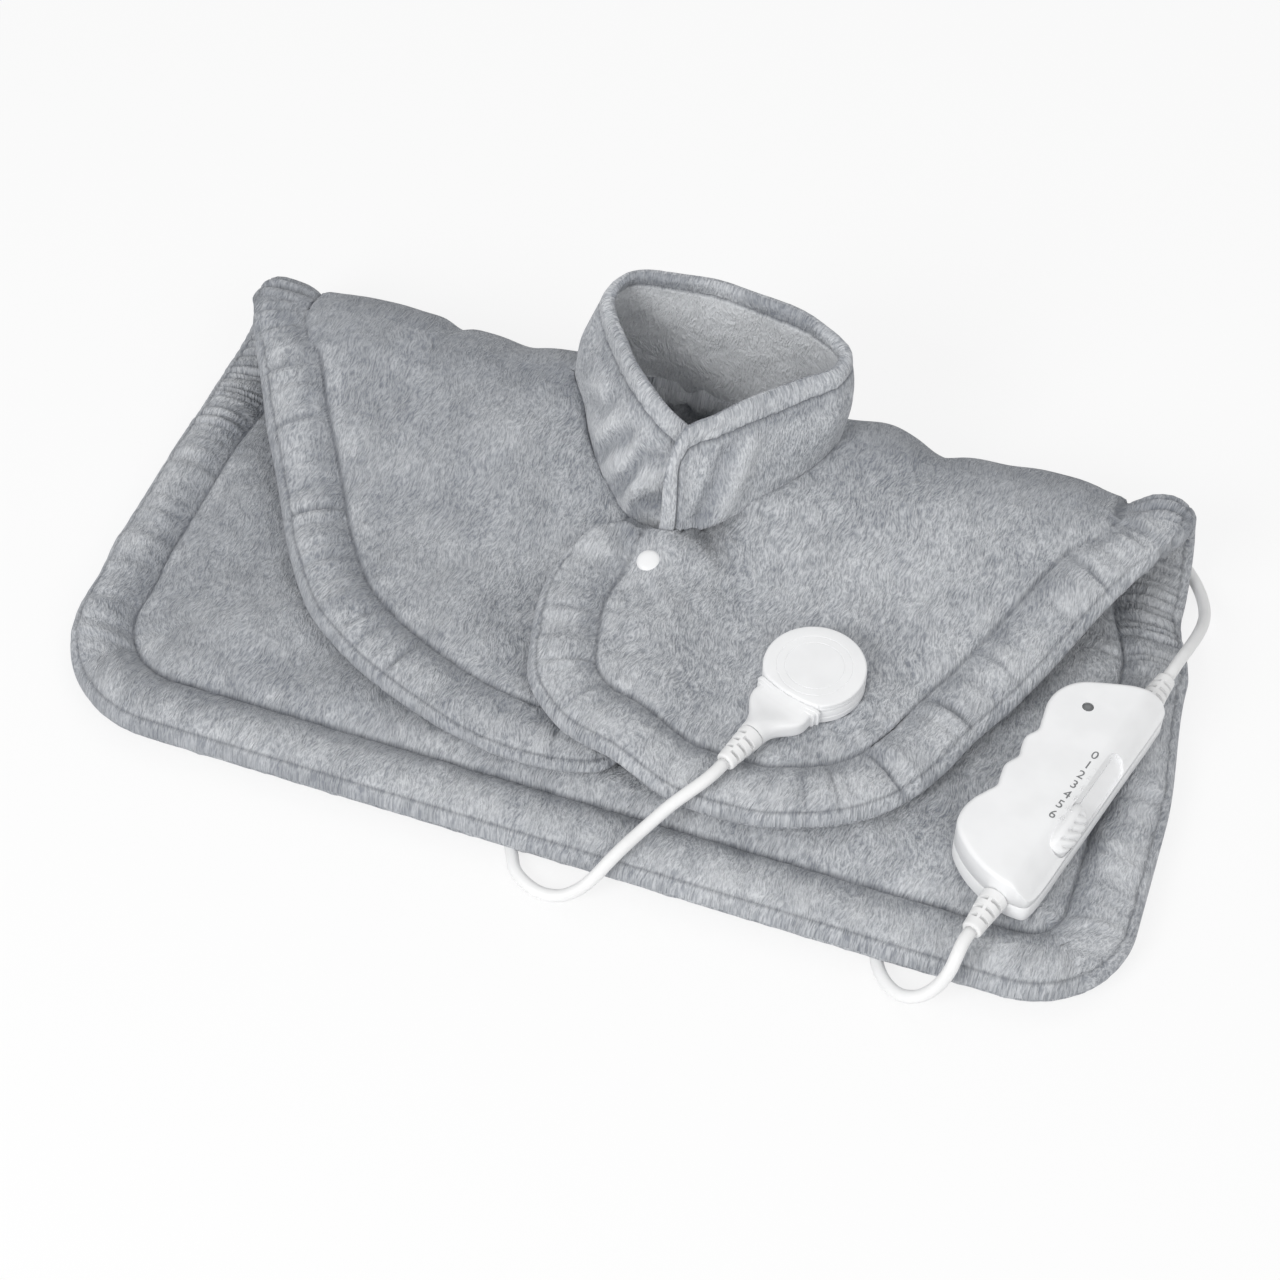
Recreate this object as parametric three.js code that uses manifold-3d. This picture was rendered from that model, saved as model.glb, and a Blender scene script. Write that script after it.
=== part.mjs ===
// Shoulder and neck heating pad, laid flat with its collar standing, and its hand controller.
// Millimetres, +Z up. Origin: the middle of the pad on the surface that it rests on.
// +X runs along the fold, +Y from the near hem to the fold.
import * as THREE from "three";
import { mergeVertices } from "three/addons/utils/BufferGeometryUtils.js";
import Module from "manifold-3d";

const wasm = await Module();
wasm.setup();

// How finely the shapes are divided
const FOLD_ROWS = 8;
const COLLAR_ROWS = 4;
const CORD_SIDES = 8;
const CORD_STEP_DIAMETERS = 2.2;
const COIL_STEPS = 24;
const COIL_SIDES = 6;
const CASE_OUTLINE_STEPS = 42;
const SMALL_SIDES = 10;
const HOLE_SIDES = 12;
const LENS_SIDES = 14;
const ROUND_SIDES = 16;
const STEM_SIDES = 20;
const PLATE_SIDES = 24;
const GROOVE_SIDES = 28;
const DISC_SIDES = 36;
const LEAST_TUBE_STEPS = 4;
const MERGE_DISTANCE = 1e-4;

// Clearances
const SEAT_GAP = 0.3;
const CUT_OVERRUN = 2;
const CUT_TOLERANCE = 0.08;

// Pad as it lies
const PAD_WIDTH = 542;
const PAD_DEPTH = 281;
const LEFT_CORNER_RADIUS = 70;
const RIGHT_CORNER_RADIUS = 50;
const HEM_WIDTH = 32;
const HEM_HEIGHT = 19.5;
const FLAT_STRIP_WIDTH = 8;
const REST_CUT_DEPTH = 0.5;
const RIM_THICKNESS = 3;
const SEAM_THICKNESS = 5.4;
const SEAM_REACH = 8;
const PANEL_THICKNESS = 12.4;
const PANEL_LIFT = 7.4;
const LAYER_SPACE = 5;
const FOLD_HEIGHT = 64;
const FOLD_THICKNESS = 14;
const FOLD_LEAD = 71;

// Front flaps, the right one over the left one
const FLAP_HEM_HEIGHT = 16;
const FLAP_THICKNESS = 13;
const FLAP_REST = 20.3;
const FLAP_FLAT_END = -10;
const FLAP_CURVE = 0.85;
const HEM_ROOM_SHARE = 0.72;
const LAP_RISE = 12.7;
const LAP_CLEARANCE = 5.03;
const LAP_RAMP = 38;
const PRESSED_THICKNESS = 10.8;
const PRESSED_START = -45;
const PRESSED_RAMP = 30;

// Heating layer
const CARRIER_THICKNESS = 0.8;
const CARRIER_DROP = 1.6;
const HEATING_WIRE_DIAMETER = 1.6;
const HEATING_WIRE_RISE = 0.2;
const HEATING_WIRE_SIDES = 5;
const HEATING_WIRE_STEP = 30;

// Stand-up collar
const NECK_X = -5;
const NECK_SETBACK = 28.5;
const NECK_WIDTH = 150;
const NECK_DEPTH = 100;
const COLLAR_FOOT = 45;
const COLLAR_HEIGHT = 90;
const COLLAR_LAYER = 3;
const COLLAR_BULGE = 2.5;
const COLLAR_SINK = 4;
const NECK_DIP_SHARE = 0.206;
const NECK_RAMP_SHARE = 0.3;
const COLLAR_ROOM = 0.42;

// Snap fastener
const SNAP_CAP_DIAMETER = 10;
const SNAP_CAP_HEIGHT = 2.2;
const SNAP_POST_DIAMETER = 3.2;
const SNAP_RING_DIAMETER = 9.4;
const SNAP_RING_HEIGHT = 2;
const SNAP_CAP_SINK = 3.6;
const SNAP_RING_LOWER = 6.2;
const SNAP_STUD_RISE = 4.2;
const SNAP_STUD_THICKNESS = 1.2;
const SNAP_HEAD_DROP = 4.6;
const SNAP_ASIDE = 9;
const SNAP_SETBACK = 20;

// Socket on the right flap
const SOCKET_DIAMETER = 48.5;
const SOCKET_BODY_HEIGHT = 8;
const SOCKET_LID_HEIGHT = 4.2;
const SOCKET_CHORD = 18.3;
const SOCKET_MOUTH_WIDTH = 27;
const SOCKET_MOUTH_HEIGHT = 4.8;
const SOCKET_MOUTH_DEPTH = 17;
const SOCKET_FLOOR = 1.1;
const SOCKET_STEM_DIAMETER = 24;
const SOCKET_PLATE_DIAMETER = 38;
const SOCKET_PLATE_THICKNESS = 1.5;
const SOCKET_PLACE_SHARES = [0.362731, -0.15516];
const LID_GROOVE_SHARES = [0.76, 0.6];
const PLUG_ANGLE = -109.3;
const PIN_DIAMETER = 1.8;
const PIN_LENGTH = 11;
const PIN_PITCH = 8;
const PIN_COUNT = 3;
const GROOVE_DEPTH = 0.35;
const GROOVE_WIDTH = 0.6;

// Plug on the pad cord
const TONGUE_LENGTH = 14;
const TONGUE_CLEARANCE = 0.4;
const CONTACT_DIAMETER = 3.2;
const CONTACT_LENGTH = 12;
const PLUG_LENGTH = 29;
const PLUG_SHOULDER_WIDTH = 33;
const PLUG_HEIGHT = 10.5;
const PLUG_RELIEF_LENGTH = 20;
const PLUG_EDGE = 1.4;
const PLUG_FLANGE_LENGTH = 4;
const PLUG_AXIS_RISE = 4;
const CONTACT_INSET = 1.2;

// Cords
const CORD_DIAMETER = 6;
const TUNNEL_CLEARANCE = 1.1;

// Mains coil behind the pad
const COIL_PLACE_X = -20;
const COIL_PLACE_Y = 196;
const COIL_INNER_RADIUS = 24.5;
const COIL_PITCH = 6.6;
const COIL_LAYER_TURNS = 3.25;
const COIL_CLIMB_DIP = 2;
const TIE_WIDTH = 8;
const TIE_THICKNESS = 0.8;

// Mains plug
const MAINS_PLUG_LENGTH = 36;
const MAINS_PLUG_WIDTH = 14;
const MAINS_PLUG_HEIGHT = 13;
const MAINS_PIN_DIAMETER = 4;
const MAINS_PIN_LENGTH = 19;
const MAINS_PIN_PITCH = 8.6;
const MAINS_PIN_SEAT = 7;
const MAINS_RELIEF_LENGTH = 26;

// Hand controller
const CONTROLLER_LENGTH = 132;
const CONTROLLER_WIDTH = 46;
const CONTROLLER_HEIGHT = 25;
const CONTROLLER_WALL = 2.2;
const CONTROLLER_EDGE = 3.5;
const CONTROLLER_PARTING = 10.5;
const CONTROLLER_CHAMFER = 9;
const CONTROLLER_INSET = 32.5;
const CONTROLLER_PLACE_Y = -46.3;
const CONTROLLER_ANGLE = 75.25;
const PAD_RELIEF_OFFSET = 14;
const MAINS_RELIEF_OFFSET = 8;
const CASE_RELIEF_LENGTH = 21;
const RELIEF_DIAMETER = 12.6;
const RELIEF_TIP_DIAMETER = 8.4;
const RELIEF_NECK_DIAMETER = 8.2;
const RELIEF_NECK_DEPTH = 5;
const RELIEF_RIBS = 4;
const RELIEF_GROOVE = 1;
const RELIEF_RIB_SHARE = 0.62;

// Slider
const SETTING_COUNT = 7;
const SETTING_PITCH = 6.6;
const LAST_SETTING_X = -22.2;
const KNOB_LENGTH = 28;
const KNOB_WIDTH = 8.2;
const KNOB_HEIGHT = 5.4;
const KNOB_RIBS = 5;
const KNOB_RIB_HEIGHT = 0.9;
const KNOB_RIB_WIDTH = 0.6;
const KNOB_RIB_LENGTH = 6.888;
const KNOB_RIBBED_SHARE = 0.66;
const RECESS_DEPTH = 2.4;
const SLOT_FLOOR = 2.6;
const NECK_LENGTH = 9;
const NECK_THICKNESS = 2.6;
const CARRIAGE_HEIGHT = 2.6;
const CARRIAGE_WIDTH = 7;
const CARRIAGE_LENGTH = 12.6;
const WIPER_LENGTH = 4;
const WIPER_HEIGHT = 3;
const SWITCH_HEIGHT = 4.6;
const SWITCH_WIDTH = 7.4;

// Inside the controller
const BOARD_LENGTH = 86;
const BOARD_WIDTH = 15;
const BOARD_THICKNESS = 1.6;
const BOARD_PLACE_X = 3;
const BOARD_PLACE_Y = 22.3;
const BOARD_LEVEL = 5.4;
const BOARD_PARTS = {
  capacitor: { place: -26, length: 13, width: 10, height: 8.5, finish: "dark_plastic" },
  triac: { place: -4, length: 10, width: 4.6, height: 9, finish: "dark_plastic" },
  fuse: { place: 14, length: 15, width: 5, height: 5, finish: "metal" },
};
const LED_DIAMETER = 5;
const LED_END_INSET = 25.6;
const LED_GRIP_INSET = 19.1;
const LENS_FLANGE = 1.4;
const LENS_CROWN = 0.45;
const SCREW_DIAMETER = 2.6;
const SCREW_HEAD_DIAMETER = 5;
const SCREW_HEAD_HEIGHT = 1.8;
const SCREW_LENGTH = 13;
const SCREW_PLACE_SHARES = [[-0.39, 0.24], [-0.37, 0.72], [0.41, 0.26], [0.345, 0.76]];
const BOSS_DIAMETER = 7.2;

const halfTurn = Math.PI;
const fullTurn = 2 * halfTurn;
const quarterTurn = halfTurn / 2;
const eighthTurn = halfTurn / 4;
const degrees = halfTurn / 180;
const lerp = (a, b, t) => a + (b - a) * t;
const clamp01 = (t) => Math.min(1, Math.max(0, t));
const smooth = (t) => clamp01(t) ** 2 * (3 - 2 * clamp01(t));
const vec = (x, y, z) => new THREE.Vector3(x, y, z);

// Reads a list of [place, value] pairs as one smooth line.
function along(pairs, place) {
  const last = pairs.length - 1;
  if (place <= pairs[0][0]) return pairs[0][1];
  if (place >= pairs[last][0]) return pairs[last][1];
  const next = pairs.findIndex((pair) => pair[0] >= place);
  const [from, to] = [pairs[next - 1], pairs[next]];
  return lerp(from[1], to[1], smooth((place - from[0]) / (to[0] - from[0])));
}

const finishes = {
  plush: { color: 0x9aa1a8, roughness: 0.95, metalness: 0 },
  lining: { color: 0xa7adb3, roughness: 0.95, metalness: 0 },
  fleece: { color: 0xe7e4dc, roughness: 1, metalness: 0 },
  white_shell: { color: 0xf1f1ef, roughness: 0.45, metalness: 0 },
  white_rubber: { color: 0xebebe9, roughness: 0.6, metalness: 0 },
  lamp_grey: { color: 0x6d6f72, roughness: 0.2, metalness: 0 },
  board_green: { color: 0x2d6a45, roughness: 0.6, metalness: 0 },
  metal: { color: 0xb9bcc0, roughness: 0.3, metalness: 1 },
  dark_plastic: { color: 0x2a2b2e, roughness: 0.5, metalness: 0 },
};
const materials = Object.fromEntries(
  Object.entries(finishes).map(([name, values]) => [name, new THREE.MeshStandardMaterial(values)]),
);

const group = new THREE.Group();

function add(parent, name, geometry, finish) {
  const mesh = new THREE.Mesh(geometry, materials[finish]);
  mesh.name = name;
  parent.add(mesh);
  return mesh;
}

function geometryOf(points, faces) {
  const geometry = new THREE.BufferGeometry();
  const places = points.flatMap((p) => p.toArray());
  geometry.setAttribute("position", new THREE.Float32BufferAttribute(places, 3));
  geometry.setIndex(faces);
  return geometry;
}

// A closed solid between two grids of points, its faces turned outwards.
function gridSolid(columns, rows, lowAt, highAt) {
  const points = [];
  for (let i = 0; i < columns; i++) {
    for (let j = 0; j < rows; j++) points.push(lowAt(i, j), highAt(i, j));
  }
  const low = (i, j) => (i * rows + j) * 2;
  const high = (i, j) => low(i, j) + 1;
  const faces = [];
  const quad = (a, b, c, d) => faces.push(a, b, c, a, c, d);
  for (let i = 0; i < columns - 1; i++) {
    for (let j = 0; j < rows - 1; j++) {
      quad(high(i, j), high(i + 1, j), high(i + 1, j + 1), high(i, j + 1));
      quad(low(i, j), low(i, j + 1), low(i + 1, j + 1), low(i + 1, j));
    }
  }
  const [lastColumn, lastRow] = [columns - 1, rows - 1];
  for (let i = 0; i < lastColumn; i++) {
    quad(low(i, 0), low(i + 1, 0), high(i + 1, 0), high(i, 0));
    quad(low(i + 1, lastRow), low(i, lastRow), high(i, lastRow), high(i + 1, lastRow));
  }
  for (let j = 0; j < lastRow; j++) {
    quad(low(0, j + 1), low(0, j), high(0, j), high(0, j + 1));
    quad(low(lastColumn, j), low(lastColumn, j + 1), high(lastColumn, j + 1), high(lastColumn, j));
  }
  if (signedVolume(points, faces) < 0) faces.reverse();
  return geometryOf(points, faces);
}

function signedVolume(points, faces) {
  let volume = 0;
  for (let k = 0; k < faces.length; k += 3) {
    const [a, b, c] = [points[faces[k]], points[faces[k + 1]], points[faces[k + 2]]];
    volume += a.dot(b.clone().cross(c));
  }
  return volume;
}

function toSolid(geometry) {
  const plain = geometry.index ? geometry.toNonIndexed() : geometry.clone();
  plain.deleteAttribute("normal");
  plain.deleteAttribute("uv");
  const merged = mergeVertices(plain, MERGE_DISTANCE);
  return new wasm.Manifold(
    new wasm.Mesh({
      numProp: 3,
      vertProperties: merged.attributes.position.array,
      triVerts: new Uint32Array(merged.index.array),
    }),
  );
}

function fromSolid(solid) {
  const mesh = solid.getMesh();
  const geometry = new THREE.BufferGeometry();
  geometry.setAttribute("position", new THREE.BufferAttribute(new Float32Array(mesh.vertProperties), 3));
  geometry.setIndex(new THREE.BufferAttribute(new Uint32Array(mesh.triVerts), 1));
  return geometry;
}

function carve(geometry, removed, joined = []) {
  let solid = toSolid(geometry);
  for (const extra of joined) solid = solid.add(toSolid(extra));
  for (const cutter of removed) solid = solid.subtract(toSolid(cutter));
  return fromSolid(solid);
}

function keepLargest(geometry, tolerance = 0) {
  const bodies = toSolid(geometry).decompose();
  bodies.sort((a, b) => b.volume() - a.volume());
  return fromSolid(tolerance ? bodies[0].simplify(tolerance) : bodies[0]);
}

const box = (x0, x1, y0, y1, z0, z1) =>
  new THREE.BoxGeometry(x1 - x0, y1 - y0, z1 - z0).translate((x0 + x1) / 2, (y0 + y1) / 2, (z0 + z1) / 2);

const rod = (diameter, z0, z1, x = 0, y = 0, sides = ROUND_SIDES) =>
  new THREE.CylinderGeometry(diameter / 2, diameter / 2, z1 - z0, sides)
    .rotateX(quarterTurn)
    .translate(x, y, (z0 + z1) / 2);

// A turned piece about Z from [radius, height] pairs that start and end on the axis.
function turned(profile, sides = ROUND_SIDES) {
  const points = profile.map(([radius, height]) => new THREE.Vector2(radius, height));
  return fromSolid(toSolid(new THREE.LatheGeometry(points, sides).rotateX(quarterTurn)));
}

// A tube with flat ends along a smooth line through the points.
function tube(points, diameter, sides, stepLength) {
  const line = new THREE.CatmullRomCurve3(points, false, "centripetal");
  const section = new THREE.Shape();
  for (let k = 0; k < sides; k++) {
    const turn = (k / sides) * fullTurn;
    const [x, y] = [(Math.cos(turn) * diameter) / 2, (Math.sin(turn) * diameter) / 2];
    if (k) section.lineTo(x, y);
    else section.moveTo(x, y);
  }
  section.closePath();
  const steps = Math.max(LEAST_TUBE_STEPS, Math.round(line.getLength() / stepLength));
  const along = { steps, extrudePath: line, bevelEnabled: false, curveSegments: 1 };
  return new THREE.ExtrudeGeometry(section, along);
}

// Back panel: places on the cloth are (x, s), with s measured along it from the near edge.
const halfWidth = PAD_WIDTH / 2;
const halfDepth = PAD_DEPTH / 2;
const foldRadius = FOLD_HEIGHT / 2;
const foldMidRadius = foldRadius - FOLD_THICKNESS / 2;
const foldY = halfDepth - foldRadius;
const flatLength = foldY + halfDepth;
const foldLength = Math.PI * foldMidRadius;
const layerHalf = LAYER_SPACE / 2;
const seatHalf = SEAT_GAP / 2;
const neckY = foldY - NECK_SETBACK;
const [socketX, socketY] = [SOCKET_PLACE_SHARES[0] * halfWidth, SOCKET_PLACE_SHARES[1] * halfDepth];
const hemSteps = [
  0,
  HEM_WIDTH / 8,
  (HEM_WIDTH - FLAT_STRIP_WIDTH) / 2,
  (HEM_WIDTH + FLAT_STRIP_WIDTH) / 2,
  HEM_WIDTH,
  HEM_WIDTH + SEAM_REACH,
];
// How far each side reaches, as a share of the half width, against the share of the cloth's length.
const leftReachShares = [[0, 0.967], [0.24, 0.967], [0.33, 0.98], [0.6, 0.99], [0.76, 1], [1, 0.937]];
const rightReachShares = [[0, 1], [0.34, 1], [0.6, 0.972], [0.74, 0.93], [1, 0.9]];

const neckX = (share) => NECK_X + (share * NECK_WIDTH) / 2;
const neckShare = (x) => smooth((1 - Math.abs(x - NECK_X) / (NECK_WIDTH / 2)) / NECK_RAMP_SHARE);
const backEnd = (x) => flatLength + foldLength * (1 - NECK_DIP_SHARE * neckShare(x));

// Turns a place on a sharp-cornered cloth into one with round near corners, ring by ring.
function roundCorner(x, s) {
  const radius = x < 0 ? LEFT_CORNER_RADIUS : RIGHT_CORNER_RADIUS;
  const side = halfWidth - Math.abs(x);
  if (side >= radius || s >= radius) return [x, s];
  const ring = Math.min(side, s);
  const turn = ((side - s) / (radius - ring) + 1) * eighthTurn;
  const reach = radius - ring;
  return [Math.sign(x) * (halfWidth - radius + reach * Math.cos(turn)), radius - reach * Math.sin(turn)];
}

function hemThickness(edge, width, hem, panel) {
  if (edge >= width) {
    const rise = Math.sqrt(clamp01((edge - width) / (SEAM_REACH * 3)));
    return lerp(SEAM_THICKNESS, panel, rise);
  }
  const round = hem * Math.sqrt(Math.max(0, 1 - (1 - (2 * edge) / width) ** 2));
  return Math.max(round, edge < width / 2 ? RIM_THICKNESS : SEAM_THICKNESS);
}

function backPoint(x, s, rise) {
  const [u, t] = s < flatLength ? roundCorner(x, s) : [x, s];
  const share = t / (flatLength + foldLength);
  const px = u * along(u < 0 ? leftReachShares : rightReachShares, share);
  if (t <= flatLength) return vec(px, t - halfDepth, Math.max(0, backLevel(x, s) + rise));
  const turn = (t - flatLength) / foldMidRadius;
  const radius = foldMidRadius - rise;
  return vec(px, foldY + radius * Math.sin(turn), Math.max(0, foldRadius - radius * Math.cos(turn)));
}

const edgeOf = (x, s) => Math.min(halfWidth - Math.abs(x), s);
const foldShare = (s) => smooth((s - flatLength) / FOLD_LEAD + 1);

function backLevel(x, s) {
  const onHem = HEM_HEIGHT / 2;
  const onPanel = PANEL_LIFT + PANEL_THICKNESS / 2;
  const flat = lerp(onHem, onPanel, smooth((edgeOf(x, s) - (HEM_WIDTH * 3) / 4) / HEM_WIDTH));
  return lerp(flat, FOLD_THICKNESS / 2, foldShare(s));
}

function backHalf(x, s) {
  const hem = lerp(HEM_HEIGHT, FOLD_THICKNESS, foldShare(s));
  const panel = lerp(PANEL_THICKNESS, FOLD_THICKNESS, foldShare(s));
  return hemThickness(edgeOf(x, s), HEM_WIDTH, hem, panel) / 2;
}

// Half the space between the covers, which closes towards the hem and the sewn end.
function backSpace(x, s) {
  const inside = smooth((edgeOf(x, s) - HEM_WIDTH - SEAM_REACH) / HEM_WIDTH);
  const before = smooth((backEnd(x) - s) / HEM_WIDTH);
  return lerp(seatHalf, layerHalf, inside * before);
}

const sharesOf = (size, shares) => shares.map((share) => share * size);
const backColumns = [
  ...hemSteps.map((step) => step - halfWidth),
  ...sharesOf(halfWidth, [-0.734, -0.515]),
  ...[-1, -0.7, 0, 0.7, 1].map(neckX),
  ...sharesOf(halfWidth, [0.43, 0.58, 0.734]),
  ...hemSteps.map((step) => halfWidth - step).reverse(),
];
const openLength = flatLength - HEM_WIDTH - SEAM_REACH;
const flatRows = [
  ...hemSteps,
  ...sharesOf(openLength, [0.16, 0.4, 0.64, 0.83, 0.95, 1]).map((s) => s + HEM_WIDTH + SEAM_REACH),
];
const backRow = (x, j) =>
  j < flatRows.length
    ? flatRows[j]
    : lerp(flatLength, backEnd(x), (j - flatRows.length + 1) / FOLD_ROWS);
const backRows = flatRows.length + FOLD_ROWS;

function backLayer(low, high, columnSkip = 0, firstRow = 0, lastRow = backRows) {
  const at = (rise) => (i, j) => {
    const x = backColumns[i + columnSkip];
    const s = backRow(x, j + firstRow);
    return backPoint(x, s, rise(x, s));
  };
  return gridSolid(backColumns.length - 2 * columnSkip, lastRow - firstRow, at(low), at(high));
}

// Collar stations from the inner end at the front, round the back, to the outer end at the front.
// Base [x, y] and top [x, y] are shares of the neck's half width and depth from its middle,
// and the last number is the top's height as a share of the collar's, above the closed flaps.
const collarShares = [
  [[0.36, -0.31], [0.33, -0.13], 0.43],
  [[0.19, -0.37], [0.15, -0.13], 0.48],
  [[-0.01, -0.385], [-0.05, -0.1], 0.56],
  [[-0.25, -0.305], [-0.27, 0], 0.67],
  [[-0.49, -0.12], [-0.43, 0.07], 0.76],
  [[-0.69, 0.12], [-0.52, 0.13], 0.86],
  [[-0.87, 0.35], [-0.57, 0.21], 0.95],
  [[-0.76, 0.46], [-0.49, 0.3], 1],
  [[-0.4, 0.485], [-0.25, 0.37], 1],
  [[0.07, 0.485], [0.09, 0.41], 0.985],
  [[0.49, 0.475], [0.43, 0.42], 0.95],
  [[0.81, 0.43], [0.73, 0.41], 0.89],
  [[0.95, 0.32], [0.97, 0.34], 0.82],
  [[0.91, 0.18], [0.95, 0.24], 0.77],
  [[0.76, -0.02], [0.73, 0.16], 0.71],
  [[0.57, -0.24], [0.51, 0.03], 0.65],
  [[0.39, -0.385], [0.31, -0.11], 0.6],
  [[0.23, -0.455], [0.15, -0.21], 0.56],
  [[0.1, -0.485], [0.05, -0.34], 0.4],
];
const neckPoint = ([x, y]) => [neckX(x), neckY + y * NECK_DEPTH];
const collarBase = collarShares.map((station) => neckPoint(station[0]));
const collarTop = collarShares.map((station) => neckPoint(station[1]));
const collarRise = collarShares.map((station) => COLLAR_FOOT + station[2] * COLLAR_HEIGHT);

// Front flaps: columns fan from the free edge to the neck, rows follow the hem inwards.
const flapMidFlat = FLAP_REST + FLAP_HEM_HEIGHT / 2;
const flapMidTop = FOLD_HEIGHT - FOLD_THICKNESS / 2;
const flapClimb = (y) => smooth((y - FLAP_FLAT_END) / (foldY - FLAP_FLAT_END)) ** FLAP_CURVE;
const flapLevel = (y) => lerp(flapMidFlat, flapMidTop, flapClimb(y));
const leftTipShares = [0.07, -0.72];
const lapStart = leftTipShares[0] * halfWidth + LAP_CLEARANCE;
const lapShare = (x) => 1 - smooth((x - lapStart) / LAP_RAMP);
const pressShare = (x) => smooth((x - PRESSED_START) / PRESSED_RAMP + 1);
const flapEndY = foldY - SEAT_GAP;

const leftFlap = {
  columns: 19,
  wireColumns: { first: 2, step: 10, last: 9 },
  edgeShares: [
    [-0.937, 0.77], [-0.882, 0.586], [-0.827, 0.413], [-0.782, 0.263], [-0.734, 0.125],
    [-0.69, -0.009], [-0.646, -0.146], [-0.587, -0.302], [-0.531, -0.423], [-0.469, -0.509],
    [-0.406, -0.58], [-0.332, -0.644], [-0.258, -0.694], [-0.173, -0.73], [-0.096, -0.751],
    [-0.022, -0.751], leftTipShares,
  ],
  neck: [[neckX(-0.92), flapEndY], ...collarBase.slice(1, 6).reverse(), neckPoint([0.253, -0.355])],
  startBlendShare: 0.2,
  endBlendShare: 0.05,
  endThicknessShare: 1,
  level: (x, y) => flapLevel(y) - (pressShare(x) * (FLAP_HEM_HEIGHT - PRESSED_THICKNESS)) / 2,
  hem: (x) => lerp(FLAP_HEM_HEIGHT, PRESSED_THICKNESS, pressShare(x)),
  panel: (x) => lerp(FLAP_THICKNESS, PRESSED_THICKNESS, pressShare(x)),
};
const rightFlap = {
  columns: 24,
  wireColumns: { first: 2, step: 7, last: 12 },
  edgeShares: [
    [0.904, 0.77], [0.875, 0.683], [0.834, 0.53], [0.793, 0.377], [0.745, 0.176],
    [0.697, -0.014], [0.66, -0.153], [0.62, -0.352], [0.572, -0.509], [0.502, -0.63],
    [0.428, -0.7], [0.365, -0.74], [0.3, -0.751], [0.225, -0.747], [0.155, -0.733],
    [0.074, -0.698], [0.004, -0.662], [-0.055, -0.587], [-0.096, -0.498], [-0.124, -0.345],
    [-0.148, -0.125], [-0.142, 0.025], [-0.114, 0.142], [-0.059, 0.203],
  ],
  neck: [[neckX(1), flapEndY], ...collarBase.slice(13, 18), neckPoint([0.173, -0.485])],
  startBlendShare: 0.16,
  endBlendShare: 0.24,
  endThicknessShare: 0.6,
  level: (x, y) => flapLevel(y) + LAP_RISE * lapShare(x),
  hem: () => FLAP_HEM_HEIGHT,
  panel: () => FLAP_THICKNESS,
};
const flapHemSteps = [0, HEM_WIDTH / 8, HEM_WIDTH / 2, HEM_WIDTH, HEM_WIDTH + SEAM_REACH];
const flapInnerShares = [0.12, 0.45, 0.8, 1];
const flapRows = flapHemSteps.length + flapInnerShares.length;

function layOutFlap(flap) {
  const edge = new THREE.CatmullRomCurve3(
    flap.edgeShares.map(([x, y]) => vec(x * halfWidth, Math.min(y * halfDepth, flapEndY), 0)),
    false,
    "centripetal",
  );
  const neck = new THREE.CatmullRomCurve3(flap.neck.map(([x, y]) => vec(x, y, 0)), false, "centripetal");
  const middle = edge.getPointAt(0.5).lerp(neck.getPointAt(0.5), 0.5);
  flap.places = [];
  for (let i = 0; i < flap.columns; i++) {
    const share = i / (flap.columns - 1);
    const start = edge.getPointAt(share);
    const end = neck.getPointAt(share);
    const way = edge.getTangentAt(share);
    const inward = vec(-way.y, way.x, 0);
    if (inward.dot(middle.clone().sub(start)) < 0) inward.negate();
    const straight = end.clone().sub(start).normalize();
    const early = (1 - clamp01(share / flap.startBlendShare)) ** 2;
    const late = (1 - clamp01((1 - share) / flap.endBlendShare)) ** 2;
    const heading = inward.lerp(straight, Math.max(early, late)).normalize();
    const room = Math.min(1, (HEM_ROOM_SHARE * start.distanceTo(end)) / flapHemSteps.at(-1));
    const column = flapHemSteps.map((step) => start.clone().addScaledVector(heading, step * room));
    const seam = column[column.length - 1];
    for (const inner of flapInnerShares) column.push(seam.clone().lerp(end, inner));
    flap.places.push(column);
  }
}

function flapHalf(flap, i, j) {
  const { x, y } = flap.places[i][j];
  const edge = j < flapHemSteps.length ? flapHemSteps[j] : PAD_WIDTH;
  const last = i === flap.columns - 1 ? flap.endThicknessShare : 1;
  const climb = flapClimb(y);
  const hem = lerp(flap.hem(x), FOLD_THICKNESS, climb);
  const panel = lerp(flap.panel(x), FOLD_THICKNESS, climb);
  return (last * hemThickness(edge, HEM_WIDTH, hem, panel)) / 2;
}

const flapSpace = (flap, i, j) =>
  j >= flapHemSteps.length && j < flapRows - 1 && i > 0 && i < flap.columns - 1 ? layerHalf : seatHalf;

function flapLayer(flap, low, high, columnSkip = 0, firstRow = 0, lastRow = flapRows) {
  const at = (rise) => (i, j) => {
    const place = flap.places[i + columnSkip][j + firstRow];
    const lift = rise(i + columnSkip, j + firstRow);
    return vec(place.x, place.y, flap.level(place.x, place.y) + lift);
  };
  return gridSolid(flap.columns - 2 * columnSkip, lastRow - firstRow, at(low), at(high));
}

layOutFlap(leftFlap);
layOutFlap(rightFlap);

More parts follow.
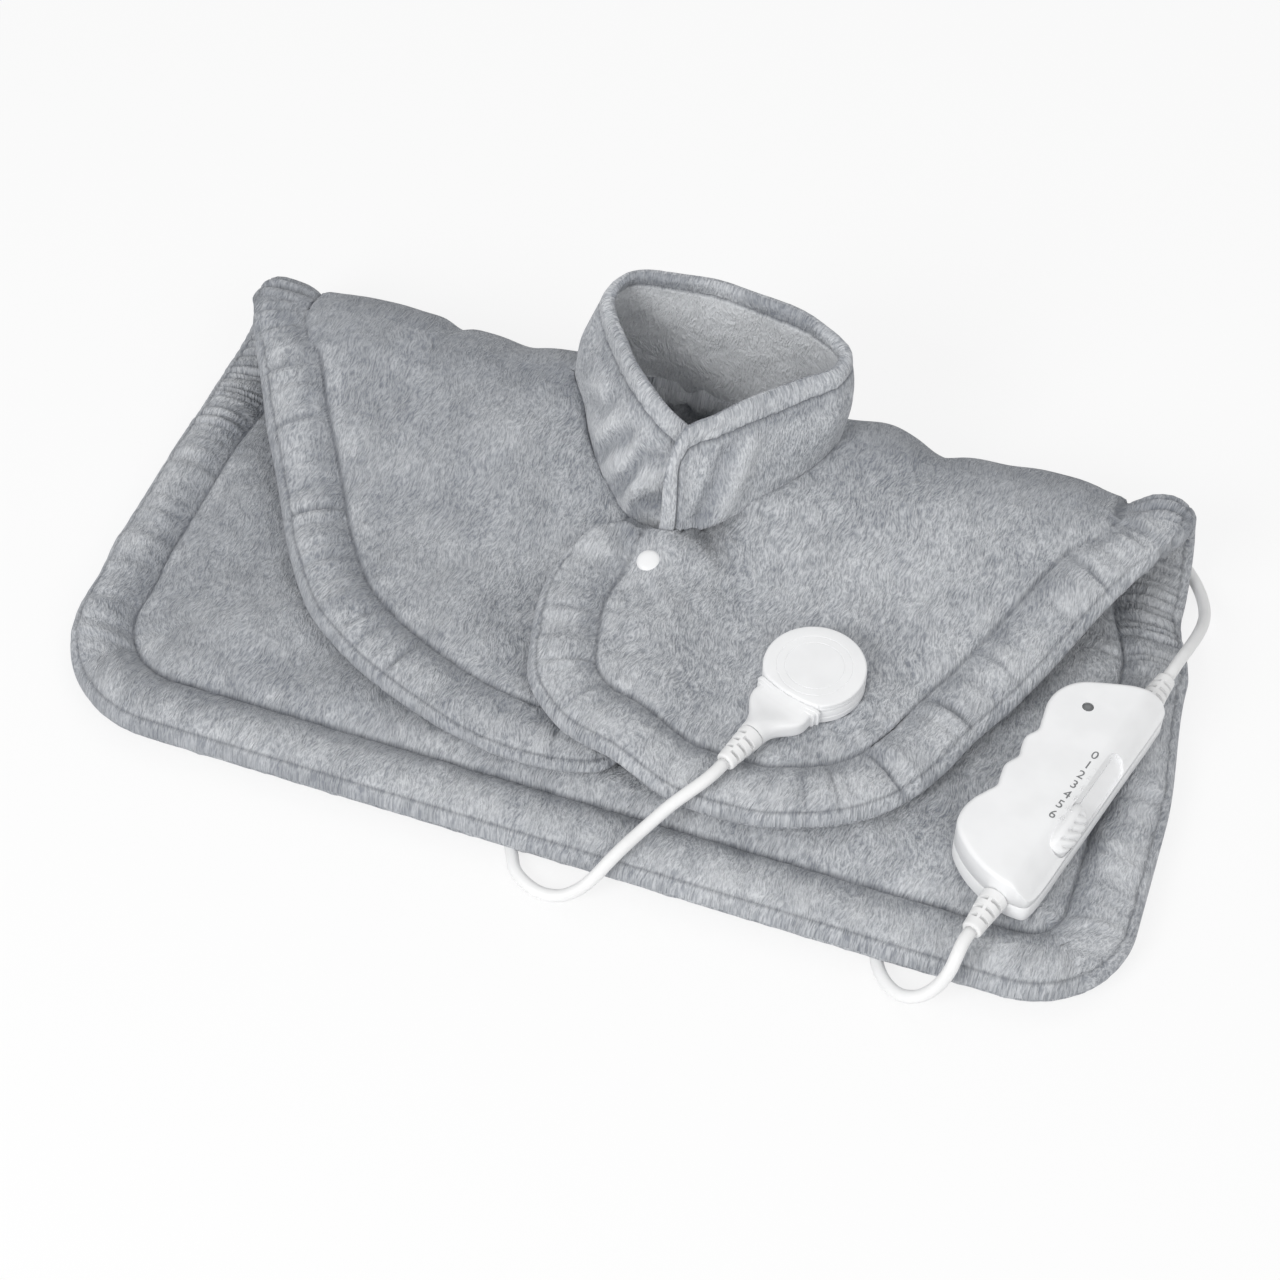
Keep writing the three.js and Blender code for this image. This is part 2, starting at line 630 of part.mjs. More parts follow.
// Tools that cut the layers: cord tunnels, the snap's holes and the socket's seat.
const [snapX, snapY] = [NECK_X + SNAP_ASIDE, collarBase.at(-1)[1] - SNAP_SETBACK];
const snapLeftLevel = leftFlap.level(snapX, snapY);
const snapRightLevel = rightFlap.level(snapX, snapY);
const snapRod = (diameter, z0, z1) => rod(diameter + 2 * SEAT_GAP, z0, z1, snapX, snapY, HOLE_SIDES);
const snapCapZ = snapRightLevel + SNAP_CAP_SINK;
const snapRingZ = snapRightLevel - SNAP_RING_LOWER;
const snapStudZ = snapLeftLevel + SNAP_STUD_RISE;
const snapHeadZ = snapLeftLevel - SNAP_HEAD_DROP;
const snapCutters = () => [
  snapRod(SNAP_CAP_DIAMETER, snapCapZ - SEAT_GAP, snapCapZ + FLAP_HEM_HEIGHT),
  snapRod(SNAP_POST_DIAMETER, snapHeadZ, snapCapZ),
  snapRod(SNAP_RING_DIAMETER, snapStudZ - SEAT_GAP, snapRingZ + SNAP_RING_HEIGHT + SEAT_GAP),
  snapRod(SNAP_RING_DIAMETER, snapHeadZ - FLAP_HEM_HEIGHT, snapHeadZ + SEAT_GAP),
];

const socketLevel = rightFlap.level(socketX, socketY);
const socketZ = socketLevel + FLAP_THICKNESS / 2 + SEAT_GAP;
const socketPlateZ = socketLevel + SEAT_GAP;
const socketRod = (diameter, z0, z1, sides) => rod(diameter, z0, z1, socketX, socketY, sides);
const socketCutters = () => [
  socketRod(SOCKET_DIAMETER + CUT_OVERRUN, socketZ - SEAT_GAP, socketZ + FOLD_HEIGHT, GROOVE_SIDES),
  socketRod(SOCKET_STEM_DIAMETER + 2 * SEAT_GAP, socketPlateZ, socketZ, STEM_SIDES),
];

// Cords. Their routes are chosen by hand: [x, y, z].
const padCordRoute = [
  [75.76, -86.17, 42.6], [73.78, -91.83, 42.6], [70, -98.8, 41.4], [64.5, -105.5, 38.6], [58.8, -112, 34.8],
  [53.5, -118.8, 30.4], [48.6, -126, 26.8], [44.2, -133.4, 24], [40, -140.5, 20.4], [35.8, -146.6, 15.4],
  [30, -151.8, 9.6], [22.3, -155.2, 5.2], [12.5, -155.6, 3.3], [3, -152.2, 3.2], [-3.4, -147.2, 3.2],
  [-7, -141, 3.2],
];
const underCordRoute = [
  [-7.15, -140.74, 3.2], [-9.66, -136.41, 3.2], [-11.6, -129.5, 3.2], [-11, -120, 3.2],
  [-7, -106, 3.2], [2, -91, 3.2], [18, -80, 3.2], [40, -74, 3.2], [66, -71.5, 3.2],
  [94, -73.5, 3.2], [120, -80, 3.2], [141, -91.5, 3.2], [155, -106, 3.2],
  [162, -122, 3.2], [164, -134, 3.2], [167.4, -141.6, 3.2], [173.2, -148.4, 3.4], [180.6, -152.8, 5.2],
  [188.6, -153.6, 9.8], [195.2, -150.4, 16.4], [198.8, -145.2, 22.8], [200.2, -139.4, 28.2],
  [201.13, -133.25, 30.6], [202.66, -127.45, 30.6],
];
const mainsCordRoute = [
  [253.07, 40.45, 30.6], [254.6, 46.25, 30.6], [256.6, 55.5, 29.2], [258.6, 64.5, 26.8], [260.4, 74, 23.8],
  [261.8, 84, 20.2], [262.4, 94, 15.8], [262, 104, 11.2], [260.2, 114, 7.2], [257, 123.5, 4.6],
  [252, 132.5, 3.3], [245, 140.6, 3.2], [235, 146.2, 3.2], [222, 149, 3.2], [195, 149.4, 3.2],
  [165, 149.2, 3.2], [135, 149, 3.2], [105, 149.4, 3.2], [75, 149.8, 3.2], [45, 150, 3.4], [15, 150, 3.8],
  [-13.7, 150.05, 4.1],
];
const tailCordRoute = [
  [-26.3, 150.05, 10.7], [-40, 149.8, 10.5], [-55, 149.4, 9.3], [-70, 149.2, 7.7], [-88, 149.2, 6.5],
];
const routeOf = (route) => route.map(([x, y, z]) => vec(x, y, z));
const cordTube = (route, diameter = CORD_DIAMETER) =>
  tube(routeOf(route), diameter, CORD_SIDES, CORD_DIAMETER * CORD_STEP_DIAMETERS);
const cordTunnel = () => cordTube(underCordRoute, CORD_DIAMETER + 2 * TUNNEL_CLEARANCE);

// Back panel
const carrierLow = -CARRIER_DROP - CARRIER_THICKNESS / 2;
const carrierHigh = -CARRIER_DROP + CARRIER_THICKNESS / 2;
const restCut = (x, s) =>
  s <= flatLength && (edgeOf(x, s) < HEM_WIDTH || s >= flatRows.at(-2)) ? REST_CUT_DEPTH : 0;
const backLower = backLayer(
  (x, s) => -backHalf(x, s) - restCut(x, s),
  (x, s) => -backSpace(x, s),
);
const backUpper = backLayer((x, s) => backSpace(x, s), (x, s) => backHalf(x, s));
add(group, "back_cover_lower", carve(backLower, [cordTunnel()]), "plush");
add(group, "back_cover_upper", backUpper, "plush");
const carrierSkip = hemSteps.length;
add(
  group,
  "back_heating_carrier",
  backLayer(() => carrierLow, () => carrierHigh, carrierSkip, carrierSkip, flatRows.length - 1),
  "fleece",
);

// Flap covers, the carriers and wires in them
const flapCover = (flap, upper) =>
  upper
    ? flapLayer(flap, (i, j) => flapSpace(flap, i, j), (i, j) => flapHalf(flap, i, j))
    : flapLayer(flap, (i, j) => -flapHalf(flap, i, j), (i, j) => -flapSpace(flap, i, j));
const flapCarrier = (flap) =>
  flapLayer(flap, () => carrierLow, () => carrierHigh, 1, flapHemSteps.length, flapRows - 1);
add(group, "left_flap_cover_lower", carve(flapCover(leftFlap, false), snapCutters()), "plush");
add(group, "left_flap_cover_upper", carve(flapCover(leftFlap, true), snapCutters()), "plush");
add(group, "left_heating_carrier", keepLargest(carve(flapCarrier(leftFlap), snapCutters())), "fleece");
add(group, "right_flap_cover_lower", carve(flapCover(rightFlap, false), snapCutters()), "plush");
add(
  group,
  "right_flap_cover_upper",
  carve(flapCover(rightFlap, true), [...snapCutters(), ...socketCutters()]),
  "plush",
);
const plateRoom = socketRod(
  SOCKET_PLATE_DIAMETER + CUT_OVERRUN,
  socketPlateZ - CUT_OVERRUN,
  socketZ + FOLD_HEIGHT,
  STEM_SIDES,
);
add(
  group,
  "right_heating_carrier",
  keepLargest(carve(flapCarrier(rightFlap), [...snapCutters(), plateRoom])),
  "fleece",
);

// Heating wires: the back one by shares of the half width and half depth, the others along the flap
const backWireShares = [
  [-0.66, -0.42], [0, -0.42], [0.64, -0.42], [0.69, -0.32], [0.64, -0.22], [0, -0.22], [-0.6, -0.22],
  [-0.65, -0.11], [-0.6, 0], [0, 0], [0.62, 0], [0.67, 0.1], [0.62, 0.2], [0, 0.2], [-0.66, 0.2],
];
function addHeatingWire(name, places) {
  add(group, name, tube(places, HEATING_WIRE_DIAMETER, HEATING_WIRE_SIDES, HEATING_WIRE_STEP), "metal");
}
addHeatingWire(
  "back_heating_wire",
  backWireShares.map(([u, v]) => {
    const [x, y] = [u * halfWidth, v * halfDepth];
    return vec(x, y, backLevel(x, y + halfDepth) + HEATING_WIRE_RISE);
  }),
);
// Out along a row near the hem, from one column on along a row nearer the neck, then back.
const wireRowShares = { near: 0.3, middle: 1.2, far: 1.75 };
function flapWire(flap) {
  const { first, step, last } = flap.wireColumns;
  const at = (i, rows) => {
    const row = flapHemSteps.length + Math.floor(rows);
    const [from, to] = [row, row + 1].map((j) => {
      const { x, y } = flap.places[i][j];
      return vec(x, y, flap.level(x, y) + HEATING_WIRE_RISE);
    });
    return from.lerp(to, rows % 1);
  };
  const columns = Array.from({ length: last - first + 1 }, (_, k) => first + k);
  const out = columns.map((i) => at(i, i < step ? wireRowShares.near : wireRowShares.middle));
  const back = columns.reverse().map((i) => at(i, wireRowShares.far));
  return [...out, ...back];
}
addHeatingWire("left_heating_wire", flapWire(leftFlap));
addHeatingWire("right_heating_wire", flapWire(rightFlap));

// Collar: two layers, cut to sit on the closed flaps and the fold
function collarLayer(inner, outer) {
  const count = collarShares.length;
  const outwards = (line, i) => {
    const [from, to] = [line[Math.max(0, i - 1)], line[Math.min(count - 1, i + 1)]];
    const length = Math.hypot(to[0] - from[0], to[1] - from[1]);
    return [-(to[1] - from[1]) / length, (to[0] - from[0]) / length];
  };
  const at = (distance) => (i, j) => {
    const share = j / (COLLAR_ROWS - 1);
    const bulge = distance + COLLAR_BULGE * Math.sin(share * halfTurn);
    const [bx, by] = outwards(collarBase, i);
    const [tx, ty] = outwards(collarTop, i);
    const x = lerp(collarBase[i][0] + bx * bulge, collarTop[i][0] + tx * bulge, share);
    const y = lerp(collarBase[i][1] + by * bulge, collarTop[i][1] + ty * bulge, share);
    return vec(x, y, lerp(collarFoot(i), collarRise[i], share));
  };
  return gridSolid(count, COLLAR_ROWS, at(inner), at(outer));
}

function collarFoot(i) {
  const [x, y] = collarBase[i];
  if (y > foldY) return foldRadius + Math.sqrt(foldRadius ** 2 - (y - foldY) ** 2) - COLLAR_SINK;
  const flap = i < collarShares.length / 2 ? leftFlap : rightFlap;
  return flap.level(x, y) + flap.panel(x) / 2 - COLLAR_SINK;
}
const roomShifts = [[1, 0, 0], [-1, 0, 0], [0, 1, 0], [0, -1, 0], [0, 0, 1], [0, 0, -1]];
const underCollar = () => {
  const bothCovers = (flap) => [flapCover(flap, false), flapCover(flap, true)];
  return [...bothCovers(leftFlap), ...bothCovers(rightFlap), backLower, backUpper].flatMap((cover) =>
    roomShifts.map((shift) => cover.clone().translate(...shift.map((step) => step * COLLAR_ROOM))),
  );
};
const collarSeam = seatHalf;
function addCollarLayer(name, inner, outer, finish) {
  const standing = carve(collarLayer(inner, outer), underCollar());
  add(group, name, keepLargest(standing, CUT_TOLERANCE), finish);
}
addCollarLayer("collar_outer", collarSeam, COLLAR_LAYER, "plush");
addCollarLayer("collar_lining", -COLLAR_LAYER, -collarSeam, "lining");

// Snap fastener
function snapPiece(name, profile, z, finish) {
  add(group, name, turned(profile), finish).position.set(snapX, snapY, z);
}
const [capR, postR, ringR] = [SNAP_CAP_DIAMETER / 2, SNAP_POST_DIAMETER / 2, SNAP_RING_DIAMETER / 2];
const postFoot = snapRingZ + SNAP_RING_HEIGHT / 2 - snapCapZ;
snapPiece(
  "snap_cap",
  [
    [0, postFoot], [postR, postFoot], [postR, 0], [capR, 0], [capR, SNAP_CAP_HEIGHT * 0.45],
    [capR * 0.8, SNAP_CAP_HEIGHT * 0.85], [0, SNAP_CAP_HEIGHT],
  ],
  snapCapZ,
  "white_shell",
);
const knobR = postR + SEAT_GAP;
const boreR = knobR + SEAT_GAP;
snapPiece(
  "snap_ring",
  [[boreR, 0], [ringR, 0], [ringR, SNAP_RING_HEIGHT], [boreR, SNAP_RING_HEIGHT], [boreR, 0]],
  snapRingZ,
  "white_shell",
);
const studTop = snapRingZ + SNAP_RING_HEIGHT / 2 - SEAT_GAP - snapStudZ;
snapPiece(
  "snap_stud",
  [
    [0, 0], [ringR, 0], [ringR, SNAP_STUD_THICKNESS], [knobR, SNAP_STUD_THICKNESS],
    [knobR, studTop], [0, studTop],
  ],
  snapStudZ,
  "white_shell",
);
const shankTop = snapStudZ - SEAT_GAP - snapHeadZ;
snapPiece(
  "snap_post",
  [
    [0, -SNAP_STUD_THICKNESS], [ringR, -SNAP_STUD_THICKNESS], [ringR, 0], [postR, 0],
    [postR, shankTop], [0, shankTop],
  ],
  snapHeadZ,
  "white_shell",
);

// Socket on the right flap, in a frame whose +X runs out along the plug
const socketFrame = new THREE.Group();
socketFrame.position.set(socketX, socketY, socketZ);
socketFrame.rotation.z = PLUG_ANGLE * degrees;
group.add(socketFrame);
const socketR = SOCKET_DIAMETER / 2;
const mouthHalf = SOCKET_MOUTH_WIDTH / 2;
const mouthTop = SOCKET_FLOOR + SOCKET_MOUTH_HEIGHT;
const pinRow = SOCKET_FLOOR + SOCKET_MOUTH_HEIGHT / 2;
const mouthEnd = SOCKET_CHORD - SOCKET_MOUTH_DEPTH;
const pinPlaces = Array.from({ length: PIN_COUNT }, (_, k) => (k - (PIN_COUNT - 1) / 2) * PIN_PITCH);
const chordCut = () =>
  box(SOCKET_CHORD, SOCKET_DIAMETER, -SOCKET_DIAMETER, SOCKET_DIAMETER, -CUT_OVERRUN, SOCKET_DIAMETER);
const boreRoom = (diameter) => diameter + 2 * SEAT_GAP;
const pinBore = (place, diameter, x0, x1, z) =>
  rod(diameter, x0, x1, 0, 0, SMALL_SIDES).rotateY(quarterTurn).translate(0, place, z);
add(
  socketFrame,
  "socket_housing",
  carve(rod(SOCKET_DIAMETER, 0, SOCKET_BODY_HEIGHT, 0, 0, DISC_SIDES), [
    chordCut(),
    box(mouthEnd, SOCKET_CHORD + CUT_OVERRUN, -mouthHalf, mouthHalf, SOCKET_FLOOR, mouthTop),
    ...pinPlaces.map((y) =>
      pinBore(y, boreRoom(PIN_DIAMETER), mouthEnd - PIN_DIAMETER - SEAT_GAP, SOCKET_CHORD, pinRow),
    ),
  ]),
  "white_shell",
);
const grooveRod = (radius, z0, z1) => rod(2 * radius, z0, z1, 0, 0, GROOVE_SIDES);
const ringGroove = (radius) =>
  carve(grooveRod(radius, SOCKET_LID_HEIGHT - GROOVE_DEPTH, SOCKET_LID_HEIGHT + CUT_OVERRUN), [
    grooveRod(radius - GROOVE_WIDTH, 0, SOCKET_LID_HEIGHT + 2 * CUT_OVERRUN),
  ]);
add(
  socketFrame,
  "socket_lid",
  carve(
    turned(
      [
        [0, 0], [socketR, 0], [socketR, SOCKET_LID_HEIGHT * 0.7],
        [socketR * 0.985, SOCKET_LID_HEIGHT * 0.92], [socketR * 0.95, SOCKET_LID_HEIGHT],
        [0, SOCKET_LID_HEIGHT],
      ],
      DISC_SIDES,
    ),
    [chordCut(), ...LID_GROOVE_SHARES.map((share) => ringGroove(socketR * share))],
  ),
  "white_shell",
).position.z = SOCKET_BODY_HEIGHT + SEAT_GAP;
const stemTop = -SEAT_GAP;
const plateLow = socketPlateZ - socketZ;
const plateTop = plateLow + SOCKET_PLATE_THICKNESS;
add(
  socketFrame,
  "socket_plate",
  turned(
    [
      [0, plateLow], [SOCKET_PLATE_DIAMETER / 2, plateLow], [SOCKET_PLATE_DIAMETER / 2, plateTop],
      [SOCKET_STEM_DIAMETER / 2, plateTop], [SOCKET_STEM_DIAMETER / 2, stemTop], [0, stemTop],
    ],
    PLATE_SIDES,
  ),
  "white_shell",
);
pinPlaces.forEach((y, k) => {
  const start = mouthEnd - PIN_DIAMETER;
  const pin = pinBore(y, PIN_DIAMETER, start, start + PIN_LENGTH, pinRow);
  add(socketFrame, "socket_pin_" + (k + 1), pin, "metal");
});

// Plug: two shells round the contacts, and a ribbed strain relief
const plugStart = SOCKET_CHORD + SEAT_GAP;
const plugEnd = plugStart + PLUG_LENGTH;
const tongueHalf = mouthHalf - TONGUE_CLEARANCE;
const tongueLow = SOCKET_FLOOR + TONGUE_CLEARANCE;
const tongueTop = mouthTop - TONGUE_CLEARANCE;
const plugAxis = pinRow + PLUG_AXIS_RISE;
const plugShares = [
  [0, 0.86], [0.3, 0.85], [0.5, 0.78], [0.68, 0.62], [0.82, 0.46], [0.92, 0.39], [1, 0.37],
];
const contactStart = SOCKET_CHORD - TONGUE_LENGTH + CONTACT_INSET;
const contactEnd = contactStart + CONTACT_LENGTH;
const shoulderHalf = PLUG_SHOULDER_WIDTH / 2;
const tongueStart = SOCKET_CHORD - TONGUE_LENGTH;
const flangeEnd = plugStart + PLUG_FLANGE_LENGTH;
const beyondPlug = plugEnd + PLUG_RELIEF_LENGTH;

function plugBody() {
  const outline = new THREE.Shape();
  const side = plugShares.map(([x, y]) => [plugStart + x * PLUG_LENGTH, y * shoulderHalf]);
  const round = [...side, ...[...side].reverse().map(([x, y]) => [x, -y])];
  round.forEach(([x, y], k) => (k ? outline.lineTo(x, y) : outline.moveTo(x, y)));
  outline.closePath();
  return new THREE.ExtrudeGeometry(outline, {
    depth: PLUG_HEIGHT - 2 * PLUG_EDGE,
    bevelThickness: PLUG_EDGE,
    bevelSize: PLUG_EDGE,
    bevelOffset: -PLUG_EDGE,
    bevelSegments: 2,
    curveSegments: 1,
  }).translate(0, 0, PLUG_EDGE + SEAT_GAP);
}

function plugShell(name, low, high) {
  const slab = box(0, beyondPlug, -PLUG_SHOULDER_WIDTH, PLUG_SHOULDER_WIDTH, low, high);
  const reliefStart = plugEnd - RELIEF_NECK_DEPTH - SEAT_GAP;
  const whole = carve(
    plugBody(),
    [
      ...pinPlaces.flatMap((y) => [
        pinBore(y, boreRoom(CONTACT_DIAMETER), contactStart - SEAT_GAP, contactEnd + SEAT_GAP, pinRow),
        pinBore(y, boreRoom(PIN_DIAMETER), tongueStart - CUT_OVERRUN, contactStart, pinRow),
      ]),
      pinBore(0, boreRoom(RELIEF_NECK_DIAMETER), reliefStart, plugEnd + CUT_OVERRUN, plugAxis),
    ],
    [
      box(plugStart, flangeEnd, -shoulderHalf, shoulderHalf, SEAT_GAP, PLUG_HEIGHT + SEAT_GAP),
      box(tongueStart, flangeEnd, -tongueHalf, tongueHalf, tongueLow, tongueTop),
    ],
  );
  add(socketFrame, name, fromSolid(toSolid(whole).intersect(toSolid(slab))), "white_shell");
}
plugShell("plug_lower_shell", -PLUG_HEIGHT, pinRow - seatHalf);
plugShell("plug_upper_shell", pinRow + seatHalf, 2 * PLUG_HEIGHT);
pinPlaces.forEach((y, k) => {
  const [bore, wall] = [PIN_DIAMETER / 2 + SEAT_GAP, CONTACT_DIAMETER / 2];
  const profile = [[bore, 0], [wall, 0], [wall, CONTACT_LENGTH], [bore, CONTACT_LENGTH], [bore, 0]];
  const sleeve = turned(profile, SMALL_SIDES).rotateY(quarterTurn).translate(contactStart, y, pinRow);
  add(socketFrame, "plug_contact_" + (k + 1), sleeve, "metal");
});

// A strain relief along +X from its seat: a neck behind the seat, then tapering ribs.
function strainRelief(length) {
  const neck = RELIEF_NECK_DIAMETER / 2;
  const profile = [[0, -RELIEF_NECK_DEPTH], [neck, -RELIEF_NECK_DEPTH], [neck, 0]];
  const pitch = length / RELIEF_RIBS;
  for (let k = 0; k < RELIEF_RIBS; k++) {
    const radius = lerp(RELIEF_DIAMETER, RELIEF_TIP_DIAMETER, k / (RELIEF_RIBS - 1)) / 2;
    const [start, ridge, end] = [k * pitch, (k + RELIEF_RIB_SHARE) * pitch, (k + 1) * pitch];
    profile.push([radius, start], [radius, ridge]);
    if (k < RELIEF_RIBS - 1) profile.push([radius - RELIEF_GROOVE, ridge], [radius - RELIEF_GROOVE, end]);
    else profile.push([radius - RELIEF_GROOVE / 2, end], [0, end]);
  }
  return turned(profile, SMALL_SIDES).rotateY(quarterTurn);
}
const plugRelief = add(socketFrame, "plug_strain_relief", strainRelief(PLUG_RELIEF_LENGTH), "white_rubber");
plugRelief.position.set(plugEnd + SEAT_GAP, 0, plugAxis);

// Cords
add(group, "pad_cord_1", cordTube(padCordRoute), "white_rubber");
add(group, "pad_cord_2", cordTube(underCordRoute), "white_rubber");
add(group, "mains_cord_run", cordTube(mainsCordRoute), "white_rubber");
add(group, "mains_cord_tail", cordTube(tailCordRoute), "white_rubber");

// Coil: it spirals in, climbs to the upper layer and spirals out, turning clockwise seen from above.
const coilLow = TIE_THICKNESS + SEAT_GAP + CORD_DIAMETER / 2;
const climbEnd = COIL_LAYER_TURNS + 0.5;
const coilTurns = COIL_LAYER_TURNS + climbEnd;

function coilPoint(turns) {
  const climb = clamp01((turns - COIL_LAYER_TURNS) / (climbEnd - COIL_LAYER_TURNS));
  const beyond = Math.max(COIL_LAYER_TURNS - turns, turns - climbEnd, 0);
  const dip = COIL_CLIMB_DIP * Math.sin(climb * halfTurn);
  const radius = COIL_INNER_RADIUS + COIL_PITCH * beyond - dip;
  const turn = -quarterTurn - turns * fullTurn;
  const z = coilLow + COIL_PITCH * smooth(climb);
  return vec(COIL_PLACE_X + radius * Math.cos(turn), COIL_PLACE_Y + radius * Math.sin(turn), z);
}

function coilLine() {
  const count = Math.round(coilTurns * COIL_STEPS);
  const points = Array.from({ length: count + 1 }, (_, k) => coilPoint((k * coilTurns) / count));
  const lead = vec(CORD_DIAMETER, 0, 0);
  return [points[0].clone().add(lead), ...points, points[count].clone().sub(lead)];
}

// A tube whose rings stand on the given points, each ring square to the line there.
function ringTube(points, diameter, sides) {
  const vertices = [];
  const faces = [];
  points.forEach((point, k) => {
    const before = points[Math.max(0, k - 1)];
    const after = points[Math.min(points.length - 1, k + 1)];
    const way = after.clone().sub(before).normalize();
    const across = vec(way.y, -way.x, 0).normalize();
    const up = across.clone().cross(way).normalize();
    for (let n = 0; n < sides; n++) {
      const turn = ((n + 0.5) / sides) * fullTurn;
      const spoke = across.clone().multiplyScalar(Math.cos(turn)).addScaledVector(up, Math.sin(turn));
      vertices.push(point.clone().addScaledVector(spoke, diameter / 2));
    }
  });
  for (let k = 0; k < points.length - 1; k++) {
    for (let n = 0; n < sides; n++) {
      const [a, b] = [k * sides + n, k * sides + ((n + 1) % sides)];
      faces.push(a, b, b + sides, a, b + sides, a + sides);
    }
  }
  const last = (points.length - 1) * sides;
  for (let n = 1; n < sides - 1; n++) {
    faces.push(0, n + 1, n, last, last + n, last + n + 1);
  }
  if (signedVolume(vertices, faces) < 0) faces.reverse();
  return geometryOf(vertices, faces);
}

function leastGap(points, diameter, apart) {
  let least = Infinity;
  for (let a = 0; a < points.length; a++) {
    for (let b = a + apart; b < points.length; b++) {
      least = Math.min(least, points[a].distanceTo(points[b]));
    }
  }
  return least - diameter;
}
const coilPath = coilLine();
const coilGap = leastGap(coilPath, CORD_DIAMETER, COIL_STEPS / 2);
console.log("least gap of the mains coil to itself: " + coilGap.toFixed(2) + " mm");
add(group, "mains_cord_coil", ringTube(coilPath, CORD_DIAMETER, COIL_SIDES), "white_rubber");

// Tie round the coil's turns
const tieInner = COIL_INNER_RADIUS - CORD_DIAMETER / 2 - 2 * SEAT_GAP;
const tieOuter = COIL_INNER_RADIUS + COIL_PITCH * COIL_LAYER_TURNS + CORD_DIAMETER / 2 + SEAT_GAP;
const tieTop = coilLow + COIL_PITCH + CORD_DIAMETER / 2 + SEAT_GAP;
const tieY = [COIL_PLACE_Y - TIE_WIDTH / 2, COIL_PLACE_Y + TIE_WIDTH / 2];
const [tieFrom, tieTo] = [COIL_PLACE_X + tieInner, COIL_PLACE_X + tieOuter];
const tieBlock = box(tieFrom - TIE_THICKNESS, tieTo + TIE_THICKNESS, ...tieY, 0, tieTop + TIE_THICKNESS);
const tieLoop = carve(tieBlock, [
  box(tieFrom, tieTo, tieY[0] - CUT_OVERRUN, tieY[1] + CUT_OVERRUN, TIE_THICKNESS, tieTop),
]);
add(group, "cord_tie", tieLoop, "white_rubber");

// Mains plug, in a frame whose +X runs from the cord to the pins
const mainsFrame = new THREE.Group();
const tailEnd = tailCordRoute[tailCordRoute.length - 1];
mainsFrame.position.set(tailEnd[0] - SEAT_GAP - MAINS_RELIEF_LENGTH, tailEnd[1], MAINS_PLUG_HEIGHT / 2);
mainsFrame.rotation.z = halfTurn;
group.add(mainsFrame);
const mainsHalf = MAINS_PLUG_WIDTH / 2;
const mainsPlugEnd = SEAT_GAP + MAINS_PLUG_LENGTH;
const mainsPinSides = [-1, 1];
const mainsPinPlace = (side) => (side * MAINS_PIN_PITCH) / 2;
function mainsPlugBody() {
  const outline = new THREE.Shape();
  const sideShares = [[0, 0.72], [0.3, 1], [0.72, 1], [0.8, 0.94], [1, 0.94]];
  const points = sideShares.map(([x, y]) => [SEAT_GAP + x * MAINS_PLUG_LENGTH, y * mainsHalf]);
  const round = [...points, ...[...points].reverse().map(([x, y]) => [x, -y])];
  round.forEach(([x, y], k) => (k ? outline.lineTo(x, y) : outline.moveTo(x, y)));
  outline.closePath();
  const body = new THREE.ExtrudeGeometry(outline, {
    depth: MAINS_PLUG_HEIGHT - 2 * PLUG_EDGE,
    bevelThickness: PLUG_EDGE,
    bevelSize: PLUG_EDGE,
    bevelOffset: -PLUG_EDGE,
    bevelSegments: 2,
    curveSegments: 1,
  }).translate(0, 0, PLUG_EDGE - MAINS_PLUG_HEIGHT / 2);
  const [seat, beyond] = [mainsPlugEnd - MAINS_PIN_SEAT, mainsPlugEnd + CUT_OVERRUN];
  const pinHole = (side) => pinBore(mainsPinPlace(side), boreRoom(MAINS_PIN_DIAMETER), seat, beyond, 0);
  const reliefHole = pinBore(0, boreRoom(RELIEF_NECK_DIAMETER), 0, boreRoom(RELIEF_NECK_DEPTH), 0);
  return carve(body, [...mainsPinSides.map(pinHole), reliefHole]);
}
add(mainsFrame, "mains_plug_body", mainsPlugBody(), "white_shell");
mainsPinSides.forEach((side, k) => {
  const [start, end] = [mainsPlugEnd - MAINS_PIN_SEAT + SEAT_GAP, mainsPlugEnd + MAINS_PIN_LENGTH];
  const pin = pinBore(mainsPinPlace(side), MAINS_PIN_DIAMETER, start, end, 0);
  add(mainsFrame, "mains_plug_pin_" + (k + 1), pin, "metal");
});
add(
  mainsFrame,
  "mains_plug_relief",
  strainRelief(MAINS_RELIEF_LENGTH).rotateZ(halfTurn),
  "white_rubber",
);

// Hand controller, in a frame whose origin lies under the middle of its straight side,
// +X towards the mains end and +Y towards the grip
const caseFrame = new THREE.Group();
const caseLevel = PANEL_LIFT + PANEL_THICKNESS + SEAT_GAP;
caseFrame.position.set(halfWidth - CONTROLLER_INSET, CONTROLLER_PLACE_Y, caseLevel);
caseFrame.rotation.z = CONTROLLER_ANGLE * degrees;
group.add(caseFrame);
const gripShares = [
  [-0.455, 0], [-0.2, 0], [0.2, 0], [0.455, 0], [0.492, 0.04], [0.5, 0.13], [0.492, 0.3], [0.455, 0.54],
  [0.394, 0.82], [0.333, 0.93], [0.265, 0.957], [0.18, 0.9], [0.13, 0.87], [0.078, 0.925], [0.035, 0.905],
  [-0.008, 0.87], [-0.068, 0.925], [-0.114, 0.9], [-0.159, 0.87], [-0.205, 0.92], [-0.258, 0.98],
  [-0.318, 1], [-0.379, 0.957], [-0.432, 0.804], [-0.477, 0.565], [-0.5, 0.304], [-0.497, 0.11],
  [-0.485, 0.03],
];
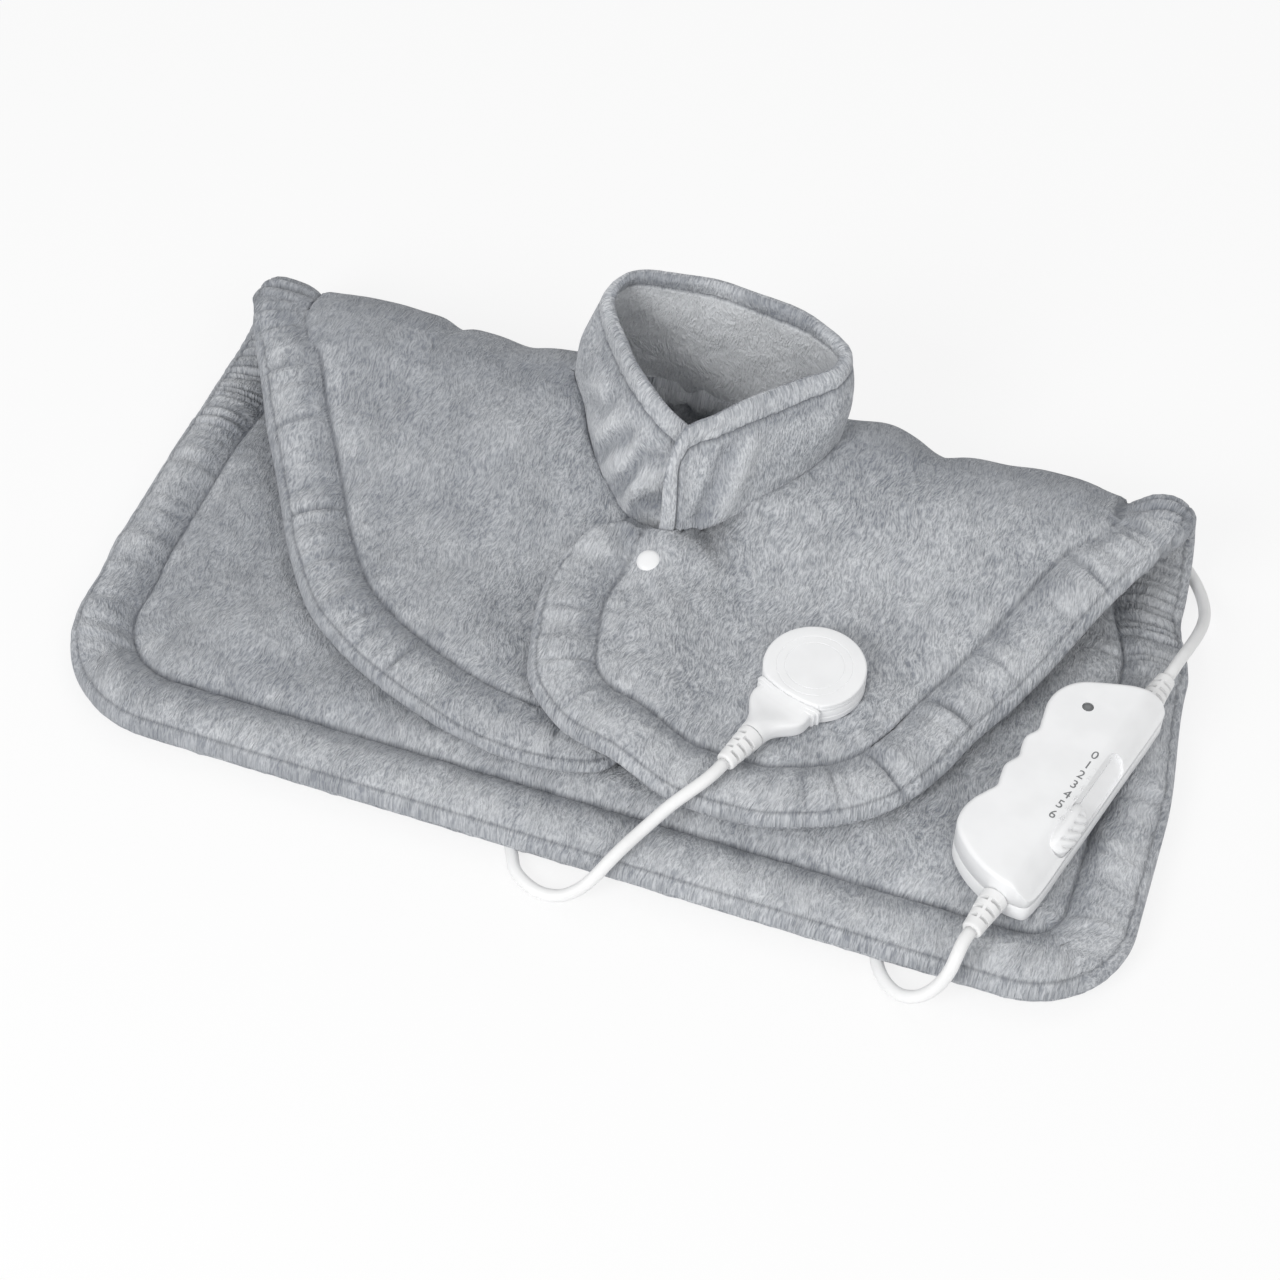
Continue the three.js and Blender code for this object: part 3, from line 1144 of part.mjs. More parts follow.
function caseBlock(inset, z0, z1, edge) {
  const line = new THREE.CatmullRomCurve3(
    gripShares.map(([x, y]) => vec(x * CONTROLLER_LENGTH, y * CONTROLLER_WIDTH, 0)),
    true,
    "centripetal",
  );
  const outline = new THREE.Shape(line.getSpacedPoints(CASE_OUTLINE_STEPS).slice(0, -1));
  return new THREE.ExtrudeGeometry(outline, {
    depth: z1 - z0 - 2 * edge,
    bevelThickness: edge,
    bevelSize: edge,
    bevelOffset: -edge - inset,
    bevelSegments: 2,
    curveSegments: 1,
  }).translate(0, 0, z0 + edge);
}

// The slope along the top of the straight side, cut at a depth below the outer slope
function slopeCut(depth) {
  const reach = CONTROLLER_LENGTH;
  return box(-reach, reach, -reach, reach, -depth, reach)
    .rotateX(eighthTurn)
    .translate(0, CONTROLLER_CHAMFER / 2, CONTROLLER_HEIGHT - CONTROLLER_CHAMFER / 2);
}
const onSlope = (geometry) =>
  geometry
    .rotateX(eighthTurn)
    .translate(0, CONTROLLER_CHAMFER / 2, CONTROLLER_HEIGHT - CONTROLLER_CHAMFER / 2);
const slabAt = (z0, z1) =>
  box(-CONTROLLER_LENGTH, CONTROLLER_LENGTH, -CONTROLLER_LENGTH, CONTROLLER_LENGTH, z0, z1);

const travel = (SETTING_COUNT - 1) * SETTING_PITCH;
const screwPlaces = SCREW_PLACE_SHARES.map(([x, y]) => [x * CONTROLLER_LENGTH, y * CONTROLLER_WIDTH]);
const ledX = CONTROLLER_LENGTH / 2 - LED_END_INSET;
const ledY = CONTROLLER_WIDTH - LED_GRIP_INSET;
const reliefHoles = () =>
  [[-1, PAD_RELIEF_OFFSET], [1, MAINS_RELIEF_OFFSET]].map(([side, y]) =>
    pinBore(y, boreRoom(RELIEF_NECK_DIAMETER), 0, CONTROLLER_LENGTH, 0)
      .rotateZ(side < 0 ? halfTurn : 0)
      .translate(0, side < 0 ? 2 * y : 0, CONTROLLER_PARTING),
  );
const outerCase = () => carve(caseBlock(0, 0, CONTROLLER_HEIGHT, CONTROLLER_EDGE), [slopeCut(0)]);
const innerCase = () =>
  carve(caseBlock(CONTROLLER_WALL, CONTROLLER_WALL, CONTROLLER_HEIGHT - CONTROLLER_WALL, CONTROLLER_EDGE), [
    slopeCut(RECESS_DEPTH + SLOT_FLOOR),
  ]);
const ceiling = CONTROLLER_HEIGHT - CONTROLLER_WALL;
const bossRod = (place, z0, z1) => rod(BOSS_DIAMETER, z0, z1, ...place, HOLE_SIDES);
const screwHole = (place, z0, z1) => rod(boreRoom(SCREW_DIAMETER), z0, z1, ...place, SMALL_SIDES);
const lampHole = (z0, z1) => rod(boreRoom(LED_DIAMETER), z0, z1, ledX, ledY, LENS_SIDES);
const headRoom = (place) =>
  rod(boreRoom(SCREW_HEAD_DIAMETER), -CUT_OVERRUN, boreRoom(SCREW_HEAD_HEIGHT), ...place, HOLE_SIDES);

// Slider: measured on the slope, with x along the case, y up the slope and z out of it
const recessHalf = KNOB_WIDTH / 2 + SEAT_GAP;
const recessFrom = LAST_SETTING_X - KNOB_LENGTH / 2 - SEAT_GAP;
const recessTo = LAST_SETTING_X + travel + KNOB_LENGTH / 2 + SEAT_GAP;
const slotFrom = LAST_SETTING_X - NECK_LENGTH / 2 - SEAT_GAP;
const slotTo = LAST_SETTING_X + travel + NECK_LENGTH / 2 + SEAT_GAP;
const neckHalf = NECK_THICKNESS / 2;
const slotDepth = RECESS_DEPTH + SLOT_FLOOR;

const upperCase = carve(
  carve(outerCase(), [innerCase(), slabAt(-CONTROLLER_HEIGHT, CONTROLLER_PARTING + seatHalf)]),
  [
    onSlope(box(recessFrom, recessTo, -recessHalf, recessHalf, -RECESS_DEPTH, CONTROLLER_HEIGHT)),
    onSlope(box(slotFrom, slotTo, -neckHalf - SEAT_GAP, neckHalf + SEAT_GAP, -slotDepth - CUT_OVERRUN, 0)),
    lampHole(ceiling - CUT_OVERRUN, CONTROLLER_HEIGHT + CUT_OVERRUN),
    ...reliefHoles(),
    ...screwPlaces.map((place) => screwHole(place, 0, SCREW_LENGTH + SCREW_HEAD_HEIGHT + 2 * SEAT_GAP)),
  ],
  screwPlaces.map((place) => bossRod(place, CONTROLLER_PARTING + seatHalf, ceiling + SEAT_GAP)),
);
add(caseFrame, "controller_upper_shell", keepLargest(upperCase), "white_shell");
const lowerCase = carve(
  carve(outerCase(), [innerCase(), slabAt(CONTROLLER_PARTING - seatHalf, 2 * CONTROLLER_HEIGHT)]),
  [
    ...reliefHoles(),
    ...screwPlaces.map((place) => screwHole(place, -CUT_OVERRUN, CONTROLLER_PARTING + CUT_OVERRUN)),
    ...screwPlaces.map(headRoom),
  ],
  screwPlaces.map((place) => bossRod(place, CONTROLLER_WALL - SEAT_GAP, CONTROLLER_PARTING - seatHalf)),
);
add(caseFrame, "controller_lower_shell", keepLargest(lowerCase), "white_shell");
screwPlaces.forEach(([x, y], k) => {
  const [head, shank] = [SCREW_HEAD_DIAMETER / 2, SCREW_DIAMETER / 2];
  const profile = [
    [0, 0], [head, 0], [head, SCREW_HEAD_HEIGHT], [shank, SCREW_HEAD_HEIGHT],
    [shank, SCREW_HEAD_HEIGHT + SCREW_LENGTH - SEAT_GAP], [0, SCREW_HEAD_HEIGHT + SCREW_LENGTH - SEAT_GAP],
  ];
  const screw = add(caseFrame, "case_screw_" + (k + 1), turned(profile, SMALL_SIDES), "metal");
  screw.position.set(x, y, SEAT_GAP);
});

const midBox = (length, width, z0, z1) => box(-length / 2, length / 2, -width / 2, width / 2, z0, z1);
const knobBase = -RECESS_DEPTH + SEAT_GAP;
function knob() {
  const half = KNOB_LENGTH / 2;
  const outline = new THREE.Shape();
  const profileShares = [
    [-1, 0], [1, 0], [1, 0.55], [0.86, 0.82], [0.6, 0.92], [0.2, 1],
    [-0.2, 1], [-0.6, 0.92], [-0.86, 0.82], [-1, 0.55],
  ];
  const profile = profileShares.map(([x, y]) => [x * half, y * KNOB_HEIGHT]);
  profile.forEach(([x, y], k) => (k ? outline.lineTo(x, y) : outline.moveTo(x, y)));
  outline.closePath();
  const body = new THREE.ExtrudeGeometry(outline, { depth: KNOB_WIDTH, bevelEnabled: false })
    .rotateX(quarterTurn)
    .translate(0, KNOB_WIDTH / 2, knobBase);
  const ribs = Array.from({ length: KNOB_RIBS }, (_, k) => {
    const x = ((k - (KNOB_RIBS - 1) / 2) * KNOB_LENGTH * KNOB_RIBBED_SHARE) / KNOB_RIBS;
    const [ribHalf, side, top] = [KNOB_RIB_WIDTH / 2, KNOB_RIB_LENGTH / 2, knobBase + KNOB_HEIGHT];
    return box(x - ribHalf, x + ribHalf, -side, side, top - KNOB_RIB_HEIGHT, top + KNOB_RIB_HEIGHT / 2);
  });
  const neck = midBox(NECK_LENGTH, NECK_THICKNESS, neckEnd, knobBase + KNOB_HEIGHT / 2);
  return onSlope(carve(body, [], [...ribs, neck])).translate(LAST_SETTING_X, 0, 0);
}
const carriageTop = -slotDepth - SEAT_GAP;
const carriageLow = carriageTop - CARRIAGE_HEIGHT;
const neckEnd = carriageLow + SEAT_GAP;
add(caseFrame, "slider_knob", knob(), "white_shell");
const neckRoom = [NECK_LENGTH + SEAT_GAP, NECK_THICKNESS + SEAT_GAP];
const carriage = carve(
  midBox(CARRIAGE_LENGTH, CARRIAGE_WIDTH, carriageLow, carriageTop),
  [midBox(...neckRoom, neckEnd - seatHalf, carriageTop + CUT_OVERRUN)],
  [midBox(WIPER_LENGTH, neckHalf, carriageLow - WIPER_HEIGHT, carriageLow + seatHalf)],
);
add(caseFrame, "slider_carriage", onSlope(carriage).translate(LAST_SETTING_X, 0, 0), "dark_plastic");
const switchTop = carriageLow - SEAT_GAP;
const switchFrom = slotFrom - WIPER_LENGTH;
const switchTo = slotTo + WIPER_LENGTH;
const [switchHalf, wiperHalf] = [SWITCH_WIDTH / 2, neckHalf / 2 + SEAT_GAP];
const wiperLow = switchTop - WIPER_HEIGHT - SEAT_GAP;
const switchLow = switchTop - SWITCH_HEIGHT;
const switchBlock = box(switchFrom, switchTo, -switchHalf, switchHalf, switchLow, switchTop);
const slideSwitch = carve(switchBlock, [
  box(slotFrom - SEAT_GAP, slotTo + SEAT_GAP, -wiperHalf, wiperHalf, wiperLow, switchTop + CUT_OVERRUN),
]);
add(caseFrame, "slide_switch", onSlope(slideSwitch), "dark_plastic");

// Circuit board and what stands on it
const boardTop = BOARD_LEVEL + BOARD_THICKNESS;
const onBoard = boardTop + SEAT_GAP;
add(
  caseFrame,
  "circuit_board",
  box(
    BOARD_PLACE_X - BOARD_LENGTH / 2,
    BOARD_PLACE_X + BOARD_LENGTH / 2,
    BOARD_PLACE_Y - BOARD_WIDTH / 2,
    BOARD_PLACE_Y + BOARD_WIDTH / 2,
    BOARD_LEVEL,
    boardTop,
  ),
  "board_green",
);
const ledR = LED_DIAMETER / 2;
const ledTop = ceiling - LENS_FLANGE - 2 * SEAT_GAP;
const ledFoot = ledTop - LED_DIAMETER;
const ledProfile = [
  [0, onBoard], [ledR * 0.6, onBoard], [ledR * 0.6, ledFoot], [ledR, ledFoot],
  [ledR, ledTop - ledR], [ledR * 0.7, ledTop - ledR * 0.3], [0, ledTop],
];
add(caseFrame, "led", turned(ledProfile, HOLE_SIDES), "lamp_grey").position.set(ledX, ledY, 0);
const [lensLow, lensShoulder] = [ceiling - LENS_FLANGE - SEAT_GAP, ceiling - SEAT_GAP];
const flangeR = ledR + LENS_FLANGE;
const lensProfile = [
  [0, lensLow], [flangeR, lensLow], [flangeR, lensShoulder], [ledR, lensShoulder],
  [ledR, CONTROLLER_HEIGHT], [ledR * 0.6, CONTROLLER_HEIGHT + SEAT_GAP], [0, CONTROLLER_HEIGHT + LENS_CROWN],
];
add(caseFrame, "led_lens", turned(lensProfile, LENS_SIDES), "lamp_grey").position.set(ledX, ledY, 0);
for (const [name, { place, length, width, height, finish }] of Object.entries(BOARD_PARTS)) {
  const [x0, x1] = [place - length / 2, place + length / 2];
  const [y0, y1] = [BOARD_PLACE_Y - width / 2, BOARD_PLACE_Y + width / 2];
  add(caseFrame, name, box(x0, x1, y0, y1, onBoard, onBoard + height), finish);
}

// Strain reliefs at both ends of the case
function addCaseRelief(name, side, offset) {
  const relief = add(caseFrame, name, strainRelief(CASE_RELIEF_LENGTH), "white_rubber");
  relief.rotation.z = side < 0 ? halfTurn : 0;
  relief.position.set(side * (CONTROLLER_LENGTH / 2 + SEAT_GAP), offset, CONTROLLER_PARTING);
}
addCaseRelief("pad_side_relief", -1, PAD_RELIEF_OFFSET);
addCaseRelief("mains_side_relief", 1, MAINS_RELIEF_OFFSET);

export default group;
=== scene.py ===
import math

import bmesh
import bpy
import numpy as np
from bpy.props import FloatProperty, FloatVectorProperty, IntProperty, PointerProperty
from mathutils import Matrix, Vector
from mathutils.geometry import delaunay_2d_cdt


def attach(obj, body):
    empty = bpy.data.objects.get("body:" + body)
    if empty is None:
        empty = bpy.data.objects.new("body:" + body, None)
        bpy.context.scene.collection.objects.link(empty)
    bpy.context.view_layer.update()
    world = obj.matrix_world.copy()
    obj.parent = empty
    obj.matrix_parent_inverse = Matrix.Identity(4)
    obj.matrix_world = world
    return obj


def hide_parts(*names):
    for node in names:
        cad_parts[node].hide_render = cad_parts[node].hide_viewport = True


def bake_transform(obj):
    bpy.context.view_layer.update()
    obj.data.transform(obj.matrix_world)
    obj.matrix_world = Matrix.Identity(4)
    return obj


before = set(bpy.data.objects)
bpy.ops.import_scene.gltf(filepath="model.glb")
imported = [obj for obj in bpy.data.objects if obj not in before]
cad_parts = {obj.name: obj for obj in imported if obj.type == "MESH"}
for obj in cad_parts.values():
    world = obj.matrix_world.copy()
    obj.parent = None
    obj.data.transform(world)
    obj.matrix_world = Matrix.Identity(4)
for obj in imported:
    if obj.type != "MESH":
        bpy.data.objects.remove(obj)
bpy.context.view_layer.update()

bl_info = {
    "name": "Shoulder heating pad",
    "version": (1, 0, 0),
    "blender": (4, 5, 0),
    "location": "View3D > Sidebar > Heating pad",
    "description": "Dresses the packed heating pad: plush cape, collar, snap, plug, controller and cords",
    "category": "Object",
}

TINY = 1e-9
TURN = 2 * math.pi
HALF_TURN = TURN / 2
QUARTER_TURN = TURN / 4

# The outlines below are shares of the sizes that they follow, x then y

LEFT_REACH_SHARES = [[0, 0.967], [0.24, 0.967], [0.33, 0.98], [0.6, 0.99], [0.76, 1], [1, 0.937]]
RIGHT_REACH_SHARES = [[0, 1], [0.34, 1], [0.6, 0.972], [0.74, 0.93], [1, 0.9]]
LEFT_EDGE_SHARES = [
    [-0.937, 0.772], [-0.882, 0.586], [-0.827, 0.413], [-0.782, 0.263], [-0.734, 0.125], [-0.69, -0.009],
    [-0.646, -0.146], [-0.587, -0.302], [-0.531, -0.423], [-0.469, -0.509], [-0.406, -0.58], [-0.332, -0.644],
    [-0.258, -0.694], [-0.173, -0.73], [-0.096, -0.751], [-0.022, -0.748], [0.035, -0.728],
    [0.078, -0.69], [0.1, -0.63],
]
RIGHT_EDGE_SHARES = [
    [0.9, 0.772], [0.875, 0.683], [0.834, 0.53], [0.793, 0.377], [0.745, 0.176], [0.697, -0.014],
    [0.66, -0.153], [0.62, -0.352], [0.572, -0.509], [0.502, -0.63], [0.428, -0.7], [0.365, -0.74],
    [0.3, -0.751], [0.225, -0.747], [0.155, -0.733], [0.074, -0.698], [0.004, -0.662], [-0.055, -0.587],
    [-0.096, -0.498], [-0.124, -0.345], [-0.148, -0.125], [-0.142, 0.025], [-0.114, 0.142], [-0.059, 0.203],
]
# Where the right flap's hem ends at its top, and the way that its seam then keeps
HEM_TOP_SHARES = [-0.142, 0.025]
HEM_LEAD_SHARES = [-0.13, 0.42]
LEFT_NECK_END_SHARES = [0.253, -0.355]
RIGHT_NECK_END_SHARES = [0.173, -0.485]
# Each stop of the collar: its foot, its top edge, and the height of the top edge as a share
COLLAR_SHARES = [
    [[0.36, -0.31], [0.33, -0.13], 0.43], [[0.19, -0.37], [0.15, -0.13], 0.48],
    [[-0.01, -0.385], [-0.05, -0.1], 0.56], [[-0.25, -0.305], [-0.27, 0], 0.67],
    [[-0.49, -0.12], [-0.43, 0.07], 0.76], [[-0.69, 0.12], [-0.52, 0.13], 0.86],
    [[-0.87, 0.35], [-0.57, 0.21], 0.95], [[-0.76, 0.46], [-0.49, 0.3], 1],
    [[-0.4, 0.485], [-0.25, 0.37], 1], [[0.07, 0.485], [0.09, 0.41], 0.985],
    [[0.49, 0.475], [0.43, 0.42], 0.95], [[0.81, 0.43], [0.73, 0.41], 0.89],
    [[0.95, 0.32], [0.97, 0.34], 0.82], [[0.91, 0.18], [0.95, 0.24], 0.77],
    [[0.76, -0.02], [0.73, 0.16], 0.71], [[0.57, -0.24], [0.51, 0.03], 0.65],
    [[0.39, -0.385], [0.31, -0.11], 0.6], [[0.23, -0.455], [0.15, -0.21], 0.56],
    [[0.1, -0.485], [0.05, -0.34], 0.4],
]

# The outline of the controller's case, as shares of its length and width
CASE_SHARES = [
    [-0.455, -0.03], [-0.2, -0.045], [0.2, -0.045], [0.44, -0.045], [0.492, -0.035], [0.508, 0.005],
    [0.505, 0.13], [0.494, 0.3], [0.455, 0.54], [0.394, 0.82], [0.333, 0.93], [0.265, 0.957],
    [0.18, 0.9], [0.13, 0.87], [0.078, 0.925], [0.035, 0.905], [-0.008, 0.87], [-0.068, 0.925],
    [-0.114, 0.9], [-0.159, 0.87], [-0.205, 0.92], [-0.258, 0.98], [-0.318, 1], [-0.379, 0.957],
    [-0.432, 0.804], [-0.477, 0.565], [-0.5, 0.304], [-0.497, 0.11], [-0.485, 0.005],
]
# Each stop of the plug, front to tail: its place and half width as shares of the length and the shoulder
PLUG_SHARES = [
    [0, 0.5], [0.012, 0.525], [0.062, 0.53], [0.07, 0.495], [0.134, 0.492], [0.145, 0.452], [0.28, 0.458],
    [0.41, 0.435], [0.52, 0.38], [0.62, 0.31], [0.72, 0.255], [0.83, 0.215], [0.93, 0.197], [1, 0.191],
]

# Steps of the cloth's net just inside the hem's seam
SEAM_STEPS = (0.0008, 0.002, 0.004, 0.0065)
# Steps of the collar's net on both sides of its topstitch
BAND_STEPS = (-0.0042, -0.0024, -0.0014, -0.0007, 0, 0.0007, 0.0014, 0.0024, 0.004)
# Where the run of each stretch of hem starts, so that no two stretches gather alike
RUN_STARTS = {"left side": 0, "right side": 2, "near side": 4, "left flap": 6, "right flap": 9}
# How far the flat pattern of an underside, and of the collar's lining, lies beside that of the outside
UNDERSIDE = (0.7, 0)
LINING_SIDE = (0.9, 0.4)
# Dents in the line of the fold: place across, half width and depth
FOLD_DENTS = [(-0.143, 0.006, 0.0035), (-0.105, 0.012, 0.002), (0.118, 0.009, 0.003), (0.182, 0.02, 0.002)]
# Creases that start at the snap: way, length, half width and height
SNAP_CREASES = [(-0.85, 0.045, 0.0034, 0.0022), (-0.25, 0.05, 0.004, 0.0014), (2.4, 0.035, 0.003, 0.0016)]

# Each wave in the cloth: its seed and its length; the painted light waves only vary painted highlights and
# shade
WAVES = {
    "hem": (3, 0.017), "hem field": (4, 0.03), "pleats": (5, 0.03), "pleat field": (6, 0.03),
    "puckers": (7, 0.011), "panels": (8, 0.085), "panel detail": (9, 0.032), "fold": (10, 0.05),
    "ridge": (12, 0.09), "hem creases": (13, 0.012), "hem painted light": (14, 0.03), "seam painted light": (15, 0.06),
    "topstitch": (21, 0.008), "billows": (22, 0.05), "collar creases": (23, 0.04),
    "lining painted light": (24, 0.05), "neck": (31, 0.016),
}
# The middle of the cloth that shows inside the neck, and how far it reaches
NECK_CLOTH = (-0.015, 0.138, 0.032)
# The lowest that the cape's cloth lies above the table
TABLE_GAP = 0.0001
# The white that shines from all sides, and the backdrop's own
WORLD_STRENGTHS = (0.48, 1)
# Share of its own light in the floor, so that it looks white with a soft shadow
FLOOR_GLOW = 0.8
# The case's net: distance between its points, points round its outline and steps over its edge
CASE_NET = (0.0016, 420, 9)
# Points round the slotted sleeves, the distance from ring to ring, and the columns of slots
SLEEVE_SIDES, SLEEVE_STEP, SLEEVE_COLUMNS = 96, 0.00022, 4
# The plug's section is nearly square in front and round at its tail: powers of its curve
PLUG_SQUARE, PLUG_ROUND = 7, 2.15
# How much lower the plug is behind each of its two ledges: place and share of its height
PLUG_LEDGES = ((0.066, 0.97), (0.14, 0.94))
# The lid's flat top: its rim, its two engraved rings and the plain middle, as shares of the radius
LID_RIM, LID_RINGS, LID_MIDDLE = 0.77, (0.745, 0.585), 0.2
# The section of an engraved ring: step inwards and depth
RING_SECTION = ((0, 0), (-0.0001, 0.0002), (-0.0005, 0.0002), (-0.0006, 0))
# Space between two moulded pieces that meet
FIT = 0.0003
# The angle from which an edge between two faces stays sharp
SHARP = math.radians(38)

# The layers of the pile: stretch across and along, extra turn, detail and roughness
PILE_LAYERS = {
    "tufts": ((420, 140, 1), 0, 2, 0.5), "fibres": ((1250, 330, 1), 0, 2, 0.6),
    "nap": ((16, 22, 1), 0, 3, 0.6), "patch": ((90, 55, 1), 0.6, 3, 0.6),
}
# The studio's lamps: place, width and power
LAMPS = {
    "key": ((-0.7, -1.6, 1.25), 0.9, 21), "fill": ((1.3, -1.1, 1.5), 1.4, 12),
    "back": ((0.1, 1.3, 2), 1.3, 6),
}

# Cord routes in metres, from the plug to the controller and from the controller to the mains plug

PAD_CORD_ROUTE = [
    (0.07576, -0.08617, 0.0426), (0.07378, -0.09183, 0.0426), (0.07, -0.0988, 0.0414),
    (0.0645, -0.1055, 0.0386), (0.0588, -0.112, 0.0348), (0.0535, -0.1188, 0.0304),
    (0.0486, -0.126, 0.0268), (0.0442, -0.1334, 0.024), (0.04, -0.1405, 0.0204),
    (0.0358, -0.1466, 0.0154), (0.03, -0.1518, 0.0096), (0.0223, -0.1552, 0.0052),
    (0.0125, -0.1556, 0.0033), (0.003, -0.1522, 0.0032), (-0.0034, -0.1472, 0.0032),
    (-0.007, -0.141, 0.0032),
]
# The rest of the pad's cord, on to the controller
UNDER_CORD_ROUTE = [
    (-0.00966, -0.13641, 0.0032), (-0.0116, -0.1295, 0.0032), (-0.011, -0.12, 0.0032),
    (-0.007, -0.106, 0.0032), (0.002, -0.091, 0.0032), (0.018, -0.08, 0.0032), (0.04, -0.074, 0.0032),
    (0.066, -0.0715, 0.0032), (0.094, -0.0735, 0.0032), (0.12, -0.08, 0.0032),
    (0.141, -0.0915, 0.0032), (0.155, -0.106, 0.0032), (0.162, -0.122, 0.0032),
    (0.164, -0.134, 0.0032), (0.1674, -0.1416, 0.0032), (0.1732, -0.1484, 0.0034),
    (0.1806, -0.1528, 0.0052), (0.1886, -0.1536, 0.0098), (0.1952, -0.1504, 0.0164),
    (0.1988, -0.1452, 0.0228), (0.2002, -0.1394, 0.0282), (0.20113, -0.13325, 0.0306),
    (0.20266, -0.12745, 0.0306),
]
MAINS_CORD_ROUTE = [
    (0.25307, 0.04045, 0.0306), (0.2546, 0.04625, 0.0306), (0.2566, 0.0555, 0.0292),
    (0.2586, 0.0645, 0.0268), (0.2604, 0.074, 0.0238), (0.2618, 0.084, 0.0202), (0.2624, 0.094, 0.0158),
    (0.262, 0.104, 0.0112), (0.2602, 0.114, 0.0072), (0.257, 0.1235, 0.0046), (0.252, 0.1325, 0.0033),
    (0.245, 0.1406, 0.0032), (0.235, 0.1462, 0.0032), (0.222, 0.149, 0.0032), (0.195, 0.1494, 0.0032),
    (0.165, 0.1492, 0.0032), (0.135, 0.149, 0.0032), (0.105, 0.1494, 0.0032), (0.075, 0.1498, 0.0032),
    (0.045, 0.15, 0.0034), (0.015, 0.15, 0.0038), (-0.0137, 0.15005, 0.0041),
]
TAIL_CORD_ROUTE = [
    (-0.0263, 0.15005, 0.0107), (-0.04, 0.1498, 0.0105), (-0.055, 0.1494, 0.0093),
    (-0.07, 0.1492, 0.0077), (-0.088, 0.1492, 0.0065),
]


def size(name, text, default, **more):
    """A length that a user can change, in metres."""
    return FloatProperty(name=name, description=text, default=default, unit="LENGTH", precision=4, **more)


def angle(name, text, default):
    """A turn that a user can change, given here in degrees."""
    return FloatProperty(name=name, description=text, default=math.radians(default), subtype="ANGLE")


def portion(name, text, default):
    """A share from 0 to 1 that a user can change."""
    return FloatProperty(name=name, description=text, default=default, min=0, max=1)


def colour(name, text, default):
    """A finish colour that a user can change."""
    return FloatVectorProperty(name=name, description=text, default=default, subtype="COLOR", min=0, max=1)


class CapeSizes(bpy.types.PropertyGroup):
    width: size("Width", "Width of the laid pad", 0.542)
    depth: size("Depth", "Near hem to the back of the fold", 0.281)
    hem_width: size("Hem width", "Width of the stuffed hem", 0.032)
    hem_height: size("Hem height", "Height of the back panel's hem", 0.0195)
    flap_hem_height: size("Flap hem height", "Height of the flaps' hem", 0.016)
    seam_thickness: size("Seam thickness", "Thickness of the cape beside the hem seam", 0.0082)
    seam_notch: size("Seam notch", "How deep the stitching pulls the cloth in", 0.0017)
    seam_width: size("Seam width", "Half width of that notch", 0.0013)
    edge_seam: size("Edge seam", "Distance of the cover's own seam from the free edge", 0.0042)
    # The painted shade of that seam starts this much further off, so that it is fainter
    edge_seam_fade: size("Edge seam fade", "How much further off that seam counts, to be fainter", 0.0005)
    seam_reach: size("Seam reach", "How far the panel takes to fill out beside the seam", 0.018)
    ridge: size("Ridge", "Height of the ridge beside the near seam", 0.0018)
    panel_thickness: size("Panel thickness", "Thickness of the back panel", 0.0124)
    panel_lift: size("Panel lift", "Space under the back panel", 0.0074)
    flap_thickness: size("Flap thickness", "Thickness of a flap's panel", 0.013)
    flap_rest: size("Flap rest", "Height of a flap's underside above the table", 0.0203)
    fold_height: size("Fold height", "Height of the fold at the shoulders", 0.064)
    fold_thickness: size("Fold thickness", "Thickness of the layers in the fold", 0.014)
    fold_lead: size("Fold lead", "Length over which the panel turns into the fold", 0.071)
    left_corner: size("Left corner", "Radius of the near left corner", 0.07)
    right_corner: size("Right corner", "Radius of the near right corner", 0.05)
    lap_rise: size("Lap rise", "How much higher the right flap lies where it laps the left one", 0.0127)
    lap_start: size("Lap start", "Where the lap ends", 0.024)
    lap_ramp: size("Lap ramp", "Length of the slope beside the lap", 0.038)
    pressed_thickness: size("Pressed thickness", "Thickness of the left flap under the lap", 0.0108)
    pressed_start: size("Pressed start", "Where the left flap begins to be pressed", -0.045)
    pressed_ramp: size("Pressed ramp", "Length over which it is pressed", 0.03)
    neck_x: size("Neck middle across", "Middle of the neck opening, across", -0.005)
    neck_y: size("Neck middle along", "Middle of the neck opening, near to far", 0.08)
    neck_width: size("Neck width", "Width of the neck opening", 0.15)
    gap_x: size("Fold gap middle", "Middle of the fold's cut for the neck, across", -0.0015)
    gap_width: size("Fold gap width", "Width of the fold's cut for the neck", 0.141)
    neck_depth: size("Neck depth", "Depth of the neck opening", 0.1)
    mesh_step: size("Mesh step", "Distance between the points of the cloth", 0.0027)
    fold_spread: size("Hem spread", "How much wider the hem is where it turns over the fold", 0.005)
    gather_start: size("Gather start", "Where the back's hem begins to gather, near to far", 0.035)
    gather_step: size("Gather mesh step", "Distance between the points of the gathered cloth", 0.0014)
    gather_pitch: size("Gather pitch", "Distance from gather to gather", 0.0064)
    cross_pucker: size("Cross pucker", "Depth of the creases across the flaps' hems", 0.0022)
    gather: size("Gather", "Height of the gathers in the hem", 0.0009)
    fold_gather: size("Fold gather", "Height of the gathers where the hem turns over the fold", 0.0034)
    pucker: size("Pucker", "Height of the puckers beside the seam", 0.0008)
    disc_puff: size("Puff beside the socket", "How far the cloth swells up round the socket", 0.0042)
    swell: size("Swell", "Height of the soft waves in the panels", 0.0014)
    neck_swell: size("Neck swell", "Height of the waves in the cloth inside the neck", 0.0035)
    rim_round: size("Rim rounding", "Length over which a rim without a hem closes", 0.006)
    lift_start: size("Lift start", "Distance from the edge where the panel begins to lift", 0.024)
    neck_cut: portion("Neck cut", "Share of the fold that is cut away at the neck", 0.206)
    snap_dent: size("Snap dent", "How deep the snap pulls the cloth in", 0.0022)


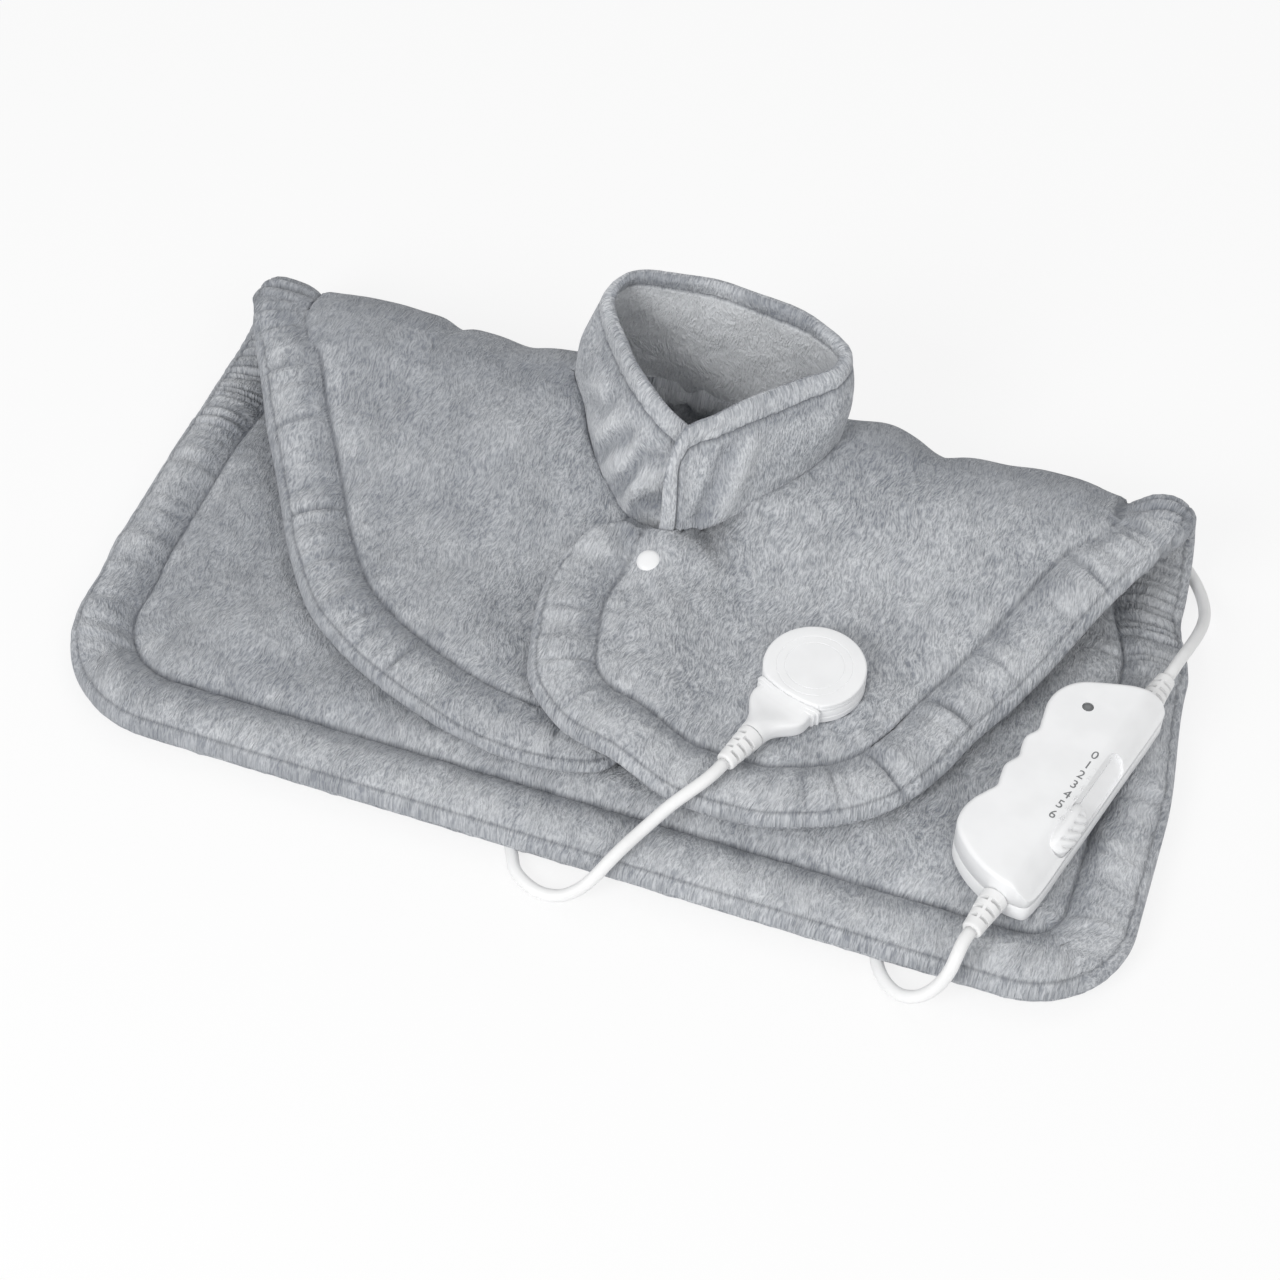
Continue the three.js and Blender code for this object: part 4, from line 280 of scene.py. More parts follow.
class CollarSizes(bpy.types.PropertyGroup):
    foot: size("Foot", "Height of the lowest top edge above the table", 0.045)
    height: size("Height", "Rise of the top edge from there", 0.09)
    thickness: size("Thickness", "Thickness of the two layers together", 0.006)
    bulge: size("Bulge", "How far the middle of the band bows out", 0.0025)
    sink: size("Sink", "How deep the foot is sewn into the cape", 0.0075)
    edge_band: size("Edge band", "Distance of the topstitch from the edge", 0.0095)
    corner: size("Corner", "Radius of the front corner", 0.015)
    stitch_length: size("Stitch length", "Length of one topstitch", 0.0026)
    stitch_pitch: size("Stitch pitch", "Distance from stitch to stitch", 0.0036)
    mesh_step: size("Mesh step", "Distance between the points of the cloth", 0.0025)
    dent: size("Dent", "Depth of the fold near the front corner", 0.0048)
    crease: size("Crease", "Height of the slanting creases at the front", 0.0026)
    crease_pitch: size("Crease pitch", "Distance from crease to crease", 0.019)
    crease_reach: size("Crease reach", "How far the creases go on round the neck", 0.1)
    ripple: size("Ripple", "Height of the small waves along the topstitch", 0.0004)
    billow: size("Billow", "Height of the wide soft waves", 0.0009)
    # The inside is paler partly for its lining's own paler pile, partly as painted light against the shade
    # inside the collar
    inner_pale: portion("Inner paleness", "How much paler the inside is", 0.7)


class SnapSizes(bpy.types.PropertyGroup):
    x: size("Across", "Place of the snap, across", 0.004)
    y: size("Along", "Place of the snap, near to far", 0.0115)
    top: size("Top", "Height of the cap's top above the table", 0.0504)
    diameter: size("Diameter", "Diameter of the cap", 0.012)
    height: size("Height", "Height of the cap", 0.0044)
    tilt: angle("Tilt", "How far the cap leans to the near side", 18)


class CordSizes(bpy.types.PropertyGroup):
    diameter: size("Diameter", "Diameter of the cords", 0.006)
    coil_x: size("Coil across", "Middle of the coil, across", -0.02)
    coil_y: size("Coil along", "Middle of the coil, near to far", 0.196)
    coil_inner: size("Coil inner radius", "Radius of the innermost turn", 0.0245)
    coil_pitch: size("Coil pitch", "Distance from turn to turn", 0.0066)
    coil_layer_turns: FloatProperty(name="Layer turns", description="Turns in each layer", default=3.25)


class PlugSizes(bpy.types.PropertyGroup):
    x: size("Across", "Place of the socket, across", 0.0983)
    y: size("Along", "Place of the socket, near to far", -0.0218)
    z: size("Up", "Height of the socket's foot above the table", 0.0351)
    turn: angle("Turn", "Way that the plug leaves the socket", -109.3)
    disc: size("Socket diameter", "Diameter of the round socket", 0.0485)
    body: size("Body height", "Height of the socket's housing", 0.008)
    lid: size("Lid height", "Height of the socket's lid", 0.0042)
    chord: size("Mouth distance", "Distance of the mouth's ends from the socket's middle", 0.0183)
    bow: size("Bow", "How far the socket's front bows out between them", 0.0023)
    mouth_width: size("Mouth width", "Width of the socket's mouth", 0.027)
    mouth_height: size("Mouth height", "Height of the socket's mouth", 0.0048)
    mouth_floor: size("Mouth floor", "Thickness of the housing under the mouth", 0.0011)
    mouth_depth: size("Mouth depth", "Depth of the socket's mouth", 0.017)
    tongue: size("Tongue length", "Length of the plug's tongue", 0.014)
    clearance: size("Tongue clearance", "Space round the tongue", 0.0004)
    contact: size("Contact diameter", "Diameter of the contact sleeves", 0.0032)
    pitch: size("Contact pitch", "Distance between the contacts", 0.008)
    length: size("Plug length", "Length of the plug's body", 0.029)
    shoulder: size("Shoulder width", "Width of the plug at its shoulder", 0.033)
    height: size("Plug height", "Height of the plug", 0.0105)
    axis: size("Cord axis", "Height of the cord above the plug's foot", 0.0075)
    relief: size("Relief length", "Length of the plug's strain relief", 0.02)


class ReliefSizes(bpy.types.PropertyGroup):
    base: size("Base diameter", "Diameter at the seat", 0.0126)
    tip: size("Tip diameter", "Diameter at the cord's end", 0.0092)
    slot_width: size("Slot width", "Width of a slot", 0.0015)
    slot_depth: size("Slot depth", "Depth of a slot", 0.0034)
    slot_half: angle("Slot half angle", "Half of a slot's reach round the sleeve", 34)
    neck: size("Neck radius", "Radius of the neck inside the case or the plug", 0.0042)
    slots: IntProperty(name="Slots", description="Slots one behind the other", default=3, min=1)


class ControllerSizes(bpy.types.PropertyGroup):
    x: size("Across", "Place of the middle of the slider's side, across", 0.2385)
    y: size("Along", "Place of the middle of the slider's side, near to far", -0.0463)
    z: size("Up", "Height of the case's foot above the table", 0.0201)
    turn: angle("Turn", "Way that the mains end points", 75.25)
    length: size("Length", "Length of the hand controller", 0.132)
    width: size("Width", "Width of the hand controller", 0.046)
    height: size("Height", "Height of the hand controller", 0.025)
    edge: size("Edge radius", "Radius of the case's edges", 0.0024)
    parting: size("Parting height", "Height of the parting line", 0.0105)
    slope: size("Slope width", "Width and drop of the slope on the slider's side", 0.0078)
    soft: size("Slope softness", "How softly the slope meets the top", 0.0011)
    wall: size("Wall", "Thickness of the case's wall", 0.0022)
    slot_floor: size("Slot floor", "Thickness of the wall under the slider's recess", 0.0026)
    recess_start: size("Recess start", "End of the recess towards the pad", -0.0365)
    recess_end: size("Recess end", "End of the recess towards the mains", 0.0272)
    recess_half: size("Recess half width", "From the middle of the slope to the recess's upper side", 0.0036)
    recess_depth: size("Recess depth", "Depth of the recess", 0.0024)
    groove_half: size("Groove half width", "Half of the width of the groove in its floor", 0.0005)
    groove_depth: size("Groove depth", "Depth of that groove", 0.0005)
    knob_length: size("Knob length", "Length of the slider's knob", 0.028)
    knob_width: size("Knob width", "Width of the slider's knob", 0.0082)
    knob_height: size("Knob height", "Height of the slider's knob", 0.0062)
    knob_overhang: size("Knob overhang", "How far the knob is wider towards the side", 0.0046)
    ridge: size("Knob groove", "Depth of the slanting grooves on the knob", 0.0015)
    ridge_pitch: size("Knob groove pitch", "Distance from one groove to the next", 0.0052)
    led: size("Lamp diameter", "Diameter of the lamp's lens", 0.005)
    led_x: size("Lamp along", "Place of the lamp along the case", 0.0404)
    led_y: size("Lamp across", "Place of the lamp across the case", 0.0269)
    digit: size("Digit height", "Height of the printed numbers", 0.0046)
    digit_y: size("Digit place", "Distance of the numbers from the slider's side", 0.0112)
    dot: size("Dot diameter", "Diameter of the raised dots", 0.0007)
    dot_pitch: size("Dot pitch", "Distance between the raised dots", 0.0013)
    pad_side: size("Pad cord place", "Distance of the pad's cord from the slider's side", 0.014)
    mains_side: size("Mains cord place", "Distance of the mains cord from the slider's side", 0.008)
    relief: size("Relief length", "Length of the strain reliefs", 0.021)
    setting_pitch: size("Setting pitch", "Travel from one setting to the next", 0.0066)
    last_setting: size("Last setting", "Place of the last setting along the case", -0.0222)
    settings: IntProperty(name="Settings", description="Number of settings", default=7, min=2)


class Finish(bpy.types.PropertyGroup):
    plush_pale: colour("Plush, lit pile", "Colour of the pile that leans to the light", (0.74, 0.755, 0.775))
    plush_mid: colour("Plush", "Colour of the pile", (0.45, 0.47, 0.505))
    plush_deep: colour("Plush, deep pile", "Colour between the tufts", (0.19, 0.205, 0.235))
    # How dark the painted shade in a seam's crease is
    seam_shade: portion("Seam shade", "How dark the pile is in a seam", 0.5)
    # How strong the painted highlights and shade are
    lean_share: portion("Lean", "How much the pile's lean shows", 0.42)
    # How far the painted shade reaches from a seam
    seam_reach: size("Seam reach", "How far from a seam the pile is darker", 0.0019)
    shell: colour("Shell", "White of the moulded cases", (0.9, 0.905, 0.912))
    rubber: colour("Rubber", "White of the cords and strain reliefs", (0.87, 0.872, 0.872))
    ink: colour("Ink", "Grey of the printed numbers", (0.2, 0.205, 0.21))
    lens: colour("Lens", "Grey of the lamp's lens", (0.16, 0.165, 0.17))


class StageSettings(bpy.types.PropertyGroup):
    azimuth: FloatProperty(name="Azimuth", description="The photo's angle round the object", default=20)
    elevation: FloatProperty(name="Elevation", description="The photo's angle above the table", default=50)
    distance: size("Distance", "Camera to the middle of the view", 1.15)
    focal: FloatProperty(name="Focal length", description="Lens in millimetres", default=66.94)
    look_x: size("Look at, across", "Middle of the view, across", 0.0088)
    look_y: size("Look at, along", "Middle of the view, near to far", -0.0133)
    look_z: size("Look at, up", "Middle of the view, up", 0.02)


def part(name):
    """The settings group of that name on the scene."""
    return getattr(bpy.context.scene, "heating_pad_" + name)


def smooth_step(t):
    t = np.clip(t, 0, 1)
    return t * t * (3 - 2 * t)


def eased(value, start, reach):
    """0 up to start, then softly up to 1 over the reach; a reach below 0 goes down to smaller values."""
    return smooth_step((value - start) / reach)


def bump(distance, width):
    """A soft hill, 1 in the middle."""
    return np.exp(-((distance / width) ** 2))


def rounded(share):
    """The height of a quarter circle, 0 at its edge and 1 from its middle on."""
    return np.sqrt(np.clip(1 - (1 - np.clip(share, 0, 1)) ** 2, 0, 1))


def quarter_steps(radius, count):
    """Distances from an edge that follow a quarter circle."""
    return [radius * (1 - math.cos(QUARTER_TURN * k / count)) for k in range(count + 1)]


def round_corner(side, down, radius):
    """Bends a square corner round, ring by ring, from the distances to its two sides."""
    reach = np.maximum(radius - np.minimum(side, down), TINY)
    turn = ((side - down) / reach + 1) * QUARTER_TURN / 2
    near = (side < radius) & (down < radius)
    round_side = np.where(near, radius - reach * np.cos(turn), side)
    return round_side, np.where(near, radius - reach * np.sin(turn), down)


def mix(a, b, share):
    return a + (b - a) * share


def along(shares, place):
    """The value at each place, eased from stop to stop."""
    value = np.full_like(place, shares[0][1])
    for (a, low), (b, high) in zip(shares, shares[1:]):
        value = np.where(place >= a, mix(low, high, smooth_step((place - a) / (b - a))), value)
    return value


def curve_points(stops, count, closed=False):
    """Points spread evenly along a smooth curve through the stops."""
    stops = np.array(stops, float)
    if closed:
        ring = np.concatenate([stops[-1:], stops, stops[:2]])
    else:
        ring = np.concatenate([2 * stops[:1] - stops[1:2], stops, 2 * stops[-1:] - stops[-2:-1]])
    fine = []
    for k in range(1, len(ring) - 2):
        p = ring[k - 1 : k + 3]
        gaps = np.maximum(np.linalg.norm(np.diff(p, axis=0), axis=1), TINY) ** 0.5
        t = np.concatenate([[0], np.cumsum(gaps)])
        at = np.linspace(t[1], t[2], 24, endpoint=False)[:, None]
        a = [(t[i + 1] - at) / gaps[i] * p[i] + (at - t[i]) / gaps[i] * p[i + 1] for i in range(3)]
        b = [((t[i + 2] - at) * a[i] + (at - t[i]) * a[i + 1]) / (t[i + 2] - t[i]) for i in range(2)]
        fine.append(((t[2] - at) * b[0] + (at - t[1]) * b[1]) / gaps[1])
    fine = np.concatenate([*fine, ring[-2:-1]])
    return spaced(fine, count + 1)[:-1] if closed else spaced(fine, count)


def spaced(line, count):
    """That many points, evenly along a line."""
    line = np.array(line, float)
    run = np.concatenate([[0], np.cumsum(np.linalg.norm(np.diff(line, axis=0), axis=1))])
    at = np.linspace(0, run[-1], count)
    return np.stack([np.interp(at, run, line[:, k]) for k in range(line.shape[1])], axis=1)


def run_length(line):
    return float(np.linalg.norm(np.diff(np.array(line, float), axis=0), axis=1).sum())


def noise_wave(name, place):
    """A smooth, fixed wave along one direction, from -1 to 1, made of a few sines."""
    seed, length = WAVES[name]
    draw = np.random.default_rng(seed)
    wave = np.zeros_like(place)
    for stretch in (1.0, 0.71, 1.37, 0.53):
        wave += np.sin(place / (length * stretch) * TURN + draw.uniform(0, TURN))
    return wave / 2.2


def noise_field(name, x, y):
    """A smooth, fixed field over a surface, about -1 to 1."""
    seed, length = WAVES[name]
    draw = np.random.default_rng(seed)
    field = np.zeros_like(x)
    for _ in range(9):
        heading, phase = draw.uniform(0, TURN), draw.uniform(0, TURN)
        stretch = draw.uniform(0.7, 1.5)
        way = x * math.cos(heading) + y * math.sin(heading)
        field += np.sin(way / (length * stretch) * TURN + phase)
    return field / 3


def new_object(name, vertices, faces, finish=None, smooth=True):
    """A mesh object at the origin, in one of the finishes or in none."""
    mesh = bpy.data.meshes.new(name)
    mesh.from_pydata([tuple(v) for v in vertices], [], [tuple(int(i) for i in f) for f in faces])
    made = bpy.data.objects.new(name, mesh)
    bpy.context.scene.collection.objects.link(made)
    if finish:
        mesh.materials.append(material(finish))
    if smooth:
        mesh.polygons.foreach_set("use_smooth", [True] * len(mesh.polygons))
    mesh.update()
    return made


def tidy(made, merge=0.00002, sharp=None):
    """Merges doubled points, closes open seams and turns all faces outwards."""
    cage = bmesh.new()
    cage.from_mesh(made.data)
    bmesh.ops.remove_doubles(cage, verts=cage.verts, dist=merge)
    open_edges = [edge for edge in cage.edges if edge.is_boundary]
    bmesh.ops.holes_fill(cage, edges=open_edges, sides=0)
    bmesh.ops.recalc_face_normals(cage, faces=cage.faces)
    cage.to_mesh(made.data)
    cage.free()
    if sharp:
        made.data.set_sharp_from_angle(angle=sharp)
    made.data.update()
    return made


def grid_faces(index, turned=False):
    """The four-sided faces between the points of a grid."""
    corners = (index[:-1, :-1], index[:-1, 1:], index[1:, 1:], index[1:, :-1])
    faces = np.stack(corners, axis=-1).reshape(-1, 4)
    return (faces[:, ::-1] if turned else faces).tolist()


def loft(name, rings, place=None, finish="white_shell", sharp=SHARP):
    """A closed body through rings of points, its two end rings filled."""
    rings = np.array(rings, float)
    index = np.arange(rings.shape[0] * rings.shape[1]).reshape(rings.shape[:2])
    faces = [index[0, ::-1], index[-1], *grid_faces(np.column_stack([index, index[:, 0]]))]
    made = new_object(name, rings.reshape(-1, 3), faces, finish)
    if place:
        made.data.transform(place)
    return tidy(made, 1e-6, sharp)


def lathe(name, profile, place=None, finish="white_shell", sides=72):
    """A body turned about its own vertical axis from radius and height pairs."""
    turns = np.arange(sides) * TURN / sides
    rings = [[(r * math.cos(t), r * math.sin(t), z) for t in turns] for r, z in profile]
    return loft(name, rings, place, finish)


def rod(radius, length, place, sides=72):
    """A plain rod, used to cut holes."""
    return lathe("cutter", [(radius, 0), (radius, length)], place, sides=sides)


def block(low, high, place):
    """A plain box, used to cut openings."""
    floor = ((low[0], low[1]), (high[0], low[1]), (high[0], high[1]), (low[0], high[1]))
    return loft("cutter", [[(x, y, z) for x, y in floor] for z in (low[2], high[2])], place)


def cut(made, *cutters):
    """Takes the cutters out of a body; the cutters are used up."""
    for cutter in cutters:
        step = made.modifiers.new("cut", "BOOLEAN")
        step.operation = "DIFFERENCE"
        step.solver = "EXACT"
        step.object = cutter
    made.data = settled(made)
    made.modifiers.clear()
    for cutter in cutters:
        bpy.data.objects.remove(cutter)
    made.data.set_sharp_from_angle(angle=SHARP)
    return made


def settled(made):
    """The mesh of an object with its modifiers worked out."""
    view = bpy.context.evaluated_depsgraph_get()
    view.update()
    mesh = bpy.data.meshes.new_from_object(made.evaluated_get(view))
    if not mesh.polygons:
        raise RuntimeError(made.name + " came out empty")
    return mesh


def standing(x, y, z, turn):
    """The frame of a piece that stands level, turned about the vertical."""
    return Matrix.Translation((x, y, z)) @ Matrix.Rotation(turn, 4, "Z")


# What repeats is laid out by geometry nodes, then made a plain mesh


def add_node(tree, kind, links=None, **values):
    """A node with its settings and its constant inputs set, and its other inputs linked."""
    made = tree.nodes.new(kind)
    for key, value in values.items():
        if hasattr(made, key):
            setattr(made, key, value)
        else:
            made.inputs[key.replace("_", " ")].default_value = value
    for socket, source in (links or {}).items():
        tree.links.new(source, made.inputs[socket])
    return made


def repeat_tree():
    """Puts a small ball at each point, turned by the point's own attribute."""
    tree = bpy.data.node_groups.new("repeat", "GeometryNodeTree")
    for name, kind in (("Geometry", "Geometry"), ("Size", "Vector"), ("Finish", "Material")):
        tree.interface.new_socket(name, in_out="INPUT", socket_type="NodeSocket" + kind)
    tree.interface.new_socket("Geometry", in_out="OUTPUT", socket_type="NodeSocketGeometry")
    start = tree.nodes.new("NodeGroupInput").outputs
    ball = add_node(tree, "GeometryNodeMeshUVSphere", Segments=8, Rings=5, Radius=0.5)
    turn = add_node(tree, "GeometryNodeInputNamedAttribute", data_type="FLOAT_VECTOR", Name="turn")
    spread = add_node(tree, "GeometryNodeInstanceOnPoints", {
        "Points": start["Geometry"], "Instance": ball.outputs["Mesh"],
        "Rotation": turn.outputs["Attribute"], "Scale": start["Size"],
    })
    whole = add_node(tree, "GeometryNodeRealizeInstances", {"Geometry": spread.outputs["Instances"]})
    links = {"Geometry": whole.outputs[0], "Material": start["Finish"]}
    painted = add_node(tree, "GeometryNodeSetMaterial", links)
    add_node(tree, "NodeGroupOutput", {"Geometry": painted.outputs[0]})
    return tree


def repeated(name, places, turns, dimensions, finish):
    """One mesh with a small ball, stretched to the dimensions, at each place."""
    points = new_object(name, places, [])
    turn = points.data.attributes.new("turn", "FLOAT_VECTOR", "POINT")
    turn.data.foreach_set("vector", np.array(turns, np.float32).ravel())
    step = points.modifiers.new("repeat", "NODES")
    step.node_group = repeat_tree()
    values = {"Size": dimensions, "Finish": material(finish)}
    for item in step.node_group.interface.items_tree:
        if item.in_out == "INPUT" and item.name in values:
            step[item.identifier] = values[item.name]
    points.data = settled(points)
    points.modifiers.clear()
    points.data.polygons.foreach_set("use_smooth", [True] * len(points.data.polygons))
    return points


# Materials: every pattern is procedural, on the piece's own map or its object coordinates


class Nodes:
    """Builds one material's node tree."""

    def __init__(self, name):
        self.material = bpy.data.materials.new(name)
        self.material.use_nodes = True
        self.tree = self.material.node_tree
        self.shader = self.tree.nodes["Principled BSDF"]

    def add(self, kind, links=None, **values):
        return add_node(self.tree, kind, links, **values)

    def link(self, source, socket):
        self.tree.links.new(source, self.shader.inputs[socket])

    def blend(self, factor, first, second):
        """A colour mix; first and second are colours or sockets."""
        made = self.add("ShaderNodeMix", data_type="RGBA", blend_type="MIX")
        for index, value in ((0, factor), (6, first), (7, second)):
            if isinstance(value, bpy.types.NodeSocket):
                self.tree.links.new(value, made.inputs[index])
            elif isinstance(value, (int, float)):
                made.inputs[index].default_value = value
            else:
                made.inputs[index].default_value = (*value, 1)
        return made.outputs[2]

    def ramp(self, source, low, high, start=0, end=1, kind="SMOOTHSTEP"):
        """Stretches low..high to start..end."""
        made = self.add(
            "ShaderNodeMapRange", {"Value": source}, interpolation_type=kind,
            From_Min=low, From_Max=high, To_Min=start, To_Max=end,
        )
        return made.outputs["Result"]

    def attribute(self, name):
        return self.add("ShaderNodeAttribute", attribute_name=name).outputs["Fac"]

    def bump(self, height, strength, distance, normal=None):
        """Relief from a height; normal is the relief that lies under it."""
        links = {"Height": height, "Normal": normal} if normal else {"Height": height}
        return self.add("ShaderNodeBump", links, Strength=strength, Distance=distance).outputs["Normal"]

    def coat(self, base_colour, normal, **values):
        """Sets the shader: its colour, its relief and its constant values."""
        self.link(base_colour, "Base Color")
        self.link(normal, "Normal")
        for key, value in values.items():
            self.shader.inputs[key.replace("_", " ")].default_value = value
        return self.material

    def noise(self, vector, scale, detail=2.0, roughness=0.5):
        values = {"Scale": scale, "Detail": detail, "Roughness": roughness}
        return self.add("ShaderNodeTexNoise", {"Vector": vector}, **values)

    def stretched(self, vector, scale, turn=0.0):
        made = self.add("ShaderNodeMapping", {"Vector": vector}, Scale=scale, Rotation=(0, 0, turn))
        return made.outputs["Vector"]


def plush_material(name, lightness=1.0):
    """Short microplush: leaning pile in fine streaks, brushed into soft patches, with painted highlights and
    shade, and painted shade in the seams.
    """
    finish = part("finish")
    tints = (finish.plush_pale, finish.plush_mid, finish.plush_deep)
    pale, middle, dark = (tuple(min(1, c * lightness) for c in tint) for tint in tints)
    n = Nodes(name)
    uv = n.add("ShaderNodeUVMap", uv_map="Pattern").outputs["UV"]
    drift = n.noise(uv, 26, 2)
    sway = n.add("ShaderNodeVectorMath", {0: drift.outputs["Color"]}, operation="SUBTRACT")
    sway.inputs[1].default_value = (0.5, 0.5, 0.5)
    swayed = n.add("ShaderNodeVectorMath", {0: sway.outputs[0]}, operation="SCALE", Scale=0.016).outputs[0]
    pile_place = n.add("ShaderNodeVectorMath", {0: uv, 1: swayed}, operation="ADD").outputs[0]
    layers = {}
    for layer, (stretch, turn, detail, rough) in PILE_LAYERS.items():
        source = pile_place if layer in ("tufts", "fibres") else uv
        layers[layer] = n.noise(n.stretched(source, stretch, turn), 1, detail, rough).outputs["Fac"]
    strands = n.blend(n.ramp(layers["fibres"], 0.4, 0.58), dark, pale)
    base = n.blend(n.ramp(layers["tufts"], 0.36, 0.64), dark, pale)
    pile = n.blend(0.27, n.blend(0.62, base, strands), middle)
    for layer, low, high, strength in (("nap", 0.36, 0.66, 0.2), ("patch", 0.4, 0.62, 0.08)):
        brushed = n.ramp(layers[layer], low, high)
        pile = n.blend(brushed, n.blend(strength, pile, dark), n.blend(strength, pile, pale))
    # Painted highlights and painted shade, from the piece's own attribute
    lean = n.attribute("lean")
    for limit, tint in ((1, pale), (-1, dark)):
        pile = n.blend(n.ramp(lean, 0, limit, 0, finish.lean_share, "LINEAR"), pile, tint)
    # Paler on the collar's lining: partly its own colour, partly painted light
    pile = n.blend(n.attribute("pale"), pile, pale)
    # Painted shade in the creases of the seams and the topstitch
    groove = n.ramp(n.attribute("seam"), 0, finish.seam_reach, finish.seam_shade, 0)
    shaded = n.blend(groove, pile, tuple(c * 0.55 for c in dark))
    depth = n.add("ShaderNodeMath", {0: layers["tufts"], 1: layers["fibres"]}, operation="ADD").outputs[0]
    relief = n.bump(layers["nap"], 0.7, 0.006, n.bump(depth, 0.9, 0.0016))
    return n.coat(
        shaded, relief, Roughness=0.88, Specular_IOR_Level=0.2, Sheen_Weight=0.3, Sheen_Roughness=0.3,
        Sheen_Tint=(0.95, 0.97, 1, 1),
    )


def moulded_material(name, tint, roughness, grain=0.00003, grain_scale=2400):
    """Moulded plastic or rubber with a fine grain and a little unevenness."""
    n = Nodes(name)
    place = n.add("ShaderNodeTexCoord").outputs["Object"]
    cloud = n.noise(place, 60, 2).outputs["Fac"]
    fine = n.noise(place, grain_scale, 3).outputs["Fac"]
    n.link(n.ramp(fine, 0, 1, roughness - 0.05, roughness + 0.05, "LINEAR"), "Roughness")
    shaded = n.blend(n.ramp(cloud, 0.3, 0.7), tuple(tint), tuple(c * 0.955 for c in tint))
    return n.coat(shaded, n.bump(fine, 0.5, grain))


def metal_material(name, tint, roughness):
    """Metal brushed along the piece."""
    n = Nodes(name)
    place = n.add("ShaderNodeTexCoord").outputs["Object"]
    brushed = n.noise(n.stretched(place, (900, 6000, 6000)), 1, 2).outputs["Fac"]
    shaded = n.blend(brushed, tint, tuple(c * 0.8 for c in tint))
    return n.coat(shaded, n.bump(brushed, 0.2, 0.00005), Metallic=1, Roughness=roughness)


def material(name):
    """One of the finishes, made once."""
    made = bpy.data.materials.get("finish " + name)
    if made:
        return made
    if name not in FINISHES:
        raise ValueError("there is no finish named " + name)
    return FINISHES[name]("finish " + name, part("finish"))


FINISHES = {
    "plush": lambda name, f: plush_material(name),
    "collar_plush": lambda name, f: plush_material(name, 1.06),
    "white_shell": lambda name, f: moulded_material(name, tuple(f.shell), 0.36),
    "white_rubber": lambda name, f: moulded_material(name, tuple(f.rubber), 0.5, 0.00005, 1500),
    "ink": lambda name, f: moulded_material(name, tuple(f.ink), 0.55),
    "lamp_grey": lambda name, f: moulded_material(name, tuple(f.lens), 0.12, 0.00001),
    "dark_plastic": lambda name, f: moulded_material(name, (0.03, 0.03, 0.032), 0.4),
    "board_green": lambda name, f: moulded_material(name, (0.02, 0.13, 0.05), 0.35),
    "fleece": lambda name, f: moulded_material(name, (0.62, 0.6, 0.55), 0.95, 0.0004, 900),
    "lining": lambda name, f: moulded_material(name, (0.36, 0.38, 0.41), 0.92, 0.0004, 900),
    "metal": lambda name, f: metal_material(name, (0.72, 0.72, 0.7), 0.28),
}


# Cape: the back panel is a grid, each flap a fine net of triangles inside its outline


